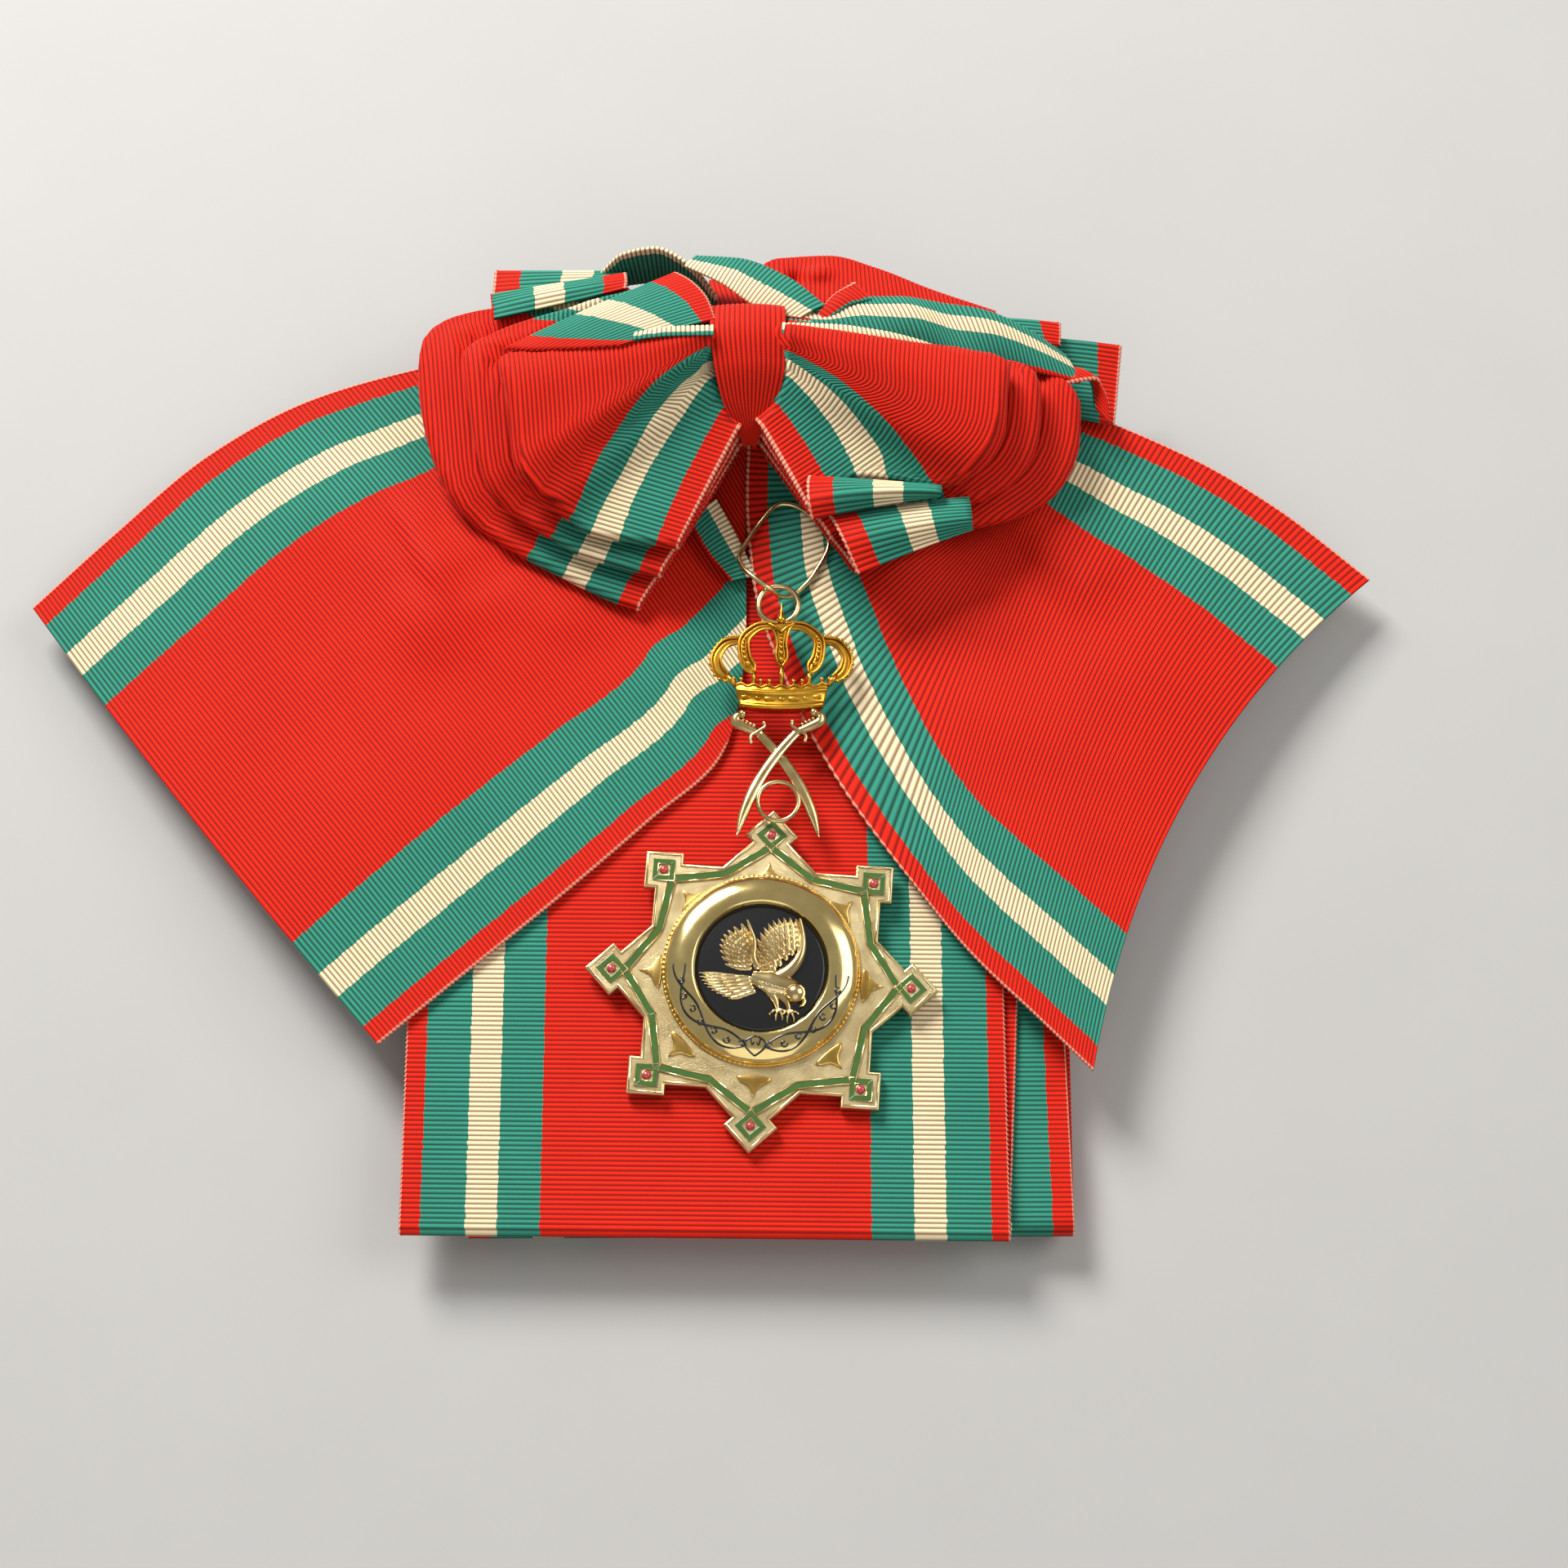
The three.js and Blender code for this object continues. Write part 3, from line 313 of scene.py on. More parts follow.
@dataclass(frozen=True)
class Metal(SurfaceFinish):
    """Precious metal: how bright, how worn and how grainy its surface is.

    A low roughness mirrors the light softly as polished gilt does; grain of 0.2 mm breaks
    it up as frosting does, and tarnish darkens it in slow patches of 4 mm.
    """

    colour: str
    dull: str
    roughness: float
    grain: float = 0.0
    grain_scale: float = 5200.0
    tarnish_scale: float = 260.0

    def shading(self, tree: bpy.types.NodeTree) -> dict[int | str, object]:
        """Adds tarnish and grain.

        Args:
            tree: the material's node tree.

        Returns:
            What the shader's inputs are given.
        """
        spot = add_node(tree, "TexCoord").outputs["Object"]
        cloud = {"Vector": spot, "Scale": self.tarnish_scale, "Detail": 5.0}
        cloud = add_node(tree, "TexNoise", cloud).outputs[0]
        patch = {0: cloud, 1: 1.6, 2: -0.35}
        patch = add_node(tree, "Math", patch, operation="MULTIPLY_ADD").outputs[0]
        colour = {0: patch, 6: linear(self.dull), 7: linear(self.colour)}
        grain = {"Vector": spot, "Scale": self.grain_scale, "Detail": 2.0}
        grain = add_node(tree, "TexNoise", grain).outputs[0]
        rough = {0: cloud, 1: 0.12, 2: self.roughness - 0.04}
        bump = {"Strength": 0.04 + self.grain, "Distance": 0.00008, "Height": grain}
        return {
            "Base Color": add_node(tree, "Mix", colour, data_type="RGBA").outputs[2],
            "Metallic": 1.0,
            "Roughness": add_node(tree, "Math", rough, operation="MULTIPLY_ADD").outputs[0],
            "Normal": add_node(tree, "Bump", bump).outputs[0],
        }


@dataclass(frozen=True)
class VitreousEnamel(SurfaceFinish):
    """Fired glass on metal: deep colour under a wet gloss, uneven in patches of 2.4 mm."""

    colour: str
    darker_tone: str
    cloud_scale: float = 420.0

    def shading(self, tree: bpy.types.NodeTree) -> dict[int | str, object]:
        """Adds the uneven depth.

        Args:
            tree: the material's node tree.

        Returns:
            What the shader's inputs are given.
        """
        spot = add_node(tree, "TexCoord").outputs["Object"]
        cloud = {"Vector": spot, "Scale": self.cloud_scale, "Detail": 3.0}
        cloud = add_node(tree, "TexNoise", cloud).outputs[0]
        colour = {0: cloud, 6: linear(self.darker_tone), 7: linear(self.colour)}
        bump = {"Strength": 0.25, "Distance": 0.0001, "Height": cloud}
        return {
            "Base Color": add_node(tree, "Mix", colour, data_type="RGBA").outputs[2],
            "Roughness": 0.22,
            "Coat Weight": 0.6,
            "Coat Roughness": 0.06,
            "Normal": add_node(tree, "Bump", bump).outputs[0],
        }


@dataclass(frozen=True)
class PaintedTable(SurfaceFinish):
    """Plain pale table top, so that it takes a soft shadow; its cast drifts over 33 mm."""

    name: str = "matt painted table top"
    colour: str = "#afadaa"
    dull: str = "#aaa8a5"
    cloud_scale: float = 30.0

    def shading(self, tree: bpy.types.NodeTree) -> dict[int | str, object]:
        """Adds the paint's faint unevenness.

        Args:
            tree: the material's node tree.

        Returns:
            What the shader's inputs are given.
        """
        spot = add_node(tree, "TexCoord").outputs["Object"]
        cloud = {"Vector": spot, "Scale": self.cloud_scale, "Detail": 6.0}
        colour = {0: add_node(tree, "TexNoise", cloud).outputs[0]}
        colour |= {6: linear(self.dull), 7: linear(self.colour)}
        return {
            "Base Color": add_node(tree, "Mix", colour, data_type="RGBA").outputs[2],
            "Roughness": 0.8,
        }


class Finish(Enum):
    """Finishes of the part, with the slot that each belongs to."""

    RIBBON = (WovenGrosgrain(), "striped_ribbon")
    GREEN_RIBBON = (WovenGrosgrain(name="woven striped grosgrain, green side"), "green_ribbon")
    GILT = (Metal("polished gilt", "#f0cb78", "#c99a45", 0.22), "gilt")
    DEEP_GILT = (Metal("cast gilt, burnished on its edges", "#e5b343", "#b57a1e", 0.26), "gilt")
    BRIGHT_GILT = (
        Metal("burnished silver gilt dome", "#f3dc9a", "#e0c47c", 0.12),
        "frosted_silver_gilt",
    )
    PALE_GILT = (Metal("pale silver gilt wire", "#f4e0aa", "#b8955a", 0.2), "gilt")
    SILVER_GILT = (
        Metal("frosted silver gilt", "#ebd7a4", "#b9a070", 0.3, 0.6, 6500.0),
        "frosted_silver_gilt",
    )
    BRIGHT_EDGE = (
        Metal("bright silver gilt edge", "#f2e0ae", "#cdb272", 0.16),
        "frosted_silver_gilt",
    )
    GREEN = (VitreousEnamel("olive green vitreous enamel", "#47692f", "#35521f"), "green_enamel")
    RED = (VitreousEnamel("pinkish red vitreous enamel", "#bb3c3c", "#982a2c"), "red_enamel")
    BLACK = (VitreousEnamel("black vitreous enamel", "#0b0b0e", "#050507"), "black_enamel")

    def material(self) -> bpy.types.Material:
        """Returns the finish's material, made once."""
        kind = self.value[0]
        return bpy.data.materials.get(kind.name) or kind.make()

    def slot(self) -> str:
        """Returns the finish's slot."""
        return self.value[1]


# --------------------------------------------------------------------------- meshes


@dataclass
class Frame:
    """Place of the tables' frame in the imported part."""

    shift: Array = field(default_factory=lambda: np.zeros(3))

    def find(self, star_x: float, star_y: float) -> None:
        """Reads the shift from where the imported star's middle is.

        Args:
            star_x: the star's middle in the tables' frame, in millimetres.
            star_y: the same, away from the viewer.
        """
        low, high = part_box("star_plate")
        middle = (np.array(low) + np.array(high)) / 2 / MM
        self.shift = np.array([middle[0] - star_x, middle[1] - star_y, 0.0])

    def metres(self, points: Array) -> Array:
        """Moves points from the tables' frame into the part's, in metres."""
        return (np.asarray(points, float) + self.shift) * MM


FRAME = Frame()


@dataclass
class MeshParts:
    """Points and faces gathered for one object."""

    points: list[Array] = field(default_factory=list)
    faces: list[tuple[int, ...]] = field(default_factory=list)
    uvs: list[Array] = field(default_factory=list)
    count: int = 0

    def add(self, points: Array, faces: Sequence[Sequence[int]], uv: Array | None = None) -> None:
        """Adds a piece.

        Args:
            points: its corners, n by 3, in millimetres.
            faces: corner numbers of each face.
            uv: two numbers for each corner, or None.
        """
        base = self.count
        self.points.append(np.asarray(points, float))
        self.faces.extend(tuple(base + int(k) for k in face) for face in faces)
        self.uvs.append(np.zeros((len(points), 2)) if uv is None else np.asarray(uv, float))
        self.count += len(points)

    def build(
        self,
        name: str,
        finish: Finish,
        *nodes: str,
        smooth: bool = True,
        place: Callable[[Array], Array] | None = None,
    ) -> bpy.types.Object:
        """Makes the object.

        Args:
            name: the object's name.
            finish: its finish.
            nodes: the CAD nodes that it stands for.
            smooth: whether its faces are shaded smooth.
            place: how its points are brought into the tables' frame, or None.

        Returns:
            The object, linked to the scene and riding on the root body.
        """
        mesh = bpy.data.meshes.new(name)
        points = np.concatenate(self.points)
        points = FRAME.metres(place(points) if place else points)
        mesh.from_pydata(points.tolist(), [], self.faces)
        mesh.validate()
        mesh.update()
        uvs = np.concatenate(self.uvs)
        layer = mesh.uv_layers.new(name="ribbon")
        corner = np.zeros(len(mesh.loops), np.int32)
        mesh.loops.foreach_get("vertex_index", corner)
        layer.data.foreach_set("uv", uvs[corner].ravel())
        if smooth:
            mesh.shade_smooth()
        mesh.materials.append(finish.material())
        made = bpy.data.objects.new(name, mesh)
        bpy.context.collection.objects.link(made)
        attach(made, "root")
        if nodes:
            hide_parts(*nodes)
        LOG.info("%s: %d faces", name, len(self.faces))
        return made


def unit(vectors: Array) -> Array:
    """Scales vectors to length one, leaving zero ones alone."""
    size = np.linalg.norm(vectors, axis=-1, keepdims=True)
    return vectors / np.maximum(size, 1e-9)


def running(steps: Array) -> Array:
    """Running sum of steps, from zero."""
    return np.concatenate([[0], np.cumsum(steps)])


class Surface:
    """Smooth surface through a grid of points, read anywhere by cubic interpolation."""

    def __init__(self, points: Array, top_rows: int | None = None) -> None:
        """Keeps the grid and works out its normals.

        Args:
            points: rows by columns by 3, in millimetres.
            top_rows: how many of the first rows face up, or None for all of them.
        """
        self.points = points
        down = np.gradient(points, axis=0)
        side = np.gradient(points, axis=1)
        normal = unit(np.cross(side, down))
        faces_up = normal[:top_rows, :, 2].sum() > 0
        self.normals = normal if faces_up else -normal

    def read(self, row: Array, column: Array) -> tuple[Array, Array]:
        """Interpolates points and normals.

        Args:
            row: places down the grid, in rows.
            column: places across the grid, in columns, of the same shape.

        Returns:
            The points and the unit normals there.
        """
        rows, columns = self.points.shape[:2]
        r = np.clip(np.floor(row).astype(int), 0, rows - 2)
        c = np.clip(np.floor(column).astype(int), 0, columns - 2)
        wr = cubic_weights(np.clip(row - r, 0, 1))
        wc = cubic_weights(np.clip(column - c, 0, 1))
        point = np.zeros(row.shape + (3,))
        normal = np.zeros(row.shape + (3,))
        for i in range(4):
            for j in range(4):
                weight = (wr[i] * wc[j])[..., None]
                ri = np.clip(r + i - 1, 0, rows - 1)
                cj = np.clip(c + j - 1, 0, columns - 1)
                point += weight * self.points[ri, cj]
                normal += weight * self.normals[ri, cj]
        return point, unit(normal)


def cubic_weights(t: Array) -> list[Array]:
    """Weights of four neighbours for a smooth curve through the middle two.

    Args:
        t: how far between the middle two, from 0 to 1.

    Returns:
        One weight for each neighbour.
    """
    return [
        -0.5 * t**3 + t**2 - 0.5 * t,
        1.5 * t**3 - 2.5 * t**2 + 1,
        -1.5 * t**3 + 2 * t**2 + 0.5 * t,
        0.5 * t**3 - 0.5 * t**2,
    ]


@dataclass(frozen=True)
class RibbonRelief:
    """Relief of the weave: round ribs, and a corded selvedge along each side."""

    rib: float = 0.16
    cord: float = 0.16
    cord_width: float = 0.75
    zigzag: float = 0.13
    # How far in from a selvedge the zigzag and the wall's rounding reach, and how much of the
    # wall is rounded off.
    zigzag_reach: float = 0.5
    round_reach: float = 0.22
    rounded: float = 0.32
    # Mean height of a round rib, and how much of the cord stands between its stitches.
    mean: float = 0.75
    between: float = 0.62
    cord_steps: tuple[float, ...] = (0.0, 0.2, 0.5, 0.8, 1.0, 1.25)

    def ribs(self, phase: Array) -> Array:
        """Height of the ribs at a rib count, zero in the grooves' mean."""
        t = phase - np.floor(phase)
        return self.rib * (np.sqrt(np.maximum(1 - (2 * t - 1) ** 2, 0)) - self.mean)

    def columns(self, middle: int) -> Array:
        """Shares across the ribbon where its mesh has points.

        Args:
            middle: how many steps the plain part takes.

        Returns:
            Rising shares from 0 to 1, close together over the corded selvedges.
        """
        edge = np.array(self.cord_steps) * self.cord_width / WIDTH
        inner = np.linspace(edge[-1], 1 - edge[-1], middle + 1)[1:-1]
        return np.concatenate([edge, inner, 1 - edge[::-1]])

    def cords(self, share: Array, phase: Array) -> Array:
        """Works out the selvedge's cord.

        Args:
            share: places across the ribbon.
            phase: rib counts there.

        Returns:
            The cord's heights there, in millimetres.
        """
        near = np.minimum(share, 1 - share) * WIDTH / self.cord_width
        bead = np.clip(1 - (2 * near - 1) ** 2, -1.0, 1) * np.exp(-np.maximum(near - 1, 0) * 30)
        stitch = self.between + (1 - self.between) * np.cos(2 * np.pi * phase)
        return self.cord * bead * stitch


RELIEF = RibbonRelief()
# The selvedge's cord is pale on top only: its wall takes the share this far inside.
EDGE_INSIDE = 0.02
# Shares from a selvedge up to which columns are those of its cord, and from which they are free.
CORDED_SHARE = 0.0126
FREE_SHARE = 0.0136


@dataclass
class Ribbon:
    """Closed sheet of ribbon with woven relief, on a surface and a grid of rib counts."""

    surface: Surface
    row: Array
    column: Array
    share: Array
    phase: Array
    wall: float = 0.62
    relief: Array | float = 1.0
    top: float = CLOTH_WALL / 2

    def mesh(self, parts: MeshParts) -> None:
        """Adds the sheet's front, back and edges.

        Args:
            parts: the object's gathered pieces.
        """
        middle, normal = self.surface.read(self.row, self.column)
        lift = self.relief * (RELIEF.ribs(self.phase) + RELIEF.cords(self.share, self.phase))
        near = np.minimum(self.share, 1 - self.share) * WIDTH
        rounding = RELIEF.rounded * self.wall * np.exp(-((near / RELIEF.round_reach) ** 2))
        front = middle + normal * (self.top + lift - rounding)[..., None]
        aside = unit(np.gradient(middle, axis=1))
        sign = np.where(self.share < 0.5, -1.0, 1.0)
        sway = RELIEF.zigzag * np.sin(2 * np.pi * self.phase)
        sway = sway * np.exp(-((near / RELIEF.zigzag_reach) ** 2))
        front = front + aside * (sign * sway)[..., None]
        rows, columns = self.row.shape
        kept = np.unique(np.append(np.arange(0, rows, ROWS_PER_RIB), rows - 1))
        under = self.top - self.wall + rounding[kept]
        back = middle[kept] + normal[kept] * under[..., None]
        uv = np.stack([self.share, self.phase], axis=-1)
        points = np.concatenate([front.reshape(-1, 3), back.reshape(-1, 3)])
        low_uv = uv[kept].copy()
        low_uv[..., 0] = np.clip(low_uv[..., 0], EDGE_INSIDE, 1 - EDGE_INSIDE)
        uvs = np.concatenate([uv.reshape(-1, 2), low_uv.reshape(-1, 2)])
        top = np.arange(rows * columns).reshape(rows, columns)
        low = rows * columns + np.arange(len(kept) * columns).reshape(len(kept), columns)
        faces = grid_quads(top) + [face[::-1] for face in grid_quads(low)]
        for side in (0, columns - 1):
            for i in range(len(kept) - 1):
                upper = list(top[kept[i] : kept[i + 1] + 1, side])
                face = tuple(upper + [low[i + 1, side], low[i, side]])
                faces.append(face[::-1] if side == 0 else face)
        for j in range(columns - 1):
            faces.append((top[0, j], top[0, j + 1], low[0, j + 1], low[0, j]))
            faces.append((top[-1, j], low[-1, j], low[-1, j + 1], top[-1, j + 1]))
        parts.add(points, outward(points, faces), uvs)


def grid_quads(numbers: Array) -> list[tuple[int, ...]]:
    """Quads of a grid of corner numbers."""
    quads = [numbers[:-1, :-1], numbers[1:, :-1], numbers[1:, 1:], numbers[:-1, 1:]]
    return [tuple(quad) for quad in np.stack(quads, axis=-1).reshape(-1, 4).tolist()]


def ring_faces(numbers: Array, capped: bool = True) -> list[tuple[int, ...]]:
    """Lists the faces round a stack of rings.

    Args:
        numbers: corner numbers, one ring a row.
        capped: whether both ends get a flat cap.

    Returns:
        The faces, as corner numbers.
    """
    faces = grid_quads(np.concatenate([numbers, numbers[:, :1]], axis=1))
    if capped:
        faces.append(tuple(numbers[0].tolist()))
        faces.append(tuple(numbers[-1][::-1].tolist()))
    return faces


def outward(points: Array, faces: list[tuple[int, ...]]) -> list[tuple[int, ...]]:
    """Turns a closed mesh's faces outwards where they face in.

    Args:
        points: the mesh's corners.
        faces: its faces, all turned one way.

    Returns:
        The faces, turned outwards.
    """
    first = np.array([face[:3] for face in faces])
    a, b, c = (points[first[:, k]] - points.mean(axis=0) for k in range(3))
    volume = np.einsum("ij,ij->i", a, np.cross(b, c)).sum()
    return faces if volume > 0 else [tuple(face[::-1]) for face in faces]


# --------------------------------------------------------------------------- cloth


def dent_rise(dents: Table | None, along: Array, across: Array) -> Array:
    """Adds up soft dents over a sheet, in shares of the ribbon's width.

    Args:
        dents: one dent a row, or None.
        along: places along the sheet, from 0 to 1.
        across: places across it, from 0 to 1.

    Returns:
        The rise at each place.
    """
    rise = np.zeros(np.broadcast(along, across).shape)
    if dents is None:
        return rise
    for at_v, at_u, long, wide, high in dents.values:
        rise = rise + high * np.exp(-(((along - at_v) / long) ** 2) - ((across - at_u) / wide) ** 2)
    return rise


# A crease fades past its ends over this share of its length.
CREASE_FADE = 0.35


def crease_rise(creases: Table | None, x: Array, y: Array) -> Array:
    """Rise of creases: a ridge along a line, steep to its left and slow to its right.

    Args:
        creases: rows of x0 y0 x1 y1 steep slow rise, in shares of the ribbon's width.
        x: places across the table, in the same shares.
        y: places away from the viewer.

    Returns:
        The rise at each place.
    """
    rise = np.zeros(np.shape(x))
    if creases is None:
        return rise
    for x0, y0, x1, y1, steep, slow, high in creases.values:
        long = math.hypot(x1 - x0, y1 - y0)
        dx, dy = (x1 - x0) / long, (y1 - y0) / long
        run = (x - x0) * dx + (y - y0) * dy
        side = (x - x0) * dy - (y - y0) * dx
        beyond = np.maximum(np.maximum(-run, run - long), 0) / (CREASE_FADE * long)
        reach = np.where(side > 0, slow, steep)
        rise = rise + high * np.exp(-((side / reach) ** 2) - beyond**2)
    return rise


@dataclass
class Laid:
    """Sheet laid by stations, each from its selvedge a to its selvedge b.

    Heights in its table are over the seat; the stripe shares that it shows run from
    first_share at a to last_share at b.
    """

    name: str
    stations: Table
    seat: float
    nodes: tuple[str, ...] = ()
    first_share: float = 0.0
    last_share: float = 1.0
    dents: Table | None = None
    creases: Table | None = None
    droop: float = 0.0
    droop_from: tuple[float, float] = (-0.633, 0.488)
    droop_power: float = 1.4
    middle: int = 30
    coarse: tuple[int, int] = (60, 36)
    finish: Finish = Finish.RIBBON
    gathered: float = 0.0
    folded: Table | None = None

    def grid(self) -> Array:
        """Lays out the middle surface on a coarse grid.

        Returns:
            Rows by columns by 3, in millimetres.
        """
        rows, columns = self.coarse
        v = np.linspace(0, 1, rows + 1)[:, None]
        u = np.linspace(0, 1, columns + 1)[None, :]
        at = {name: col[:, None] for name, col in self.stations.read(v[:, 0]).items()}
        zero = np.zeros_like(v)
        bow = at.get("bow", zero)
        dx, dy = at["bx"] - at["ax"], at["by"] - at["ay"]
        ahead = np.sign(dx * dy) * bow * 4 * u * (1 - u) / np.hypot(dx, dy)
        x = at["ax"] + dx * u + dy * ahead
        y = at["ay"] + dy * u - dx * ahead
        rise = at.get("aRise", zero) * (1 - u) + at.get("bRise", zero) * u
        if "puff" in at:
            rise = rise + at["puff"] * 4 * u * (1 - u)
        beyond = np.where(x < 0, self.droop_from[0] - x, x - self.droop_from[1])
        rise = rise - self.droop * np.maximum(beyond, 0) ** self.droop_power
        rise = rise + dent_rise(self.dents, v, u) + crease_rise(self.creases, x, y)
        return np.stack([x * WIDTH, y * WIDTH, self.seat + rise * WIDTH], axis=-1)

    def shares(self) -> Array:
        """Lists the shares across the ribbon where the sheet has columns.

        Returns:
            The shares, from edge a to edge b.
        """
        low, high = sorted((self.first_share, self.last_share))
        whole = RELIEF.columns(self.middle)
        edges = whole[(whole < CORDED_SHARE) | (whole > 1 - CORDED_SHARE)]
        inner = np.linspace(low, high, self.middle + 1)
        free = inner[(inner > FREE_SHARE) & (inner < 1 - FREE_SHARE)]
        ends = np.array([end for end in (low, high) if CORDED_SHARE < end < 1 - CORDED_SHARE])
        picked = np.unique(np.concatenate([edges[(edges >= low) & (edges <= high)], free, ends]))
        return picked if self.first_share <= self.last_share else picked[::-1]

    def gathered_columns(self, points: Array, row: Array, share: Array) -> Array:
        """Places stripes at full width along selvedge b, and gathers the rest.

        Args:
            points: the coarse grid.
            row: places down the grid.
            share: shares across the ribbon.

        Returns:
            Places across the grid, for each row and share.
        """
        wide = np.linalg.norm(points[:, -1] - points[:, 0], axis=-1) / WIDTH
        ratio = np.minimum(np.interp(row, np.arange(len(wide)), wide), 1.0)[:, None]
        q = np.linspace(0, 1, 129)[None, :]
        taken = ratio * q + (1 - ratio) * q**self.gathered
        return np.stack([1 - np.interp(1 - share, line, q[0]) for line in taken]) * (
            points.shape[1] - 1
        )

    def build(self) -> None:
        """Makes the sheet in place of the CAD nodes that it stands for, which it hides."""
        points = self.grid()
        middle = points[:, points.shape[1] // 2]
        arc = running(np.linalg.norm(np.diff(middle, axis=0), axis=1))
        count = int(math.ceil(arc[-1] / RIB_PITCH * ROWS_PER_RIB))
        phase = np.minimum(np.arange(count + 1) / ROWS_PER_RIB, arc[-1] / RIB_PITCH)
        row = np.interp(phase * RIB_PITCH, arc, np.arange(len(arc)))
        share = self.shares()
        local = (share - self.first_share) / (self.last_share - self.first_share)
        rows, columns = np.meshgrid(row, local * (points.shape[1] - 1), indexing="ij")
        phases, shares = np.meshgrid(phase, share, indexing="ij")
        if self.gathered:
            columns = self.gathered_columns(points, row, share)
        if self.folded is not None:
            hidden = self.folded.read(row / (len(points) - 1))["share"][:, None]
            shares = shares - hidden * np.minimum(2 * shares, 1.0)
        parts = MeshParts()
        Ribbon(Surface(points), rows, columns, shares, phases).mesh(parts)
        made = parts.build(self.name, self.finish, *self.nodes)
        whole = abs(self.last_share - self.first_share) == 1.0
        area = surface_area(points)
        declare_sheet(made, area, float(arc[-1]), WIDTH if whole else None)


# The least side that a sheet's size is logged with.
LEAST_SIDE = 10.2


def declare_sheet(
    made: bpy.types.Object,
    area: float,
    long: float,
    wide: float | None = None,
) -> None:
    """Logs a piece's size as a sheet of cloth cut to its own area.

    Args:
        made: the piece.
        area: its area, in square millimetres.
        long: its length, in millimetres.
        wide: how wide it is cut, or None for as wide as its area needs.
    """
    long = max(long, LEAST_SIDE)
    wide = wide or max(area / long, LEAST_SIDE)
    LOG.info("%s: flat %.1f by %.1f mm, area %.0f mm2", made.name, wide, long, area)


def surface_area(points: Array) -> float:
    """Measures a grid of points.

    Args:
        points: rows by columns by 3, in millimetres.

    Returns:
        The area, in square millimetres.
    """
    a = points[1:, 1:] - points[:-1, :-1]
    b = points[1:, :-1] - points[:-1, 1:]
    return float(np.linalg.norm(np.cross(a, b), axis=-1).sum() / 2)


@dataclass(frozen=True)
class Sight:
    """Line of sight of the camera, which puts a seen place at a known height."""

    back: float = 189.8
    high: float = 521.5
    focal: float = 3879.0
    half: float = 960.0
    degrees: float = 70.0

    def place(self, x: Array, y: Array, z: Array) -> Array:
        """Finds places on the table's frame.

        Args:
            x: how far right they are seen, in the picture's pixels.
            y: how far down they are seen.
            z: their heights over the table, in millimetres.

        Returns:
            Points, in millimetres.
        """
        cos, sin = math.cos(math.radians(self.degrees)), math.sin(math.radians(self.degrees))
        right, up = np.asarray(x) - self.half, self.half - np.asarray(y)
        ahead_y = self.focal * cos + up * sin
        ahead_z = -self.focal * sin + up * cos
        reach = (np.asarray(z) - self.high) / ahead_z
        return np.stack([right * reach, ahead_y * reach - self.back, z + 0 * reach], axis=-1)


@dataclass
class SeenSheet(Laid):
    """Small sheet whose stations are places seen by the camera, with their heights."""

    seat: float = 0.0
    middle: int = 20
    coarse: tuple[int, int] = (40, 20)

    def grid(self) -> Array:
        """Lays out the middle surface on a coarse grid.

        Returns:
            Rows by columns by 3, in millimetres.
        """
        rows, columns = self.coarse
        v = np.linspace(0, 1, rows + 1)
        u = np.linspace(0, 1, columns + 1)[None, :, None]
        at = self.stations.read(v)
        sight = Sight()
        a = sight.place(at["ax"], at["ay"], at["az"])[:, None]
        b = sight.place(at["bx"], at["by"], at["bz"])[:, None]
        points = a + (b - a) * u
        points[..., 2] += (at["puff"][:, None, None] * 4 * u * (1 - u))[..., 0]
        return points


# How far in from the outermost loop's lines each loop's lines lie.
LOOP_SHARES = {"outer": 0.0, "middle": 0.55, "inner": 1.0}
# Where shares of the ribbon lie across a loop at the knot: its red is gathered, its near
# stripes lie flat.
ROOT_SHARES = (
    (0.0, 0.229, 0.771, 0.842, 0.892, 0.960, 1.0),
    (0.0, 0.170, 0.610, 0.680, 0.800, 0.915, 1.0),
)
# Legs of the loops: the step between two, the room and the slope of the cloth under a rim, and
# how far aside a leg looks for loops above it.
LEG_STEP = 1.4
NEST_CLEARANCE = 0.65
RIM_SLOPE = 1.2
LOOK_ASIDE = 2.5
AROUND = ((0, 0), (LOOK_ASIDE, 0), (-LOOK_ASIDE, 0), (0, LOOK_ASIDE), (0, -LOOK_ASIDE))
HALVINGS = 14


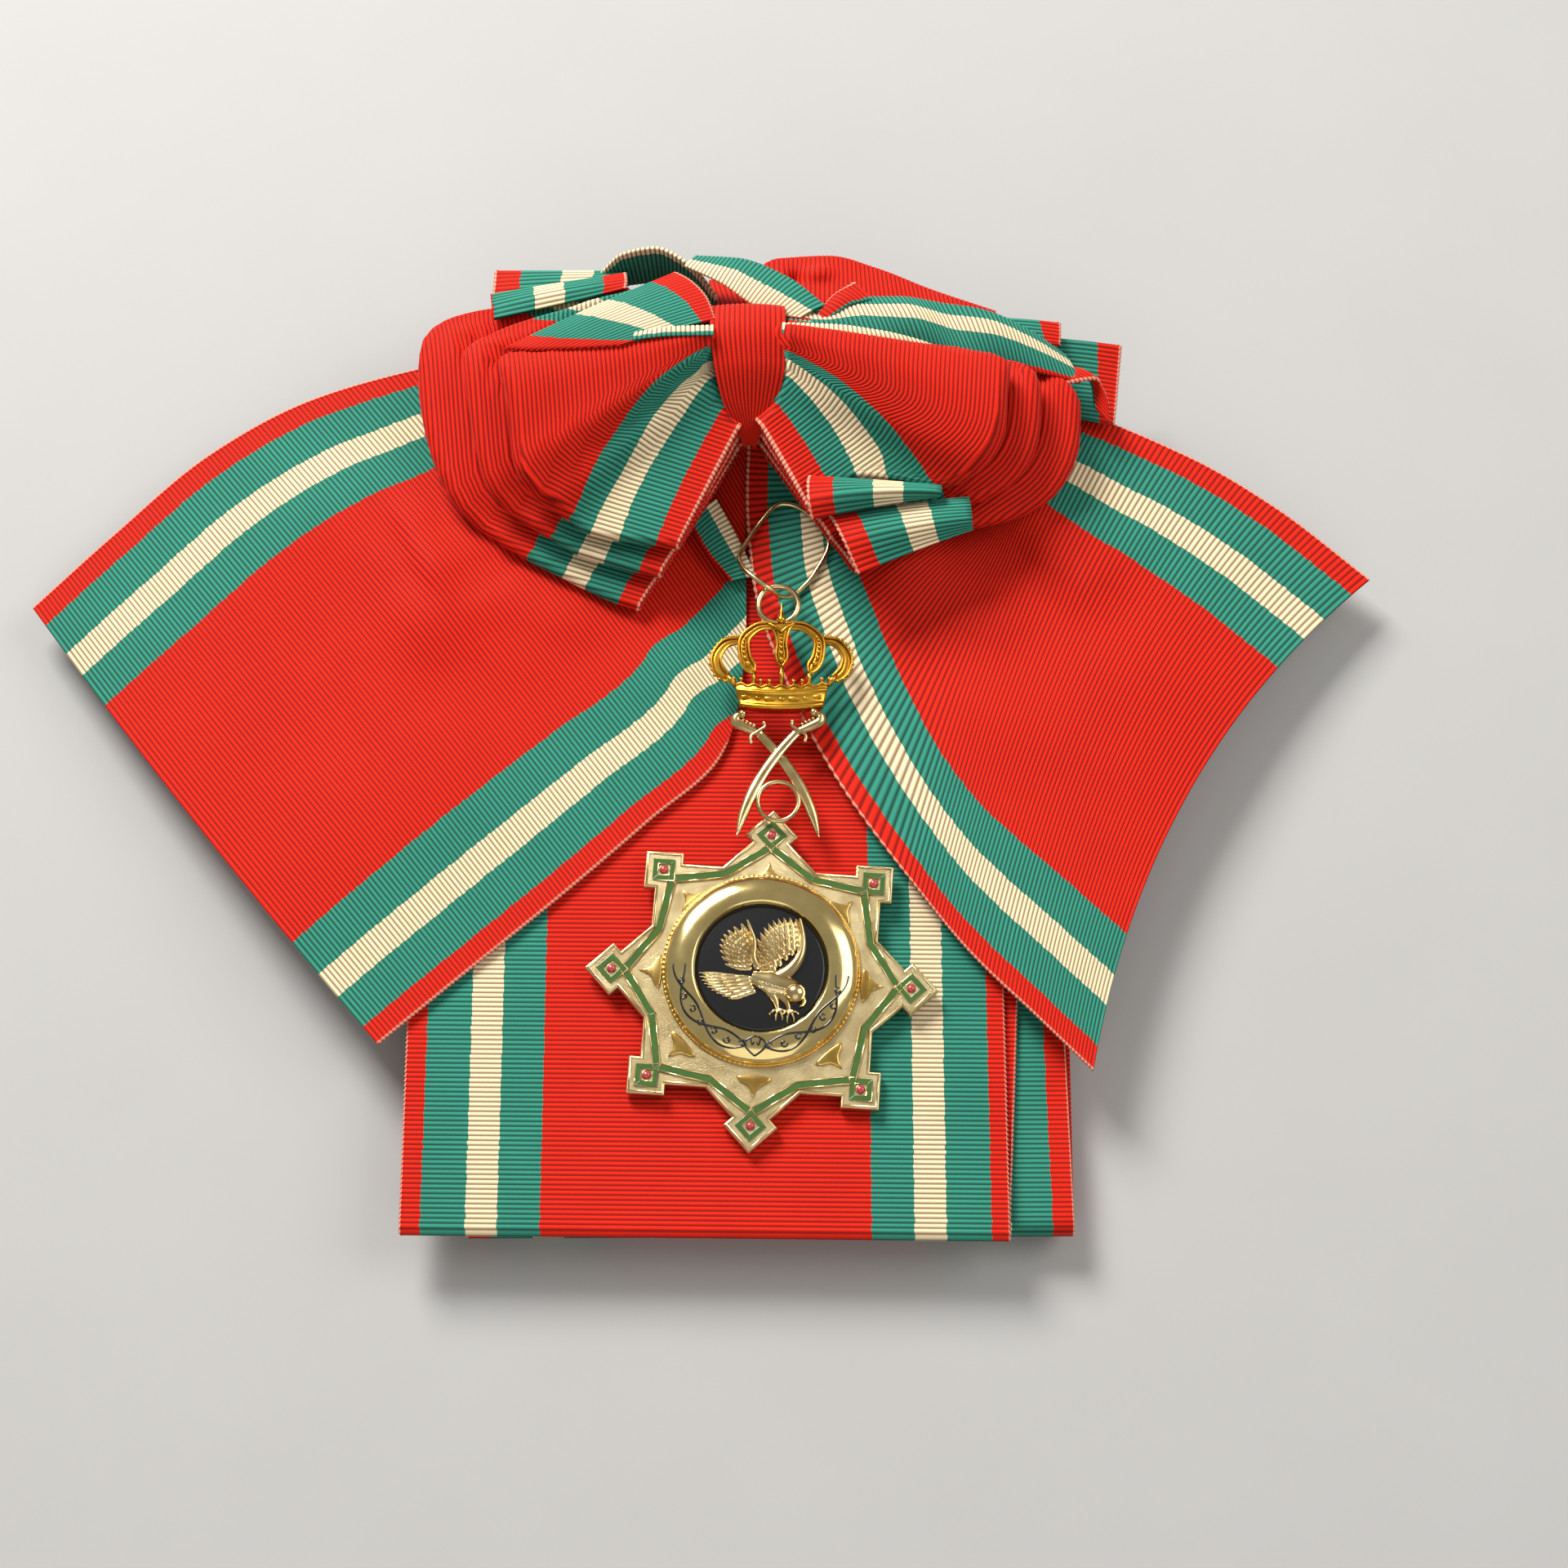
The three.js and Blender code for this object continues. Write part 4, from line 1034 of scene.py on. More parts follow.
@dataclass
class BowSide:
    """Three nested loops of one side of the bow, fanned out from the knot.

    Rows of the table are lines along the ribbon, from its far selvedge to its near one;
    lean is the way, in degrees, that the ribs are counted outwards in.
    """

    name: str
    rows: Table
    seat: float
    steps: tuple[int, int] = (80, 52)
    easing: float = 1.3
    tucked: float = 3.0
    turn_steps: int = 8
    bend_rows: int = 24
    under_rows: int = 24
    creases: Table | None = None
    middle: int = 34
    samples: int = 240
    leg_samples: int = 64
    # Ribs are never counted outwards more slowly than this share of a line's length.
    least_outwards: float = 0.3

    def line(self, across: Array, order: int) -> dict[str, Array]:
        """Root, direction and reach of a loop's lines.

        Args:
            across: shares across the ribbon.
            order: the loop, counted from the outermost.

        Returns:
            The table's columns there, with dirX, dirY and reach in millimetres.
        """
        row = self.rows.read(across)
        inward = list(LOOP_SHARES.values())[order]
        dx = (row["outX"] + (row["inX"] - row["outX"]) * inward - row["rootX"]) * WIDTH
        dy = (row["outY"] + (row["inY"] - row["outY"]) * inward - row["rootY"]) * WIDTH
        reach = np.hypot(dx, dy)
        return {**row, "dirX": dx / reach, "dirY": dy / reach, "reach": reach}

    @staticmethod
    def spot(at: dict[str, Array], h: Array) -> tuple[Array, Array]:
        """Places at distances along lines from their roots."""
        return at["rootX"] * WIDTH + at["dirX"] * h, at["rootY"] * WIDTH + at["dirY"] * h

    def over(self, order: int, x: Array, y: Array) -> Array:
        """Finds the line of a loop's fan that passes over each place.

        Args:
            order: the loop, counted from the outermost.
            x: places across the table, in millimetres.
            y: places away from the viewer.

        Returns:
            The share across the fan at each place.
        """
        table = self.rows
        hand = math.copysign(1, table.column("outX")[0] - table.column("rootX")[0])
        low, high = np.zeros(x.shape), np.ones(x.shape)
        for _ in range(HALVINGS):
            half = (low + high) / 2
            at = self.line(half, order)
            side = at["dirX"] * (y - at["rootY"] * WIDTH) - at["dirY"] * (x - at["rootX"] * WIDTH)
            past = side * hand > 0
            high = np.where(past, half, high)
            low = np.where(past, low, half)
        return (low + high) / 2

    def leg(self, order: int, upper: bool, across: Array, h: Array) -> Array:
        """Height of a leg over the seat, kept under the loops above it.

        Args:
            order: the loop, counted from the outermost.
            upper: whether it is the loop's upper leg.
            across: shares across the ribbon.
            h: distances from the root, of the same shape.

        Returns:
            Heights in millimetres.
        """
        at = self.line(across, order)
        level = 2 * order + (1 if upper else 0)
        outer_reach = self.line(across, 0)["reach"]
        fold = at["rise"] + at["fold"] * ((level + 1) // 2)
        rise = at["rootRise"] + (fold - at["rootRise"]) * h / outer_reach
        height = level * LEG_STEP + rise * WIDTH
        x, y = self.spot(at, h)
        room = NEST_CLEARANCE + LEG_STEP * (1 if upper else 2)
        for above in range(order + 1, len(LOOP_SHARES)):
            for dx, dy in AROUND:
                u = self.over(above, x + dx, y + dy)
                over = self.line(u, above)
                run = np.hypot(x + dx - over["rootX"] * WIDTH, y + dy - over["rootY"] * WIDTH)
                past = np.maximum(run - over["reach"] - CLOTH_WALL, 0)
                ceiling = self.leg(above, False, u, np.minimum(run, over["reach"])) - room
                height = np.minimum(height, ceiling + RIM_SLOPE * past)
        return height

    def grid(self, order: int) -> tuple[Array, int, int, Array]:
        """Middle surface of one loop: rows from the knot, round the fold and back under.

        Args:
            order: the loop, counted from the outermost.

        Returns:
            Points, rows by columns by 3; the rows where the turn starts and ends; and the
            turn's length on each line.
        """
        columns, legs = self.steps
        across = np.linspace(0, 1, columns + 1)
        at = self.line(across, order)
        reach = at["reach"]
        top_end = self.leg(order, True, across, reach)
        low_end = np.minimum(self.leg(order, False, across, reach), top_end - LEG_STEP)
        stop = reach - (top_end - low_end) / 2
        share = 1 - (1 - np.linspace(0, 1, legs + 1)[:, None]) ** self.easing
        wide = np.broadcast_to(across, (legs + 1, columns + 1))
        run = share * stop
        top = self.leg(order, True, wide, run)
        low = np.minimum(self.leg(order, False, wide, run), top - LEG_STEP)
        middle, half = (top[-1] + low[-1]) / 2, (top[-1] - low[-1]) / 2
        angles = np.linspace(0, np.pi, self.turn_steps + 2)[1:-1, None]
        inside = run[:1] - self.tucked
        h = np.concatenate([inside, run, stop + half * np.sin(angles), run[::-1], inside])
        bend = middle + half * np.cos(angles)
        z = np.concatenate([top[:1] - LEG_STEP, top, bend, low[::-1], low[:1]])
        legs += 1
        x, y = self.spot(at, h)
        if order == len(LOOP_SHARES) - 1:
            z[: legs + 1] += WIDTH * crease_rise(self.creases, x / WIDTH, y / WIDTH)[: legs + 1]
        points = np.stack([x, y, self.seat + z], axis=-1)
        return points, legs, legs + self.turn_steps + 1, np.pi * half

    def rib_rows(self, order: int, share: Array) -> tuple[Array, Array]:
        """How far along each line the upper leg's ribs lie.

        Args:
            order: the loop, counted from the outermost.
            share: places across the ribbon.

        Returns:
            The rib count at each line's fold, and the ribs from its fold to its root.
        """
        across = np.linspace(0, 1, self.samples + 1)
        at = self.line(across, order)
        lean = np.radians(at["lean"])
        nx, ny = np.cos(lean), np.sin(lean)
        fold_x, fold_y = self.spot(at, at["reach"])
        step = (nx[1:] * np.diff(fold_x) + ny[1:] * np.diff(fold_y)) / RIB_PITCH
        offset = running(step)
        offset = offset.max() - offset
        outwards = np.maximum(nx * at["dirX"] + ny * at["dirY"], self.least_outwards)
        count = at["reach"] * outwards / RIB_PITCH
        return np.interp(share, across, offset), np.interp(share, across, count)

    def build(self) -> None:
        """Makes the three loops, each standing for its CAD node."""
        for order, word in enumerate(LOOP_SHARES):
            points, legs, turned, bend_length = self.grid(order)
            last = points.shape[0] - 1
            share = RELIEF.columns(self.middle)
            at_root = np.interp(share, ROOT_SHARES[0], ROOT_SHARES[1])
            sample = np.linspace(0, 1, self.leg_samples + 1)[:, None]
            place = share + (at_root - share) * sample
            offset, count = self.rib_rows(order, place)
            count_up = np.maximum.accumulate(offset + sample * count, axis=0)
            most = int(math.ceil(count_up.max() * ROWS_PER_RIB))
            steps = np.arange(most, -1, -1) / ROWS_PER_RIB
            hidden = np.zeros((1, len(share)))
            run = [np.interp(steps, count_up[:, k], sample[:, 0]) for k in range(len(share))]
            run = np.stack(run, axis=1)
            columns_leg = share + (at_root - share) * run
            ribs = np.clip(steps[:, None], count_up[0], count_up[-1])
            wide = np.linspace(0, 1, len(bend_length))
            bend_ribs = np.interp(share, wide, bend_length) / RIB_PITCH
            bend = np.linspace(0, 1, self.bend_rows + 1)[1:, None] + 0 * share
            under = np.linspace(0, 1, self.under_rows + 1)[1:, None] + 0 * share
            first = count_up[0]
            upper = legs - (legs - 1) * run ** (1 / self.easing)
            bent, lower = legs + bend * (turned - legs), turned + under * (last - turned)
            row = np.concatenate([hidden, upper, bent, lower])
            after = first - bend_ribs - under * (count_up[-1] - first)
            phase = np.concatenate([ribs[:1] + 3, ribs, first - bend * bend_ribs, after])
            columns_under = share + (at_root - share) * under
            column = np.concatenate([columns_leg[:1], columns_leg, share + 0 * bend, columns_under])
            column = column * (points.shape[1] - 1)
            relief = np.concatenate([hidden, np.ones(run.shape), np.ones(bend.shape), 0 * under])
            shares = np.broadcast_to(share, row.shape)
            parts = MeshParts()
            surface = Surface(points, legs)
            Ribbon(surface, row, column, shares, phase, relief=relief).mesh(parts)
            node = f"{self.name}_{word}"
            made = parts.build(f"{node}_cloth", Finish.RIBBON, node)
            declare_sheet(made, surface_area(points), WIDTH)


@dataclass
class Band:
    """Wide sash laid to and fro into a flat stack, each pass on the one below."""

    folds: Table
    turn_steps: int = 8
    columns: int = 36
    hidden_columns: int = 6
    across_steps: int = 8
    spacing: float = 0.3

    def way(self, first: int, last: int) -> tuple[Array, Array, Array]:
        """Way of the cloth's middle through some passes, seen from the side.

        Args:
            first: the first pass.
            last: the last pass.

        Returns:
            Places along the table, heights, and fold numbers, evenly spaced.
        """
        radius = CLOTH_STEP / 2
        reach = self.folds.column("reach") * WIDTH
        angles = [math.pi * k / self.turn_steps for k in range(1, self.turn_steps)]
        bend = [(radius * math.sin(angle), radius * math.cos(angle)) for angle in angles]
        rows: list[tuple[float, float, float]] = []
        for number in range(first, last + 1):
            side = 1 if number % 2 else -1
            z = number * CLOTH_STEP + CLOTH_WALL / 2
            start = reach[number] + (side * radius if number > 0 else 0)
            end = reach[number + 1] - (side * radius if number < BAND_PASSES - 1 else 0)
            here, then = float(number), float(number + 1)
            if first == last:
                rows += [(start - side * out, z - radius - down, here) for out, down in bend]
            rows += [(start, z, here), (end, z, then)]
            if number < last:
                rows += [(end + side * out, z + radius - down, then) for out, down in bend]
        path = np.array(rows)
        arc = running(np.hypot(*np.diff(path[:, :2], axis=0).T))
        even = np.linspace(0, arc[-1], int(math.ceil(arc[-1] / self.spacing)) + 1)
        return tuple(np.interp(even, arc, path[:, k]) for k in range(3))

    def sheet(self, name: str, first: int, last: int, finely: bool) -> None:
        """Makes the cloth of some passes.

        Args:
            name: the object's name.
            first: the first pass.
            last: the last pass.
            finely: whether its ribs are modelled.
        """
        y, z, fold = self.way(first, last)
        whole = np.minimum(np.floor(fold), len(self.folds.values) - 2)
        part = fold - whole
        index = whole.astype(int)
        shifts, turns = self.folds.column("shift"), self.folds.column("turn")
        shift = shifts[index] + (shifts[index + 1] - shifts[index]) * part
        turn = np.radians(turns[index] + (turns[index + 1] - turns[index]) * part)
        across = np.linspace(0, 1, self.across_steps + 1)
        x = (across[None, :] - 0.5 + shift[:, None]) * WIDTH
        y = y[:, None] + x * np.tan(turn)[:, None]
        points = np.stack([x, y, z[:, None] + 0 * x], axis=-1)
        surface = Surface(points)
        # The last 30 mm of every sheet lie with their stripes up.
        if surface.normals[-100:, :, 2].sum() < 0:
            surface.normals = -surface.normals
        long = self.spacing * (len(y) - 1)
        per_rib = ROWS_PER_RIB if finely else 0.5
        phase = np.arange(int(long / RIB_PITCH * per_rib) + 1) / per_rib
        row = np.minimum(phase * RIB_PITCH / self.spacing, len(y) - 1)
        share = RELIEF.columns(self.columns if finely else self.hidden_columns)
        rows, columns = np.meshgrid(row, share * self.across_steps, indexing="ij")
        phases, shares = np.meshgrid(phase, share, indexing="ij")
        parts = MeshParts()
        relief = 1.0 if finely else 0.0
        Ribbon(surface, rows, columns, shares, phases, CLOTH_WALL, relief).mesh(parts)
        made = parts.build(name, Finish.RIBBON, "folded_band")
        declare_sheet(made, surface_area(points), long)

    def build(self) -> None:
        """Makes the stack: its hidden passes in one piece, its two top ones with their ribs."""
        second, top = BAND_PASSES - 2, BAND_PASSES - 1
        self.sheet("band_lower_passes", 0, second - 1, False)
        self.sheet("band_second_pass", second, second, True)
        self.sheet("band_top_pass", top, top, True)


@dataclass
class Knot:
    """Strip of ribbon wrapped over the gathered loops, its ribs running along the bow's middle."""

    stations: Table
    wall: float = 1.2
    lift: float = 1.2
    ribs: int = 15
    long: float = 40.0
    steps: tuple[int, int] = (96, 8)
    bulge: float = 0.9

    def build(self) -> None:
        """Makes the strip."""
        rows_up, across = self.steps
        at = self.stations.read(np.linspace(0, 1, rows_up + 1))
        u = np.linspace(0, 1, across + 1)[None, :]
        x = (at["left"][:, None] + (at["right"] - at["left"])[:, None] * u) * WIDTH
        y = at["y"][:, None] * WIDTH + 0 * u
        bulge = self.bulge * (1 - (2 * u - 1) ** 2)
        z = LEFT_BOW_SEAT + at["z"][:, None] * WIDTH + self.lift + 0.5 + bulge
        surface = Surface(np.stack([x, y, z], axis=-1))
        phase = np.arange(self.ribs * ROWS_PER_RIB + 1) / ROWS_PER_RIB
        row = np.linspace(0, rows_up, rows_up + 1)
        columns, rows = np.meshgrid(phase / self.ribs * across, row, indexing="ij")
        # Only the ribbon's red middle shows.
        shares = 0.35 + 0.3 * rows / rows_up
        phases = np.broadcast_to(phase[:, None], rows.shape)
        parts = MeshParts()
        Ribbon(surface, rows, columns, shares, phases, self.wall, top=self.wall / 2).mesh(parts)
        made = parts.build("bow_knot_cloth", Finish.RIBBON, "bow_knot")
        area = surface_area(surface.points)
        declare_sheet(made, area, self.long)


# --------------------------------------------------------------------------- tables of the cloth

# Columns of the tables: where stations have edges a and b and how far those are raised; where
# dents and creases are; and the lines of a loop, from its root to its fold.
EDGES = "at ax ay bx by bow"
RAISED_EDGES = "at ax ay aRise bx by bRise"
EDGES_SEEN = "at ax ay az bx by bz puff"
DENTS = "along across long wide rise"
CREASES = "x0 y0 x1 y1 steep slow rise"
LOOP_LINES = "across rootX rootY rootRise inX inY outX outY rise fold lean"

BAND_FOLDS = Table(
    "at shift turn reach",
    (0, -0.020, 0.0, 0.600),
    (1, -0.030, 0.2, -0.790),
    (2, -0.016, 0.0, 0.596),
    (3, -0.024, -0.6, -0.802),
    (4, -0.012, 0.0, 0.600),
    (5, -0.022, 0.2, -0.812),
    (6, -0.050, 0.0, 0.598),
    (7, -0.130, -0.6, -0.820),
    (8, -0.133, -0.4, 0.600),
)

LEFT_TAIL = Table(
    EDGES,
    (0.00, -0.110, 0.745, -0.066, 0.620, 0.000),
    (0.08, -0.240, 0.780, -0.067, 0.460, 0.000),
    (0.18, -0.400, 0.790, -0.066, 0.260, 0.000),
    (0.26, -0.530, 0.780, -0.078, 0.110, 0.000),
    (0.34, -0.656, 0.755, -0.107, 0.012, 0.000),
    (0.50, -0.853, 0.696, -0.232, -0.110, 0.005),
    (0.66, -1.029, 0.594, -0.374, -0.240, 0.005),
    (0.83, -1.190, 0.445, -0.530, -0.375, 0.000),
    (1.00, -1.327, 0.308, -0.676, -0.502, -0.010),
)

RIGHT_TAIL = Table(
    EDGES,
    (0.00, 0.240, 0.560, -0.064, 0.620, 0.000),
    (0.05, 0.290, 0.520, -0.067, 0.500, 0.000),
    (0.12, 0.340, 0.500, -0.056, 0.340, 0.000),
    (0.22, 0.430, 0.540, 0.012, 0.120, 0.000),
    (0.31, 0.485, 0.610, 0.092, -0.040, 0.005),
    (0.41, 0.528, 0.655, 0.200, -0.200, 0.020),
    (0.60, 0.715, 0.585, 0.315, -0.350, 0.045),
    (0.80, 0.872, 0.492, 0.415, -0.452, 0.070),
    (1.00, 1.037, 0.360, 0.512, -0.551, 0.090),
)

# Part of the right tail that lies gathered under the bow.
RIGHT_TAIL_GATHER = Table(
    "at ax ay bx by",
    (0.00, -0.020, 0.740, -0.030, 0.630),
    (0.20, 0.080, 0.765, 0.060, 0.590),
    (0.45, 0.200, 0.762, 0.180, 0.575),
    (0.70, 0.320, 0.735, 0.300, 0.580),
    (0.90, 0.430, 0.698, 0.400, 0.600),
    (1.00, 0.500, 0.668, 0.440, 0.610),
)

LEFT_TAIL_DENTS = Table(
    DENTS,
    (0.36, 0.36, 0.10, 0.050, 0.012),
    (0.46, 0.50, 0.12, 0.040, 0.010),
    (0.60, 0.22, 0.16, 0.090, 0.012),
    (0.80, 0.70, 0.18, 0.120, 0.010),
)

RIGHT_TAIL_DENTS = Table(
    DENTS,
    (0.50, 0.62, 0.14, 0.070, 0.012),
    (0.78, 0.40, 0.20, 0.120, 0.014),
)

# Creases of the tails: from x0 y0 to x1 y1, steep on one side and slow on the other.
RIGHT_TAIL_CREASES = Table(
    CREASES,
    (0.506, 0.330, 0.397, 0.461, 0.020, 0.120, 0.022),
    (0.400, 0.348, 0.316, 0.427, 0.060, 0.060, -0.012),
    (0.355, 0.255, 0.229, 0.348, 0.050, 0.080, 0.009),
)
LEFT_TAIL_CREASES = Table(
    CREASES,
    (-0.663, 0.448, -0.612, 0.347, 0.050, 0.022, 0.016),
    (-0.503, 0.394, -0.610, 0.344, 0.020, 0.070, 0.015),
    (-0.385, 0.273, -0.588, 0.294, 0.045, 0.060, 0.013),
    (-0.454, 0.199, -0.627, 0.253, 0.050, 0.060, 0.009),
    (-0.703, 0.369, -0.625, 0.214, 0.060, 0.050, 0.009),
)
# How much of the ribbon is folded under along the left tail's selvedge b.
LEFT_TAIL_FOLDED = Table(
    "at share",
    (0.00, 0.400),
    (0.08, 0.290),
    (0.18, 0.148),
    (0.26, 0.052),
    (0.33, 0.000),
    (1.00, 0.000),
)

LEFT_BOW = Table(
    LOOP_LINES,
    (0.000, -0.133, 0.752, 0.150, -0.193, 0.812, -0.279, 0.852, 0.080, 0.012, 186),
    (0.040, -0.133, 0.745, 0.146, -0.228, 0.806, -0.321, 0.848, 0.078, 0.012, 186),
    (0.108, -0.134, 0.738, 0.138, -0.276, 0.790, -0.393, 0.838, 0.070, 0.010, 186),
    (0.158, -0.134, 0.732, 0.132, -0.329, 0.768, -0.443, 0.829, 0.066, 0.008, 186),
    (0.229, -0.135, 0.724, 0.128, -0.388, 0.742, -0.519, 0.824, 0.060, 0.006, 186),
    (0.350, -0.135, 0.714, 0.136, -0.452, 0.698, -0.601, 0.802, 0.056, 0.010, 186),
    (0.420, -0.136, 0.699, 0.166, -0.490, 0.654, -0.638, 0.755, 0.054, 0.028, 186),
    (0.470, -0.136, 0.690, 0.166, -0.478, 0.616, -0.643, 0.700, 0.048, 0.030, 186),
    (0.540, -0.136, 0.680, 0.158, -0.467, 0.560, -0.632, 0.610, 0.036, 0.027, 186),
    (0.610, -0.136, 0.672, 0.150, -0.464, 0.512, -0.604, 0.518, 0.024, 0.024, 186),
    (0.670, -0.135, 0.664, 0.142, -0.455, 0.464, -0.566, 0.455, 0.012, 0.021, 215),
    (0.700, -0.136, 0.655, 0.112, -0.425, 0.442, -0.530, 0.425, 0.006, 0.010, 240),
    (0.771, -0.133, 0.642, 0.104, -0.371, 0.408, -0.450, 0.372, 0.006, 0.006, 252),
    (0.842, -0.127, 0.618, 0.096, -0.336, 0.386, -0.386, 0.338, 0.005, 0.003, 252),
    (0.892, -0.116, 0.596, 0.090, -0.287, 0.374, -0.348, 0.318, 0.003, 0.003, 252),
    (0.960, -0.095, 0.572, 0.082, -0.222, 0.364, -0.289, 0.290, 0.002, 0.003, 252),
    (1.000, -0.078, 0.556, 0.078, -0.182, 0.358, -0.252, 0.278, 0.001, 0.003, 252),
)

RIGHT_BOW = Table(
    LOOP_LINES,
    (0.000, 0.008, 0.742, 0.118, 0.110, 0.734, 0.230, 0.752, 0.020, 0.004, -4),
    (0.108, 0.009, 0.736, 0.114, 0.180, 0.726, 0.320, 0.748, 0.020, 0.004, -4),
    (0.229, 0.010, 0.726, 0.116, 0.260, 0.712, 0.400, 0.736, 0.022, 0.006, -4),
    (0.350, 0.010, 0.714, 0.130, 0.340, 0.682, 0.462, 0.702, 0.032, 0.014, -4),
    (0.420, 0.010, 0.698, 0.154, 0.386, 0.644, 0.500, 0.664, 0.046, 0.025, -4),
    (0.480, 0.010, 0.686, 0.152, 0.380, 0.592, 0.517, 0.628, 0.040, 0.026, -4),
    (0.550, 0.010, 0.674, 0.142, 0.377, 0.538, 0.514, 0.562, 0.030, 0.022, -12),
    (0.620, 0.010, 0.664, 0.132, 0.360, 0.500, 0.484, 0.490, 0.020, 0.017, -35),
    (0.700, 0.010, 0.652, 0.120, 0.315, 0.466, 0.424, 0.444, 0.012, 0.010, -58),
    (0.771, 0.009, 0.640, 0.106, 0.265, 0.456, 0.328, 0.420, 0.008, 0.006, -55),
    (0.842, 0.005, 0.618, 0.096, 0.184, 0.470, 0.252, 0.414, 0.006, 0.005, -55),
    (0.892, -0.003, 0.598, 0.088, 0.128, 0.474, 0.200, 0.400, 0.005, 0.004, -55),
    (0.960, -0.022, 0.570, 0.076, 0.082, 0.452, 0.140, 0.366, 0.004, 0.003, -55),
    (1.000, -0.040, 0.552, 0.070, 0.040, 0.414, 0.122, 0.336, 0.004, 0.003, -55),
)

TOP_ARCH = Table(
    RAISED_EDGES,
    (0.00, -0.330, 0.896, 0.085, -0.318, 0.880, 0.030),
    (0.25, -0.286, 0.912, 0.130, -0.274, 0.892, 0.055),
    (0.50, -0.228, 0.914, 0.148, -0.222, 0.890, 0.065),
    (0.75, -0.166, 0.884, 0.140, -0.170, 0.862, 0.060),
    (1.00, -0.118, 0.832, 0.120, -0.124, 0.812, 0.050),
)

TOP_MASS = Table(
    RAISED_EDGES,
    (0.00, -0.060, 0.870, 0.125, -0.050, 0.772, 0.155),
    (0.10, -0.010, 0.896, 0.132, -0.010, 0.770, 0.160),
    (0.30, 0.080, 0.898, 0.138, 0.080, 0.766, 0.162),
    (0.50, 0.160, 0.880, 0.128, 0.170, 0.756, 0.160),
    (0.75, 0.260, 0.848, 0.106, 0.275, 0.742, 0.150),
    (1.00, 0.375, 0.818, 0.082, 0.380, 0.726, 0.120),
)

TOP_MASS_DENTS = Table(
    DENTS,
    (0.02, 0.40, 0.05, 0.10, 0.018),
    (0.16, 0.36, 0.030, 0.12, -0.026),
    (0.26, 0.30, 0.05, 0.12, 0.016),
)

KNOT = Table(
    "at y z left right",
    (0.00, 0.770, 0.040, -0.120, -0.010),
    (0.15, 0.776, 0.120, -0.126, -0.003),
    (0.32, 0.752, 0.196, -0.127, 0.001),
    (0.48, 0.706, 0.216, -0.127, 0.002),
    (0.66, 0.650, 0.196, -0.120, 0.001),
    (0.82, 0.600, 0.156, -0.106, -0.012),
    (0.92, 0.568, 0.122, -0.083, -0.034),
    (1.00, 0.545, 0.086, -0.066, -0.054),
)

# Creases of the innermost loops, as those of the tails.
LEFT_BOW_CREASES = Table(
    CREASES,
    (-0.173, 0.600, -0.421, 0.412, 0.022, 0.080, 0.022),
)
RIGHT_BOW_CREASES = Table(
    CREASES,
    (0.355, 0.473, 0.098, 0.587, 0.024, 0.085, 0.018),
)

# Sheets seen by the camera: edges a and b of each station, their heights in millimetres, and
# how far the middle puffs up.
LEFT_FAN = Table(
    EDGES_SEEN,
    (0.00, 828, 335, 31.5, 618, 428, 33.0, 0.6),
    (0.35, 846, 345, 33.0, 650, 430, 34.0, 1.2),
    (0.70, 866, 366, 34.5, 700, 428, 35.0, 1.0),
    (1.00, 876, 392, 35.5, 760, 424, 36.0, 0.4),
)
LEFT_RIDGE_ROLL = Table(
    EDGES_SEEN,
    (0.00, 778, 408, 35.6, 774, 417, 36.2, 0.3),
    (0.50, 820, 403, 36.2, 820, 412, 36.8, 0.3),
    (1.00, 874, 401, 36.4, 874, 411, 37.0, 0.3),
)
RIGHT_RIDGE_ROLL = Table(
    EDGES_SEEN,
    (0.00, 957, 398, 36.4, 957, 409, 36.6, 0.3),
    (0.40, 1020, 400, 35.2, 1020, 411, 35.6, 0.3),
    (0.75, 1080, 408, 34.0, 1084, 418, 34.0, 0.3),
    (1.00, 1146, 424, 31.0, 1150, 428, 30.6, 0.0),
)
THROAT_STRIP = Table(
    EDGES_SEEN,
    (0.00, 846, 640, 13.6, 876, 612, 13.6, 0.4),
    (0.50, 866, 676, 13.4, 900, 656, 13.2, 0.6),
    (1.00, 896, 712, 13.0, 925, 706, 12.4, 0.2),
)
HOLLOW = Table(
    EDGES_SEEN,
    (0.00, 868, 346, 17.5, 884, 396, 24.0, 0.0),
    (0.50, 900, 340, 17.0, 920, 398, 25.0, 0.5),
    (1.00, 950, 350, 17.5, 965, 400, 26.0, 0.0),
)
FLAG_BEHIND = Table(
    EDGES_SEEN,
    (0.00, 606, 333, 19.5, 770, 334, 20.5, 0.0),
    (0.50, 605, 348, 20.0, 768, 341, 21.5, 0.3),
    (1.00, 603, 364, 20.5, 766, 350, 22.5, 0.0),
)
FLAG_BEFORE = Table(
    EDGES_SEEN,
    (0.00, 601, 362, 21.5, 767, 336, 23.5, 0.0),
    (0.50, 603, 378, 23.0, 768, 346, 24.5, 0.8),
    (1.00, 605, 392, 23.4, 767, 355, 25.0, 0.0),
)
TURNED_FOLD = Table(
    EDGES_SEEN,
    (0.00, 852, 316, 25.0, 838, 327, 27.0, 0.2),
    (0.35, 905, 319, 28.5, 884, 348, 29.5, 0.6),
    (0.70, 965, 342, 30.5, 930, 378, 31.0, 0.8),
    (1.00, 1010, 376, 31.5, 978, 392, 32.0, 0.4),
)
FRAYED_FLAP = Table(
    EDGES_SEEN,
    (0.00, 1046, 346, 30.4, 1068, 368, 30.6, 0.0),
    (0.40, 1020, 364, 31.0, 1040, 374, 31.4, 0.5),
    (0.70, 1010, 376, 31.2, 1024, 384, 31.8, 0.4),
    (1.00, 1000, 390, 31.4, 1006, 396, 31.8, 0.0),
)
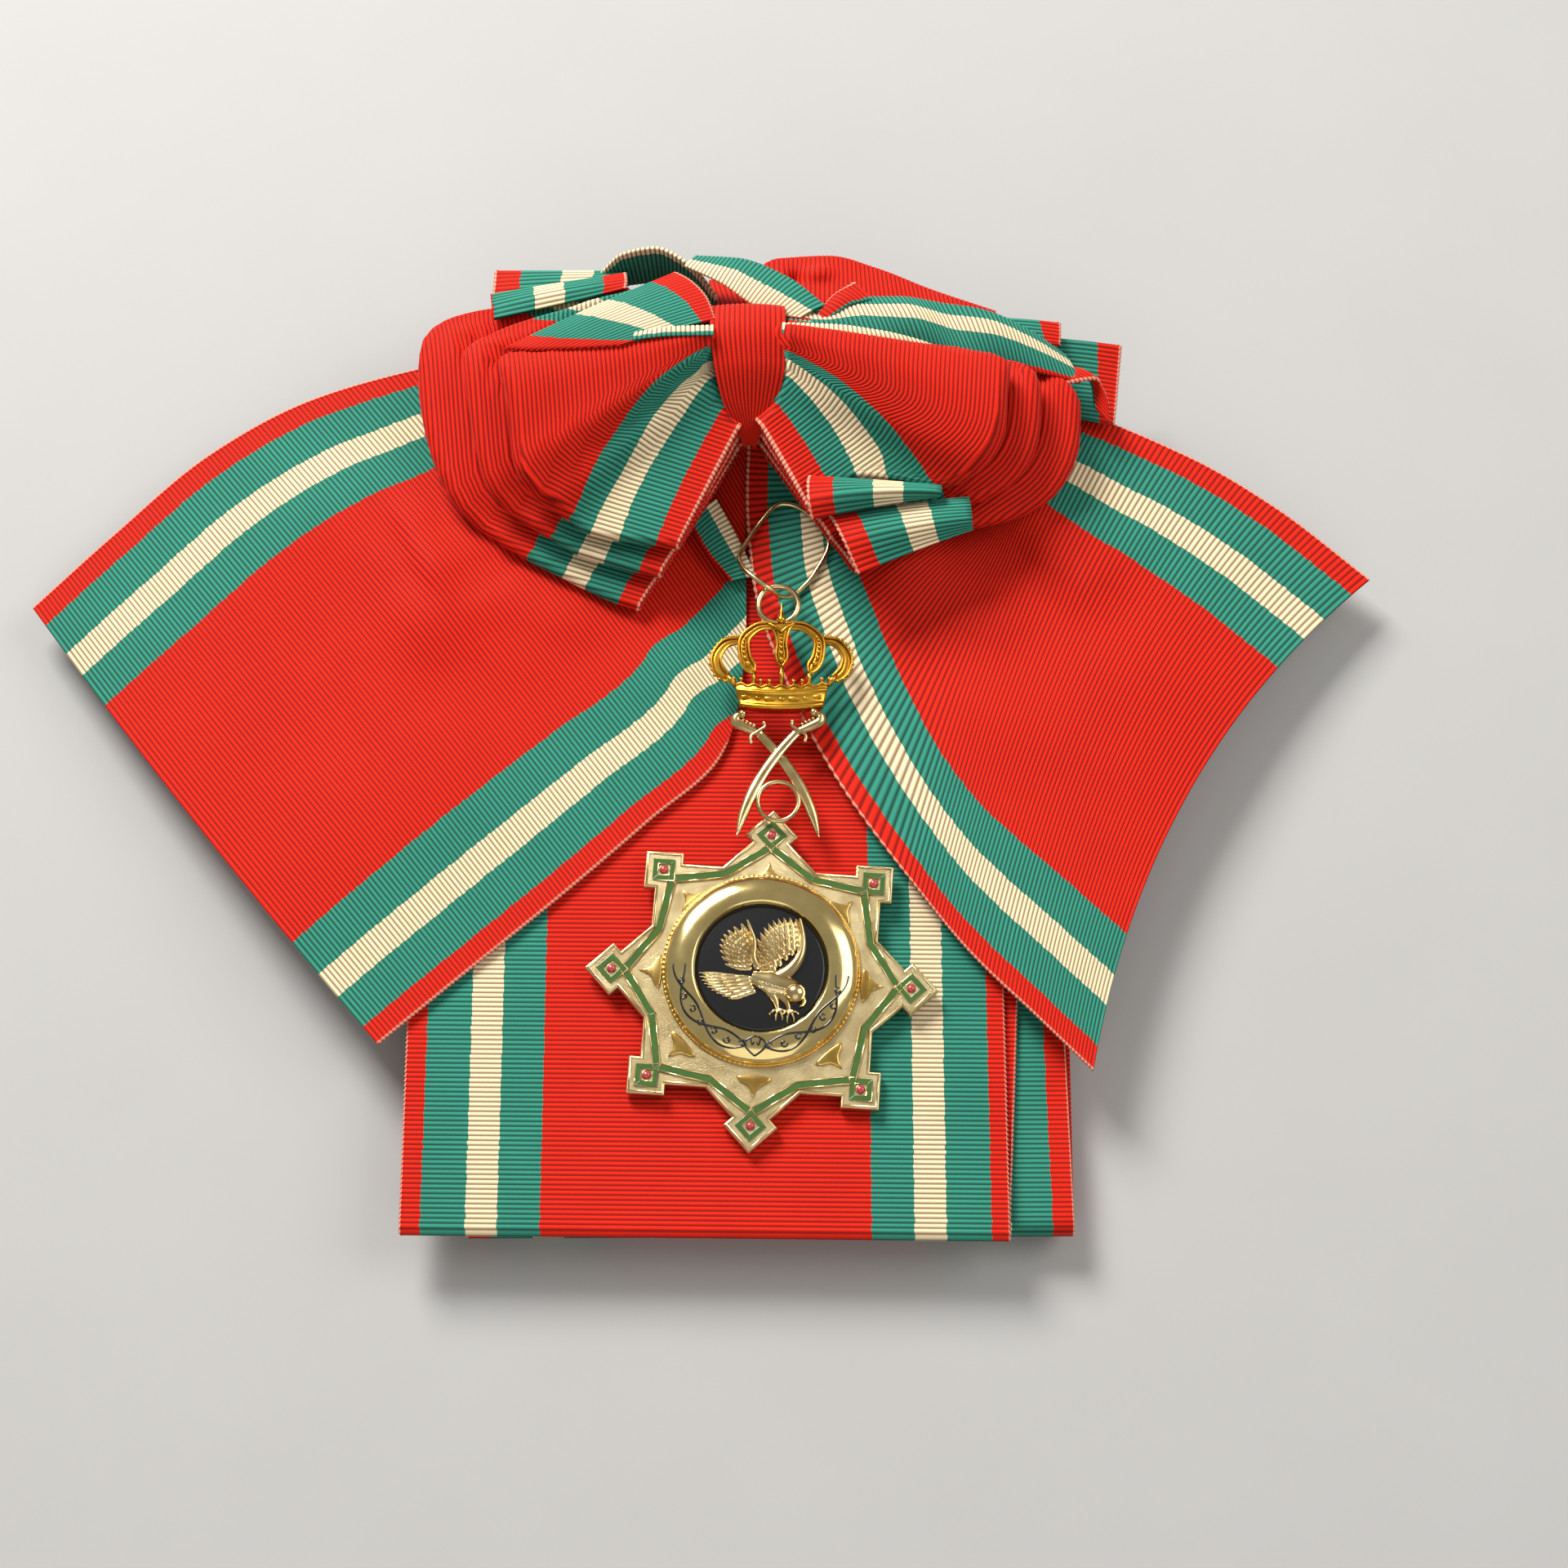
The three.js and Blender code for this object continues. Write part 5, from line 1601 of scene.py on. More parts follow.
WAVE_BEFORE = Table(
    EDGES_SEEN,
    (0.00, 940, 376, 29.5, 950, 404, 32.0, 0.6),
    (0.16, 1000, 384, 30.0, 1010, 409, 32.0, 1.0),
    (0.32, 1052, 366, 29.6, 1075, 416, 31.4, 1.2),
    (0.46, 1100, 366, 30.4, 1130, 428, 30.4, 2.4),
    (0.60, 1150, 373, 28.0, 1180, 438, 28.6, 0.8),
    (0.74, 1204, 382, 27.0, 1226, 448, 26.6, 1.8),
    (0.88, 1258, 406, 24.0, 1276, 458, 24.4, 1.0),
    (1.00, 1302, 436, 21.0, 1322, 470, 21.6, 0.4),
)
FLAG_RIGHT_UPPER = Table(
    EDGES_SEEN,
    (0.00, 1200, 390, 23.0, 1298, 397, 19.0, 0.4),
    (0.50, 1214, 404, 23.0, 1298, 410, 19.5, 0.6),
    (1.00, 1228, 420, 23.0, 1297, 424, 20.0, 0.4),
)
FLAG_RIGHT_LOWER = Table(
    EDGES_SEEN,
    (0.00, 1284, 414, 17.5, 1373, 424, 15.5, 0.2),
    (0.40, 1292, 446, 16.0, 1370, 456, 14.6, 0.4),
    (0.75, 1300, 484, 15.0, 1367, 492, 14.2, 0.3),
    (1.00, 1310, 512, 14.4, 1364, 522, 14.2, 0.2),
)
RIGHT_LIP = Table(
    EDGES_SEEN,
    (0.00, 1262, 452, 21.0, 1296, 473, 22.5, 0.6),
    (0.50, 1310, 452, 19.5, 1340, 466, 21.5, 0.8),
    (0.80, 1336, 470, 18.6, 1357, 494, 20.0, 0.6),
    (1.00, 1340, 500, 18.0, 1359, 519, 18.6, 0.3),
)
ROLLED_END_UPPER = Table(
    EDGES_SEEN,
    (0.00, 990, 585, 27.0, 1152, 597, 25.5, 0.2),
    (0.20, 988, 594, 28.6, 1153, 600, 26.6, 0.6),
    (0.60, 989, 612, 29.0, 1152, 603, 27.0, 1.6),
    (1.00, 993, 636, 27.4, 1150, 606, 26.0, 0.6),
)
ROLLED_END_LOWER = Table(
    EDGES_SEEN,
    (0.00, 1014, 632, 24.6, 1186, 610, 23.4, 0.2),
    (0.30, 1020, 640, 26.0, 1188, 620, 24.6, 0.8),
    (0.65, 1032, 662, 26.4, 1189, 634, 24.8, 1.4),
    (1.00, 1050, 704, 24.4, 1190, 648, 23.0, 0.6),
)

STAR_MIDDLE = (-3.8, -39.3)

# --------------------------------------------------------------------------- metalwork


def tube(
    parts: MeshParts, path: Array, radius: Array | float, sides: int = 10, closed: bool = False
) -> None:
    """Adds a round wire along a path.

    Args:
        parts: the object's gathered pieces.
        path: its middle, n by 3, in millimetres.
        radius: half its thickness, one number or one for each point.
        sides: how many sides its section has.
        closed: whether it runs back into its start.
    """
    path = np.asarray(path, float)
    count = len(path)
    radii = np.broadcast_to(np.asarray(radius, float), (count,))
    after = np.roll(path, -1, axis=0) if closed else np.vstack([path[1:], path[-1:]])
    before = np.roll(path, 1, axis=0) if closed else np.vstack([path[:1], path[:-1]])
    ahead = unit(after - before)
    first = np.cross(ahead[0], (0.0, 0.0, 1.0))
    if np.linalg.norm(first) < 0.1:
        first = np.cross(ahead[0], (0.0, 1.0, 0.0))
    aside = [unit(first)]
    for k in range(1, count):
        carried = aside[-1] - ahead[k] * np.dot(aside[-1], ahead[k])
        aside.append(unit(carried))
    side = np.array(aside)
    up = np.cross(ahead, side)
    if closed:
        last = aside[-1] - ahead[0] * np.dot(aside[-1], ahead[0])
        twist = math.atan2(np.dot(np.cross(side[0], last), ahead[0]), np.dot(side[0], last))
        turn = -twist * np.arange(count) / count
        cos, sin = np.cos(turn)[:, None], np.sin(turn)[:, None]
        side, up = side * cos + up * sin, up * cos - side * sin
    angle = 2 * np.pi * np.arange(sides) / sides
    ring = side[:, None] * np.cos(angle)[None, :, None] + up[:, None] * np.sin(angle)[None, :, None]
    points = (path[:, None] + ring * radii[:, None, None]).reshape(-1, 3)
    numbers = np.arange(count * sides).reshape(count, sides)
    faces = ring_faces(np.vstack([numbers, numbers[:1]]) if closed else numbers, not closed)
    parts.add(points, outward(points, faces))


def circle(radius: float, steps: int, middle: Sequence[float] = (0.0, 0.0, 0.0)) -> Array:
    """Points of a level circle, in as many steps, round its middle."""
    angle = np.linspace(0, 2 * np.pi, steps, endpoint=False)
    return np.column_stack([radius * np.cos(angle), radius * np.sin(angle), 0 * angle]) + middle


def ball(parts: MeshParts, middle: Sequence[float], radius: float, flat: float = 1.0) -> None:
    """Adds a small bead.

    Args:
        parts: the object's gathered pieces.
        middle: its centre, in millimetres.
        radius: its radius.
        flat: how tall it is for its width.
    """
    rings, sides = 7, 12
    polar = np.pi * np.arange(1, rings) / rings
    angle = 2 * np.pi * np.arange(sides) / sides
    x = np.sin(polar)[:, None] * np.cos(angle)
    y = np.sin(polar)[:, None] * np.sin(angle)
    z = np.cos(polar)[:, None] * flat + 0 * x
    shell = np.stack([x, y, z], axis=-1).reshape(-1, 3) * radius
    points = np.vstack([shell, [[0, 0, radius * flat], [0, 0, -radius * flat]]]) + np.array(middle)
    numbers = np.arange((rings - 1) * sides).reshape(rings - 1, sides)
    top, low = (rings - 1) * sides, (rings - 1) * sides + 1
    faces = ring_faces(numbers, False)
    for k in range(sides):
        nxt = (k + 1) % sides
        faces.append((top, k, nxt))
        faces.append((low, numbers[-1, nxt], numbers[-1, k]))
    parts.add(points, outward(points, faces))


def lathe(parts: MeshParts, profile: Array, steps: int = 128) -> None:
    """Adds a turned body, closed at both ends.

    Args:
        parts: the object's gathered pieces.
        profile: radius and height of each of its rings.
        steps: how many sides it has.
    """
    angle = 2 * np.pi * np.arange(steps) / steps
    profile = np.asarray(profile, float)
    x = profile[:, 0][:, None] * np.cos(angle)
    y = profile[:, 0][:, None] * np.sin(angle)
    z = profile[:, 1][:, None] + 0 * x
    points = np.stack([x, y, z], axis=-1).reshape(-1, 3)
    numbers = np.arange(len(profile) * steps).reshape(len(profile), steps)
    parts.add(points, outward(points, ring_faces(numbers)))


def inset(outline: Array, by: float) -> Array:
    """Moves a closed outline inwards, keeping its corners sharp.

    Args:
        outline: the outline, n by 2.
        by: how far in it goes.

    Returns:
        The outline inside it.
    """
    nxt, last = np.roll(outline, -1, axis=0), np.roll(outline, 1, axis=0)
    turning = (last[:, 0] * outline[:, 1] - last[:, 1] * outline[:, 0]).sum()
    hand = 1 if turning > 0 else -1
    out = unit(outline - last)
    on = unit(nxt - outline)
    left_in = hand * np.stack([-out[:, 1], out[:, 0]], axis=1)
    left_on = hand * np.stack([-on[:, 1], on[:, 0]], axis=1)
    mitre = left_in + left_on
    scale = 2 / np.maximum((mitre**2).sum(axis=1), 0.35)
    return outline + mitre * (by * scale)[:, None]


def plate(parts: MeshParts, outline: Array, low: float, high: float, bevel: float = 0.0) -> None:
    """Adds a flat plate with a bevelled upper edge.

    Args:
        parts: the object's gathered pieces.
        outline: its closed outline, n by 2.
        low: height of its underside.
        high: height of its top.
        bevel: how far its upper edge is bevelled.
    """
    outline = np.asarray(outline, float)
    count = len(outline)
    levels = [(0.0, low), (0.0, high - bevel * 0.8)]
    if bevel:
        levels += [(bevel * 0.35, high - bevel * 0.25), (bevel, high)]
    rings = []
    for by, z in levels:
        flat = inset(outline, by) if by else outline
        rings.append(np.column_stack([flat, np.full(count, z)]))
    points = np.vstack(rings)
    numbers = np.arange(len(points)).reshape(len(levels), count)
    parts.add(points, outward(points, ring_faces(numbers)))


def lobe(
    parts: MeshParts, line: Array, widths: Array, low: Array | float, rise: Array | float
) -> None:
    """Adds a rounded bar on a flat back, such as a feather, a petal or a blade.

    Args:
        parts: the object's gathered pieces.
        line: its middle line, n by 2.
        widths: how wide it is at each point.
        low: height of its back, one number or one for each point.
        rise: how far its crest stands over its back.
    """
    line = np.asarray(line, float)
    count = len(line)
    widths = np.broadcast_to(np.asarray(widths, float), (count,))
    lows = np.broadcast_to(np.asarray(low, float), (count,))
    rises = np.broadcast_to(np.asarray(rise, float), (count,))
    aside = sideways(line)
    across = np.array([-1.0, -0.86, -0.5, 0.0, 0.5, 0.86, 1.0])
    crest = np.sqrt(np.maximum(1 - across**2, 0)) * 0.85 + 0.15
    crest[0] = crest[-1] = 0.0
    flat = line[:, None] + aside[:, None] * (widths[:, None, None] / 2 * across[None, :, None])
    top = lows[:, None] + rises[:, None] * crest[None, :]
    points = np.concatenate([flat, top[..., None]], axis=-1).reshape(-1, 3)
    numbers = np.arange(count * len(across)).reshape(count, len(across))
    faces = grid_quads(numbers) + [face[::-1] for face in grid_quads(numbers[:, [0, -1]])]
    faces.append(tuple(numbers[0][::-1].tolist()))
    faces.append(tuple(numbers[-1].tolist()))
    parts.add(points, outward(points, faces))


def sideways(line: Array) -> Array:
    """Unit vectors to the left of a flat line at each of its points."""
    ahead = unit(np.gradient(line, axis=0))
    return np.stack([-ahead[:, 1], ahead[:, 0]], axis=1)


def smooth_line(corners: Sequence[Sequence[float]], steps: int, closed: bool = False) -> Array:
    """Smooth curve through points.

    Args:
        corners: the points.
        steps: how many steps the curve takes between each two.
        closed: whether it runs back to its start.

    Returns:
        Points along the curve.
    """
    knots = np.asarray(corners, float)
    count = len(knots)
    spans = count if closed else count - 1
    out = []
    for k in range(spans):
        around = [k - 1, k, k + 1, k + 2]
        if closed:
            four = [knots[i % count] for i in around]
        else:
            four = [knots[min(max(i, 0), count - 1)] for i in around]
        for j in range(steps):
            weights = cubic_weights(np.float64(j / steps))
            out.append(sum(w * p for w, p in zip(weights, four)))
    if not closed:
        out.append(knots[-1])
    return np.array(out)


def turned(points: Array, degrees: float) -> Array:
    """Turns points about the vertical.

    Args:
        points: the points, flat or not.
        degrees: how far, against the clock.

    Returns:
        The turned points.
    """
    angle = math.radians(degrees)
    out = np.array(points, float)
    x, y = out[:, 0].copy(), out[:, 1].copy()
    out[:, 0] = x * math.cos(angle) - y * math.sin(angle)
    out[:, 1] = x * math.sin(angle) + y * math.cos(angle)
    return out


# The badge: its star, how it lies, and how far above the star's middle each piece starts.
STAR_POINTS = 8
STAR_RADIUS = 25.1
BOSS_HALF = 4.525
STAR_TURN = -4.0
BADGE_LEAN = 1.9
BADGE_SEAT = BAND_TOP + LAYER_GAP
STAR_LOW = STAR_MIDDLE[1] - STAR_RADIUS - BOSS_HALF
UPPER_SEAT = 2.45
SABRES_UP = STAR_RADIUS + 15.0
CROWN_UP = SABRES_UP + 8.1
UPPER_DROP = 0.8
DOME_UP = 1.4
EYE_UP = 14.84 + UPPER_DROP


def on_badge(points: Array, shift: Sequence[float], turn: float = 0.0) -> Array:
    """Places points of a badge's piece on the table.

    Args:
        points: the piece's points, in its own frame.
        shift: where that frame is on the badge.
        turn: how far it is turned about the vertical, in degrees.

    Returns:
        Points in the tables' frame.
    """
    flat = turned(points, turn) + np.array(shift, float)
    lean = math.radians(BADGE_LEAN)
    y = flat[:, 1] * math.cos(lean) - flat[:, 2] * math.sin(lean)
    z = flat[:, 1] * math.sin(lean) + flat[:, 2] * math.cos(lean)
    return np.stack([flat[:, 0], y + STAR_LOW, z + BADGE_SEAT], axis=-1)


def on_star(points: Array) -> Array:
    """Places points of the star on the table."""
    return on_badge(points, (STAR_MIDDLE[0], STAR_MIDDLE[1] - STAR_LOW, 0.0), STAR_TURN)


def on_dome(points: Array) -> Array:
    """Places points of the star's raised middle on the table."""
    return on_star(points) + np.array([0.0, DOME_UP, 0.0])


def on_upper(distance: float) -> Callable[[Array], Array]:
    """Works out how pieces above the star are placed.

    Args:
        distance: how far above the star's middle they start, in millimetres.

    Returns:
        A function that places their points on the table.
    """
    aside = STAR_MIDDLE[0] - distance * math.tan(math.radians(STAR_TURN))
    shift = (aside, STAR_MIDDLE[1] - STAR_LOW + distance - UPPER_DROP, UPPER_SEAT)
    return lambda points: on_badge(points, shift)


@dataclass
class Medallion:
    """Star of the badge: frosted plate, enamel line, bosses, polished dome and black disc."""

    wall: float = 1.8
    valley: float = 20.66
    line_valley: float = 19.21
    line_point: float = 22.9
    line_width: float = 1.04
    loop: float = 2.6
    hole: float = 1.5
    thread: float = 0.13
    disc: float = 11.1
    dome_inner: float = 11.5
    dome_outer: float = 16.2
    dome_floor: float = 2.45
    dome_rise: float = 2.3
    enamel_rise: float = 0.26

    def outline(self) -> Array:
        """Draws the plate: eight points with a square boss on each.

        Returns:
            The outline's corners, n by 2.
        """
        half = 180 / STAR_POINTS
        rad = math.radians(half)
        valley = (self.valley * math.cos(rad), self.valley * math.sin(rad))
        point = [
            (23.79, -3.21),
            (STAR_RADIUS, -BOSS_HALF),
            (STAR_RADIUS + BOSS_HALF, 0.0),
            (STAR_RADIUS, BOSS_HALF),
            (23.79, 3.21),
            valley,
        ]
        return np.vstack([turned(np.array(point), 2 * half * k) for k in range(STAR_POINTS)])

    def dome(self, radius: Array) -> Array:
        """Works out the polished dome.

        Args:
            radius: distances from the middle, in millimetres.

        Returns:
            The dome's heights there.
        """
        wide = self.dome_outer - self.dome_inner
        share = np.clip((np.asarray(radius) - self.dome_inner) / wide, 0, 1)
        return self.dome_floor + self.dome_rise * np.sqrt(1 - share**2 * 0.985)

    def square(self, half: float) -> Array:
        """Square round a boss's middle, standing on its corner."""
        middle = STAR_RADIUS
        return np.array([(middle - half, 0), (middle, -half), (middle + half, 0), (middle, half)])

    def build(self) -> None:
        """Makes the star's pieces."""
        face, edges, enamel, leaves, dots = (MeshParts() for _ in range(5))
        plate(face, self.outline(), 0.0, self.wall, 0.35)
        rim = inset(self.outline(), 0.42)
        tube(edges, np.hstack([rim, np.full((len(rim), 1), self.wall)]), 0.2, 8, True)
        for k in range(STAR_POINTS):
            turn = 360 / STAR_POINTS * k
            self.lines(edges, enamel, turn)
            self.boss(edges, enamel, dots, turn)
            self.leaf(leaves, turn)
        red_dots = [f"red_dot_{k + 1}" for k in range(STAR_POINTS)]
        for parts, name, finish, smooth, *nodes in (
            (face, "star_frosted_plate", Finish.SILVER_GILT, False, "star_plate"),
            (edges, "star_bright_edges", Finish.BRIGHT_EDGE, True, "star_plate"),
            (leaves, "star_trefoils", Finish.GILT, True, "star_plate"),
            (enamel, "star_green_line", Finish.GREEN, False, "green_enamel"),
            (dots, "star_red_dots", Finish.RED, True, *red_dots),
        ):
            parts.build(name, finish, *nodes, smooth=smooth, place=on_star)
        self.middle()

    def lines(self, edges: MeshParts, enamel: MeshParts, turn: float) -> None:
        """Adds a point's two bars of enamel, each with a thread of metal along its sides.

        Args:
            edges: the bright metal's gathered pieces.
            enamel: the enamel's.
            turn: where the point is, in degrees.
        """
        rad, half = math.radians(180 / STAR_POINTS), self.line_width / 2
        for number, side in enumerate((-1, 1)):
            start = np.array([self.line_point + 0.5, -0.7 * side])
            end = np.array([math.cos(rad), side * math.sin(rad)]) * self.line_valley
            ahead = unit(end - start)
            aside = np.array([-ahead[1], ahead[0]])
            # The valley's end is cut along the line between two points of the star.
            normal = np.array([-math.sin(rad) * side, math.cos(rad)]) * side
            first, last = start + aside * half, start - aside * half
            cut = [
                origin + ahead * (0.02 - np.dot(origin, normal) / np.dot(ahead, normal))
                for origin in (first, last)
            ]
            corners = turned(np.array([first, *cut, last]), turn)
            top = self.wall + self.enamel_rise
            plate(enamel, corners, self.wall - 0.1, top + 0.006 * number, 0.05)
            for sign in (1, -1):
                origin = start + aside * (half + self.thread * 0.7) * sign + ahead * 0.8
                reach = -np.dot(origin, normal) / np.dot(ahead, normal)
                ends = turned(np.array([origin, origin + ahead * reach]), turn)
                tube(edges, np.column_stack([ends, [top - 0.02] * 2]), self.thread, 8)

    def boss(self, edges: MeshParts, enamel: MeshParts, dots: MeshParts, turn: float) -> None:
        """Adds a boss's square of enamel between two threads, and its ringed red dot.

        Args:
            edges: the bright metal's gathered pieces.
            enamel: the green enamel's.
            dots: the red enamel's.
            turn: where the boss is, in degrees.
        """
        outer, inner = self.square(self.loop), self.square(self.hole)
        top = self.wall + self.enamel_rise
        for c in range(4):
            d = (c + 1) % 4
            quad = np.array([outer[c], outer[d], inner[d], inner[c]])
            plate(enamel, turned(quad, turn), self.wall - 0.1, top + 0.012, 0.04)
        for half in (self.loop + 0.12, self.hole - 0.1):
            path = np.column_stack([turned(self.square(half), turn), [top] * 4])
            tube(edges, path, self.thread, 8, True)
        x, y = turned(np.array([[STAR_RADIUS, 0.0]]), turn)[0]
        ball(dots, (x, y, self.wall + 0.05), 0.72, 0.6)
        tube(edges, circle(0.78, 20, (x, y, self.wall)), 0.1, 6, True)

    def leaf(self, parts: MeshParts, turn: float) -> None:
        """Adds a pointed leaf of three petals near a point of the star.

        Args:
            parts: the object's gathered pieces.
            turn: where the point is, in degrees.
        """
        half = [(2.7, 0.0), (1.5, 0.45), (0.75, 0.95), (0.45, 1.5), (0.1, 2.2), (-0.7, 2.95)]
        half += [(-0.95, 2.1), (-1.05, 1.3), (-1.1, 0.5)]
        mirror = [(x, -y) for x, y in half[::-1] if y]
        outline = turned(np.array(half + mirror) + np.array([17.7, 0.0]), turn)
        plate(parts, outline, self.wall - 0.1, self.wall + 0.42, 0.22)

    def middle(self) -> None:
        """Makes the polished dome, the black disc and the engraved vines."""
        radius = np.concatenate([[self.disc], np.linspace(self.dome_inner, self.dome_outer, 20)])
        height = np.concatenate([[4.45], self.dome(radius[1:])])
        profile = [(self.disc, 3.2), *zip(radius, height), (self.dome_outer, self.wall - 0.1)]
        profile.append((self.disc, self.wall - 0.1))
        dome, rope, disc, vines = (MeshParts() for _ in range(4))
        lathe(dome, np.array(profile), 160)
        strands = 0.26 + 0.06 * np.cos(np.linspace(0, 2 * np.pi, 480, endpoint=False) * 120)
        tube(rope, circle(self.dome_outer + 0.15, 480, (0, 0, self.wall + 0.35)), strands, 8, True)
        share = np.linspace(0.001, 1, 14)
        profile = [(self.disc * s, 3.55 + 0.55 * (1 - s * s)) for s in share] + [(self.disc, 2.5)]
        lathe(disc, np.array(profile + [(0.01, 2.5)]), 96)
        self.vines(vines)
        for parts, name, finish, node in (
            (dome, "medallion_dome", Finish.BRIGHT_GILT, "star_plate"),
            (rope, "medallion_corded_edge", Finish.GILT, "star_plate"),
            (disc, "medallion_black_disc", Finish.BLACK, "black_enamel"),
            (vines, "medallion_engraved_vines", Finish.BLACK, "black_enamel"),
        ):
            parts.build(name, finish, node, place=on_dome)

    def laid_on_dome(self, degrees: Array, radius: Array) -> Array:
        """Lays a line on the dome.

        Args:
            degrees: where round the dome, in degrees.
            radius: how far from its middle, in millimetres.

        Returns:
            Points just over the dome's surface.
        """
        angle = np.radians(degrees)
        x, y = radius * np.cos(angle), radius * np.sin(angle)
        return np.column_stack([x, y, self.dome(radius) + 0.015])

    def vines(self, parts: MeshParts) -> None:
        """Adds two vines that cross along the lower half of the dome, with curled shoots.

        Args:
            parts: the object's gathered pieces.
        """
        low, high = 13.6, 1.35
        for side in (-1, 1):
            along = np.linspace(0, 1, 90)
            degrees = 270 + side * (6 + 82 * along)
            swell = 1 - 0.25 * along
            for phase in (0.0, math.pi):
                wave = np.sin(along * 2.5 * math.pi + phase) * high * swell
                path = self.laid_on_dome(degrees, low + wave)
                tube(parts, path, 0.17 + 0.05 * np.sin(np.pi * along), 6)
            for number in range(7):
                at = 0.07 + 0.135 * number
                bend = 1 if number % 2 else -1
                base = 270 + side * (6 + 82 * at)
                t = np.linspace(0, 1, 16)
                curl = t * 1.75 * math.pi
                reach = 0.62 * (1 - 0.62 * t)
                radius = low + bend * (0.1 + reach * np.sin(curl))
                offset = side * np.degrees((reach * np.cos(curl) - 0.62) / low)
                path = self.laid_on_dome(base + offset, radius)
                tube(parts, path, 0.14 + 0.12 * t, 6)
        t = np.linspace(0, 1, 24)
        for side in (-1, 1):
            radius = 11.95 + 3.2 * t
            offset = side * np.degrees(1.75 * np.sin(np.pi * t**0.8) / 13.5)
            tube(parts, self.laid_on_dome(270 + offset, radius), 0.18, 6)
            shoot = 12.9 + 0.55 * np.sin(t * 1.6 * math.pi)
            offset = side * np.degrees((0.25 + 0.75 * t) / 13.5)
            tube(parts, self.laid_on_dome(270 + offset, shoot), 0.14, 6)


@dataclass(frozen=True)
class Plumage:
    """Fan of overlapping feather rows between a line of roots and a curve of tips."""

    roots: tuple[tuple[float, float], tuple[float, float]]
    tips: tuple[tuple[float, float], tuple[float, float], tuple[float, float]]
    rows: tuple[tuple[float, int, float], ...]
    low: float
    step: float = 0.13

    def build(self, parts: MeshParts) -> None:
        """Adds the feathers, each row a little higher than the one before.

        Args:
            parts: the object's gathered pieces.
        """
        a, b = (np.array(p) for p in self.roots)
        c, d, e = (np.array(p) for p in self.tips)
        for number, (reach, count, width) in enumerate(self.rows):
            for k in range(count):
                t = (k + 0.5) / count
                root = a + (b - a) * t
                tip = c * (1 - t) ** 2 + 2 * d * t * (1 - t) + e * t**2
                end = root + (tip - root) * reach
                start = root + (tip - root) * reach * 0.3
                stations = np.linspace(0, 1, 7)[:, None]
                line = start + (end - start) * stations
                shape = np.array([0.55, 0.8, 0.95, 1.0, 0.95, 0.72, 0.12])
                z = self.low + self.step * number + 0.02 * (k % 2)
                rise = 0.3 + 0.08 * np.sin(np.pi * stations[:, 0])
                lobe(parts, line, shape * width, z, rise)
                tube(parts, np.column_stack([line[:6], z + rise[:6]]), 0.045, 5)


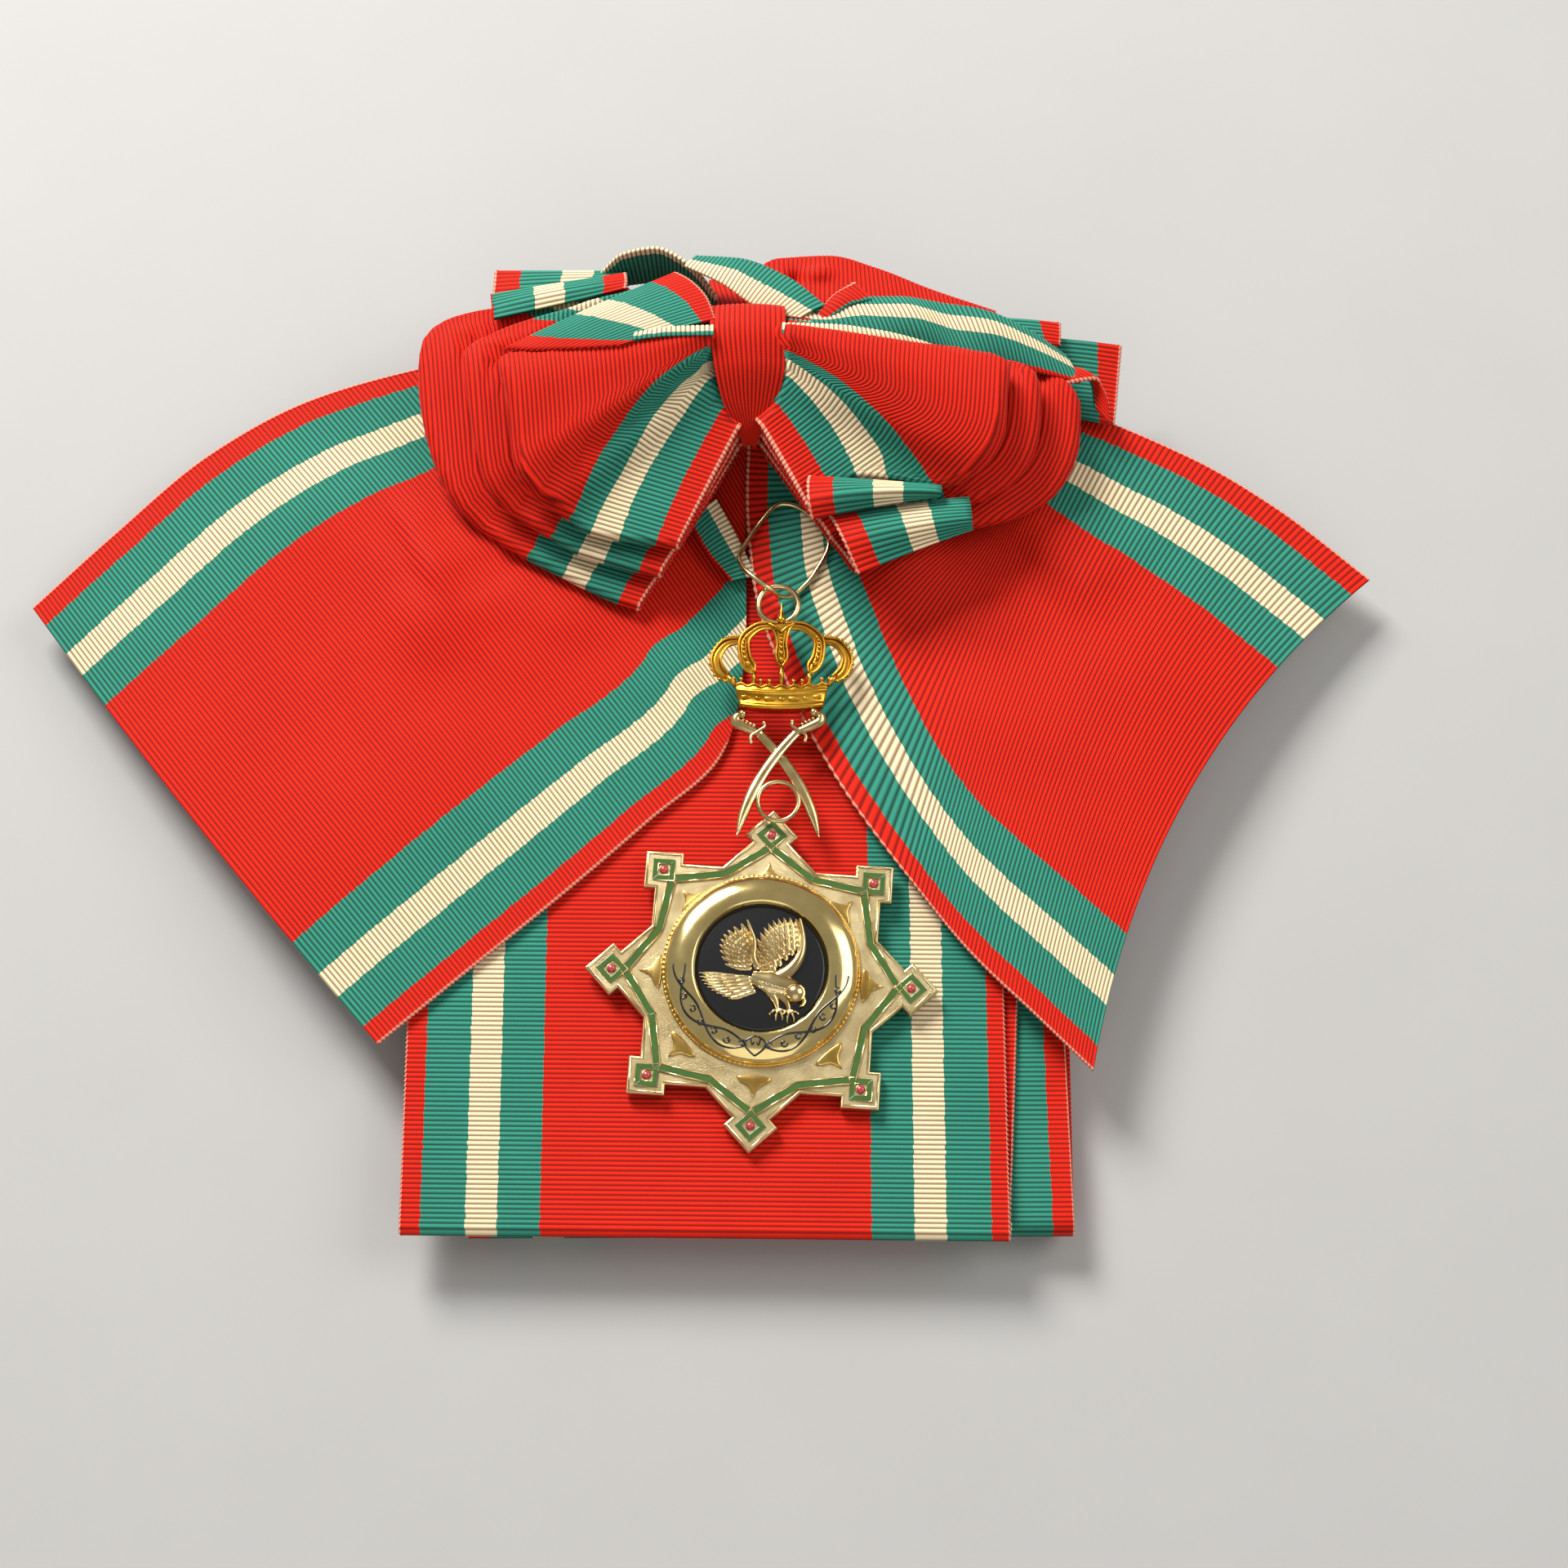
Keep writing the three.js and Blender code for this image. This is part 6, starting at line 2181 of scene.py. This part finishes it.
@dataclass
class Raptor:
    """Bird of prey in gilt relief, with raised wings and spread tail."""

    seat: float = 3.7

    def build(self) -> None:
        """Makes the bird."""
        parts = MeshParts()
        s = self.seat
        Plumage(
            ((-1.0, -0.9), (-0.6, 2.4)),
            ((-5.6, -0.5), (-9.8, 5.2), (-3.2, 7.6)),
            ((1.0, 9, 1.25), (0.78, 9, 1.1), (0.58, 8, 1.0), (0.4, 6, 0.9)),
            s,
        ).build(parts)
        Plumage(
            ((1.4, -2.8), (6.6, 3.2)),
            ((-1.9, 1.4), (-0.6, 10.2), (5.8, 8.6)),
            ((1.0, 11, 1.2), (0.8, 10, 1.15), (0.62, 9, 1.1), (0.44, 8, 1.05), (0.27, 6, 1.0)),
            s + 0.12,
        ).build(parts)
        Plumage(
            ((-0.2, -1.7), (0.2, -4.3)),
            ((-10.3, -1.3), (-10.0, -4.4), (-4.4, -5.9)),
            ((1.0, 9, 0.95), (0.72, 7, 0.9), (0.45, 5, 0.95)),
            s,
        ).build(parts)
        lead = [(1.4, -2.7), (3.8, -1.2), (5.5, 0.6), (6.5, 2.9), (6.6, 5.6), (5.9, 8.6)]
        lead = smooth_line(lead, 8)
        lobe(parts, lead, np.linspace(3.0, 0.5, len(lead)), s + 0.5, 0.8)
        far = smooth_line([(-0.4, -0.4), (-1.4, 1.6), (-1.5, 4.6), (-2.9, 7.9)], 8)
        lobe(parts, far, np.linspace(1.5, 0.45, len(far)), s + 0.2, 0.6)
        body = smooth_line([(-1.4, -1.8), (0.8, -2.4), (3.0, -2.9), (4.9, -3.3), (6.1, -4.1)], 8)
        swell = np.interp(np.linspace(0, 1, len(body)), [0, 0.35, 0.7, 1], [2.0, 4.6, 3.9, 3.0])
        lobe(parts, body, swell, s + 0.1, 1.55)
        for row in range(5):
            for k in range(4):
                x = 0.2 + row * 1.05
                y = -1.2 - 0.24 * row - k * 0.78
                feather = np.array([(x - 0.45, y), (x, y - 0.06), (x + 0.55, y - 0.18)])
                across = abs(k - 1.5) / 2.4
                lobe(parts, feather, [0.5, 0.8, 0.15], s + 1.25 - 0.7 * across**2, 0.36)
        ball(parts, (6.0, -4.2, s + 1.0), 1.75, 0.75)
        ball(parts, (6.75, -3.95, s + 1.75), 0.2)
        beak = smooth_line([(6.9, -4.6), (7.5, -5.3), (7.3, -6.1), (6.9, -6.5)], 5)
        lobe(parts, beak, np.linspace(1.2, 0.15, len(beak)), s + 0.5, 0.8)
        for root, foot in (((1.6, -3.9), (3.3, -7.1)), ((3.6, -4.3), (5.2, -7.2))):
            knee = ((root[0] + foot[0]) / 2 + 0.3, (root[1] + foot[1]) / 2)
            leg = smooth_line([root, knee, foot], 6)
            lobe(parts, leg, np.linspace(2.0, 0.7, len(leg)), s + 0.1, 0.95)
            for dx, dy in ((-1.5, -1.1), (-0.3, -1.9), (1.0, -1.7), (1.7, -0.4)):
                x, y = foot
                toe = [(x, y, s + 0.7), (x + dx * 0.5, y + dy * 0.35, s + 0.95)]
                toe += [(x + dx * 0.85, y + dy * 0.75, s + 0.6), (x + dx * 0.8, y + dy, s + 0.25)]
                curve = smooth_line(toe, 5)
                tube(parts, curve, np.linspace(0.26, 0.09, len(curve)), 7)
        parts.build("medallion_raptor", Finish.PALE_GILT, "raptor", place=on_dome)


class Pearls(Enum):
    """Where an arch's pearls are: down its middle, or along its outer edge."""

    MIDDLE = "middle"
    OUTER = "outer"


@dataclass
class Crown:
    """Crown in relief: moulded band, pearled rim and five arches with raised borders."""

    half_low: float = 7.05
    half_high: float = 8.1
    height: float = 4.2
    sag: float = 0.85
    relief: float = 2.5

    def front(self, t: Array, up: Array) -> Array:
        """Points on the band's rounded front.

        Args:
            t: places across, from -1 to 1.
            up: heights up the band, from 0 to 1.

        Returns:
            Points in the crown's frame.
        """
        half = self.half_low + (self.half_high - self.half_low) * up
        y = up * self.height - self.sag * (1 - t * t)
        z = 0.9 + (self.relief - 0.9) * np.sqrt(np.maximum(1 - (0.94 * t) ** 2, 0))
        return np.stack([t * half, y, z], axis=-1)

    def arch(
        self, parts: MeshParts, beads: MeshParts, rows: Sequence[Sequence[float]], pearl: Pearls
    ) -> None:
        """Adds one flat arch with raised borders and a row of pearls.

        Args:
            parts: the metalwork's gathered pieces.
            beads: the pearls' gathered pieces.
            rows: its stations from the top to the foot: x, y, z and width.
            pearl: where the pearls are.
        """
        way = smooth_line(rows, 8)
        flat, z, width = way[:, :2], way[:, 2], way[:, 3]
        lobe(parts, flat, width, z - 0.6, 0.5)
        aside = sideways(flat)
        for side in (-1, 1):
            edge = flat + aside * (side * (width / 2 - 0.05))[:, None]
            tube(parts, np.column_stack([edge, z + 0.08]), 0.23, 8)
        long = running(np.linalg.norm(np.diff(flat, axis=0), axis=1))
        if pearl is Pearls.MIDDLE:
            sizes = [0.22, 0.25, 0.29, 0.33, 0.38, 0.44, 0.55]
            place = long[-1] * 0.86
            for size in sizes[::-1]:
                at = [np.interp(place, long, column) for column in (flat[:, 0], flat[:, 1], z)]
                ball(beads, (at[0], at[1], at[2] + 0.12), size)
                place -= size * 2.25
        else:
            hand = -1 if rows[-1][0] < 0 else 1
            for place in np.arange(0.5, long[-1] - 0.3, 0.82):
                at = [np.interp(place, long, col) for col in (flat[:, 0], flat[:, 1], z, width)]
                side = [np.interp(place, long, aside[:, c]) for c in (0, 1)]
                reach = abs(at[3]) / 2 + 0.12
                reach *= 1 if side[0] * hand + side[1] * 0.4 > 0 else -1
                ball(beads, (at[0] + side[0] * reach, at[1] + side[1] * reach, at[2]), 0.34)

    def build(self) -> None:
        """Makes the crown."""
        parts, beads = MeshParts(), MeshParts()
        inner = [
            (0.7, 14.3, 2.7, 1.2),
            (3.8, 14.2, 2.6, 1.4),
            (6.3, 12.0, 2.4, 1.7),
            (6.3, 8.9, 2.4, 1.9),
            (5.4, 6.9, 2.4, 2.0),
            (4.75, 5.9, 2.4, 0.5),
        ]
        outer = [
            (6.9, 12.3, 1.2, 1.1),
            (9.5, 11.7, 1.3, 1.5),
            (11.2, 9.3, 1.4, 1.7),
            (10.9, 6.9, 1.4, 1.8),
            (9.9, 5.7, 1.4, 1.7),
            (8.9, 5.2, 1.4, 0.9),
        ]
        centre = [
            (0.0, 14.6, 2.9, 4.4),
            (0.0, 13.4, 2.9, 2.8),
            (0.0, 11.2, 2.8, 1.7),
            (0.0, 9.2, 2.7, 2.1),
            (0.0, 8.0, 2.6, 1.7),
            (0.0, 7.0, 2.5, 0.4),
        ]
        for side in (-1, 1):
            for rows, pearl in ((inner, Pearls.MIDDLE), (outer, Pearls.OUTER)):
                self.arch(parts, beads, [(side * x, *rest) for x, *rest in rows], pearl)
            tube(parts, np.array([(side * 4.75, 6.3, 2.1), (side * 4.75, 3.9, 1.9)]), 0.38, 8)
            tube(parts, np.array([(side * 9.4, 5.8, 1.4), (side * 7.9, 4.0, 1.4)]), 0.5, 8)
        self.arch(parts, beads, centre, Pearls.MIDDLE)
        tube(parts, np.array([(0, 7.4, 2.3), (0, 3.6, 2.1)]), 0.4, 8)
        for side in (-1, 1):
            notch = [(0.0, 13.0, 3.3), (side * 1.0, 13.9, 3.3), (side * 2.2, 14.7, 3.0)]
            tube(parts, smooth_line(notch, 6), 0.2, 8)
        self.band(parts, beads)
        drop = [(0.01, 0.0), (0.62, 0.5), (0.78, 1.0), (0.55, 1.7), (0.3, 2.4), (0.2, 3.1)]
        turn = MeshParts()
        lathe(turn, smooth_line([*drop, (0.05, 4.2)], 4), 20)
        points = np.concatenate(turn.points)
        upright = np.stack([points[:, 0], 14.5 + points[:, 2], 2.6 + points[:, 1]], axis=-1)
        parts.add(upright, outward(upright, turn.faces))
        angle = np.linspace(0, 2 * np.pi, 32, endpoint=False)
        y, z = EYE_UP + 1.12 * np.cos(angle), 0.6 + 1.12 * np.sin(angle)
        tube(parts, np.column_stack([0 * angle, y, z]), 0.35, 10, True)
        for gathered, name in ((parts, "crown_body"), (beads, "crown_pearls")):
            gathered.build(name, Finish.DEEP_GILT, "crown", place=on_upper(CROWN_UP))

    def band(self, parts: MeshParts, beads: MeshParts) -> None:
        """Adds the moulded band, its lozenges, the wavy rim and the pearls over it.

        Args:
            parts: the metalwork's gathered pieces.
            beads: the pearls' gathered pieces.
        """
        ups = [0.0, 0.02, 0.06, 0.17, 0.2, 0.23, 0.27, 0.62, 0.66, 0.7, 0.76, 0.8, 0.86, 1.0]
        out = [-0.2, 0.2, 0.32, 0.32, 0.1, 0.05, 0.0, 0.0, 0.08, 0.26, 0.28, 0.1, 0.04, 0.0]
        ups, out = np.array(ups), np.array(out)
        t = np.linspace(-1, 1, 73)
        grid = self.front(t[None, :] + 0 * ups[:, None], ups[:, None] + 0 * t[None, :])
        grid[..., 2] += out[:, None]
        wave = 0.22 * np.cos(t * math.pi * 7)
        grid[-1, :, 1] += wave
        grid[-2, :, 1] += wave * 0.3
        back = grid.copy()
        back[..., 2] = 0.2
        points = np.concatenate([grid.reshape(-1, 3), back.reshape(-1, 3)])
        rows, columns = grid.shape[:2]
        top = np.arange(rows * columns).reshape(rows, columns)
        low = top + rows * columns
        faces = grid_quads(top) + [face[::-1] for face in grid_quads(low)]
        for i in range(rows - 1):
            faces.append((top[i, 0], low[i, 0], low[i + 1, 0], top[i + 1, 0]))
            faces.append((top[i, -1], top[i + 1, -1], low[i + 1, -1], low[i, -1]))
        for j in range(columns - 1):
            faces.append((top[0, j], top[0, j + 1], low[0, j + 1], low[0, j]))
            faces.append((top[-1, j], low[-1, j], low[-1, j + 1], top[-1, j + 1]))
        parts.add(points, outward(points, faces))
        rim = self.front(t, 0 * t + 1.0)
        rim[:, 1] += wave
        tube(parts, rim, 0.2, 8)
        for number, place in enumerate(np.linspace(-0.82, 0.82, 7)):
            middle = self.front(np.array([place]), np.array([0.445]))[0]
            if number % 2:
                long, tall = 0.62, 0.34
                corners = [(long, 0), (0, tall), (-long, 0), (0, -tall)]
            else:
                corners = [(0.95, 0.12), (0.8, 0.34), (-0.8, 0.34), (-0.95, 0.12)]
                corners += [(-0.95, -0.12), (-0.8, -0.34), (0.8, -0.34), (0.95, -0.12)]
            shape = np.array(corners) * [1 - 0.3 * abs(place), 1] + middle[:2]
            plate(parts, shape, middle[2] - 0.3, middle[2] + 0.28, 0.14)
        for x in (-6.9, -3.55, -2.05, 2.05, 3.55, 6.9, -8.2, 8.2):
            place = x / self.half_high
            foot = self.front(np.array([place]), np.array([1.0]))[0]
            stem = np.array([foot, foot + [0, 0.62, 0.1]])
            tube(parts, stem, 0.16, 7)
            ball(beads, foot + [0, 0.85, 0.15], 0.38)


@dataclass
class Sabres:
    """Two crossed curved sabres with a plain ring between their blades."""

    drop: float = 15.0
    ring: float = 3.45
    ring_wire: float = 0.42
    ring_place: float = 8.8

    def build(self) -> None:
        """Makes the pair."""
        parts = MeshParts()
        t = np.linspace(0, 1, 26)[:, None]
        for side in (-1, 1):
            a = np.array([3.5 * side, 3.9])
            b = np.array([-5.0 * side, -4.9])
            c = np.array([-6.95 * side, -15.0])
            line = a * (1 - t) ** 2 + 2 * b * t * (1 - t) + c * t**2
            wide = [1.7, 1.95, 2.1, 1.75, 0.8, 0.15]
            width = np.interp(t[:, 0], [0, 0.3, 0.6, 0.8, 0.95, 1], wide)
            low = 0.1 if side < 0 else 0.85
            lobe(parts, line, width, low, 0.75)
            # Raised back of the blade.
            spine = line + sideways(line) * (side * width * 0.36)[:, None]
            path = np.column_stack([spine, 0 * width + low + 0.5])
            tube(parts, path, np.maximum(width * 0.13, 0.05), 8)
            grip = [(3.2, 3.6), (4.5, 4.2), (6.0, 4.9), (7.1, 5.6), (7.1, 6.6), (6.3, 7.0)]
            hilt = smooth_line([(side * x, y) for x, y in grip], 6)
            wide = np.interp(np.linspace(0, 1, len(hilt)), [0, 0.45, 0.75, 1], [1.5, 2.0, 1.9, 1.2])
            lobe(parts, hilt, wide, low, 1.0)
            ball(parts, (side * 6.1, 7.0, low + 0.8), 0.78)
            for k in range(4):
                ball(parts, (side * (4.1 + 0.62 * k), 5.0 + 0.34 * k, low + 0.5), 0.32)
            guard = [(2.4, 5.3), (2.35, 4.6), (3.0, 4.1), (3.7, 3.6), (4.5, 3.1), (4.75, 2.5)]
            guard += [(4.6, 1.8)]
            curve = smooth_line([(side * x, y, low + 0.95) for x, y in guard], 6)
            tube(parts, curve, 0.3, 8)
            for end in (curve[0], curve[-1]):
                ball(parts, end, 0.36)
        tube(parts, circle(self.ring, 72, (0, -self.ring_place, 1.2)), self.ring_wire, 12, True)
        place = on_upper(SABRES_UP)
        parts.build("sabres_body", Finish.PALE_GILT, "crossed_sabres", place=place)


BAIL_WAY = Table(
    "x y rise",
    (-0.019, 0.469, 0.000),
    (-0.049, 0.430, 0.000),
    (-0.077, 0.375, 0.012),
    (-0.074, 0.345, 0.030),
    (-0.058, 0.322, 0.044),
    (-0.036, 0.303, 0.046),
    (-0.022, 0.295, 0.040),
    (-0.010, 0.290, 0.026),
    (0.002, 0.293, 0.012),
    (0.017, 0.301, 0.003),
    (0.034, 0.318, 0.000),
    (0.054, 0.344, 0.000),
    (0.078, 0.394, 0.000),
    (0.068, 0.432, 0.000),
    (0.034, 0.464, 0.000),
    (0.006, 0.476, 0.000),
)


@dataclass
class Links:
    """Jump ring through the crown's eye, and the wire bail through the jump ring."""

    jump_x: float = -1.0
    jump_radius: float = 3.45
    jump_wire: float = 0.475
    bail_wire: float = 0.42
    bail_seat: float = RIGHT_TAIL_SEAT + CLOTH_WALL / 2 + LAYER_GAP + 0.4

    def build(self) -> None:
        """Makes both wires."""
        eye = on_upper(CROWN_UP)(np.array([[0.0, EYE_UP, 0.6]]))[0]
        parts = MeshParts()
        middle = (self.jump_x, eye[1] + self.jump_radius, eye[2])
        tube(parts, circle(self.jump_radius, 96, middle), self.jump_wire, 14, True)
        parts.build("jump_ring_wire", Finish.PALE_GILT, "jump_ring")
        way = BAIL_WAY.values * WIDTH
        way[:, 2] += self.bail_seat
        parts = MeshParts()
        tube(parts, smooth_line(way, 12, True), self.bail_wire, 12, True)
        parts.build("bail_wire_loop", Finish.PALE_GILT, "wire_bail")


# --------------------------------------------------------------------------- room, light, camera


@dataclass(frozen=True)
class Studio:
    """Pale table, soft light from above and the camera that looks down on the sash."""

    table_half: float = 1.6
    sky: float = 0.38
    camera_height: float = 0.5215
    camera_back: float = 0.1898
    view_degrees: float = 27.8
    lights: tuple[tuple[tuple[float, float, float], float, float], ...] = (
        ((-0.45, 0.75, 0.75), 0.45, 20.0),
        ((0.8, 0.25, 0.8), 0.7, 5.0),
        ((0.0, -0.8, 0.7), 0.9, 2.2),
    )

    def build(self) -> None:
        """Makes the table, the lights, the world and the camera."""
        middle = Vector((float(FRAME.shift[0]) * MM, float(FRAME.shift[1]) * MM, 0.0))
        half = self.table_half
        mesh = bpy.data.meshes.new("table_top")
        corners = [(-half, -half, 0), (half, -half, 0), (half, half, 0), (-half, half, 0)]
        mesh.from_pydata(corners, [], [(0, 1, 2, 3)])
        mesh.materials.append(PaintedTable().make())
        floor = bpy.data.objects.new("table_top", mesh)
        bpy.context.collection.objects.link(floor)
        for k, (place, size, power) in enumerate(self.lights):
            lamp = bpy.data.lights.new(f"soft_light_{k}", "AREA")
            lamp.size = size
            lamp.energy = power
            light = bpy.data.objects.new(lamp.name, lamp)
            light.location = middle + Vector(place)
            light.rotation_euler = (middle - light.location).to_track_quat("-Z", "Y").to_euler()
            bpy.context.collection.objects.link(light)
        world = bpy.data.worlds.new("soft_room")
        world.use_nodes = True
        sky = world.node_tree.nodes["Background"]
        sky.inputs[0].default_value = linear("#f3f2ef")
        sky.inputs[1].default_value = self.sky
        bpy.context.scene.world = world
        data = bpy.data.cameras.new("camera")
        data.angle = math.radians(self.view_degrees)
        camera = bpy.data.objects.new("camera", data)
        camera.location = middle + Vector((0, -self.camera_back, self.camera_height))
        camera.rotation_euler = (middle - camera.location).to_track_quat("-Z", "Y").to_euler()
        bpy.context.collection.objects.link(camera)
        bpy.context.scene.camera = camera
        # Dyed silk keeps its full colour only without a filmic curve.
        bpy.context.scene.view_settings.view_transform = "Standard"


def laid_cloth() -> list[Laid]:
    """Lists the sheets laid by stations: tails and gathered cloth behind the knot.

    Returns:
        The sheets, in the order that they are built in.
    """
    tail = {"gathered": 3.0, "coarse": (90, 60)}
    left = {"dents": LEFT_TAIL_DENTS, "creases": LEFT_TAIL_CREASES, "folded": LEFT_TAIL_FOLDED}
    right = {"dents": RIGHT_TAIL_DENTS, "creases": RIGHT_TAIL_CREASES}
    left |= {"droop": 0.080, **tail}
    right |= {"droop": 0.130, **tail}
    arch = {"finish": Finish.GREEN_RIBBON, "middle": 16, "coarse": (40, 16)}
    mass = {"dents": TOP_MASS_DENTS, "middle": 24, "coarse": (60, 30)}
    low, high, top, few = LEFT_TAIL_SEAT, RIGHT_TAIL_SEAT, LEFT_BOW_SEAT, {"middle": 10}
    rows = (
        ("tail_left", "", LEFT_TAIL, low, (0.0, 1.0), left),
        ("tail_right", "", RIGHT_TAIL, high, (0.0, 1.0), right),
        ("bow_top_arch", "", TOP_ARCH, top, (0.884, 0.957), arch),
        ("bow_top_mass", "", TOP_MASS, top, (0.62, 0.80), mass),
        ("tail_right", "_gathered", RIGHT_TAIL_GATHER, high, (0.02, 0.20), few),
    )
    return [
        Laid(f"{node}{word}_cloth", table, seat, (node,), *shares, **more)
        for node, word, table, seat, shares, more in rows
    ]


def seen_cloth() -> list[SeenSheet]:
    """Lists the gathered cloth's small sheets: fan, rolls, flags and rolled ends.

    Returns:
        The sheets, in the order that they are built in.
    """
    end = {"nodes": ("bow_left_end",), "finish": Finish.GREEN_RIBBON}
    fold = {"nodes": ("bow_top_fold",), "finish": Finish.GREEN_RIBBON}
    rows = (
        ("bow_left_fan_cloth", LEFT_FAN, 1.0, 0.735, {}),
        ("tail_left_throat_strip", THROAT_STRIP, 0.765, 0.892, {}),
        ("bow_top_hollow_cloth", HOLLOW, 0.70, 0.60, {}),
        ("bow_left_ridge_roll", LEFT_RIDGE_ROLL, 0.87, 0.905, {}),
        ("bow_right_ridge_roll", RIGHT_RIDGE_ROLL, 0.87, 0.905, {}),
        ("bow_left_flag_behind", FLAG_BEHIND, 0.0, 0.215, end),
        ("bow_left_flag_before", FLAG_BEFORE, 0.771, 1.0, end),
        ("bow_top_fold_cloth", TURNED_FOLD, 0.925, 0.862, fold),
        ("bow_top_flap", FRAYED_FLAP, 1.0, 0.955, {}),
        ("bow_top_wave", WAVE_BEFORE, 0.80, 0.978, {"nodes": ("bow_top_mass",)}),
        ("bow_right_flag_upper", FLAG_RIGHT_UPPER, 0.86, 1.0, {}),
        ("bow_right_flag_lower", FLAG_RIGHT_LOWER, 0.885, 1.0, {}),
        ("bow_right_lip", RIGHT_LIP, 0.955, 1.0, {}),
        ("bow_right_rolled_end_lower", ROLLED_END_LOWER, 0.0, 0.229, {}),
        ("bow_right_rolled_end_upper", ROLLED_END_UPPER, 0.0, 0.225, {}),
    )
    return [
        SeenSheet(name, table, first_share=first, last_share=last, **more)
        for name, table, first, last, more in rows
    ]


def main() -> None:
    """Builds the sash piece by piece."""
    logging.basicConfig(level=logging.INFO, format="%(name)s: %(message)s")
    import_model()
    FRAME.find(*STAR_MIDDLE)
    LOG.info("frame shift %s", FRAME.shift)
    Band(BAND_FOLDS).build()
    for sheet in [*laid_cloth(), *seen_cloth()]:
        sheet.build()
    BowSide("bow_left", LEFT_BOW, LEFT_BOW_SEAT, creases=LEFT_BOW_CREASES).build()
    BowSide("bow_right", RIGHT_BOW, RIGHT_BOW_SEAT, creases=RIGHT_BOW_CREASES).build()
    Knot(KNOT).build()
    Medallion().build()
    Raptor().build()
    Crown().build()
    Sabres().build()
    Links().build()
    Studio().build()


if __name__ == "__main__":
    main()
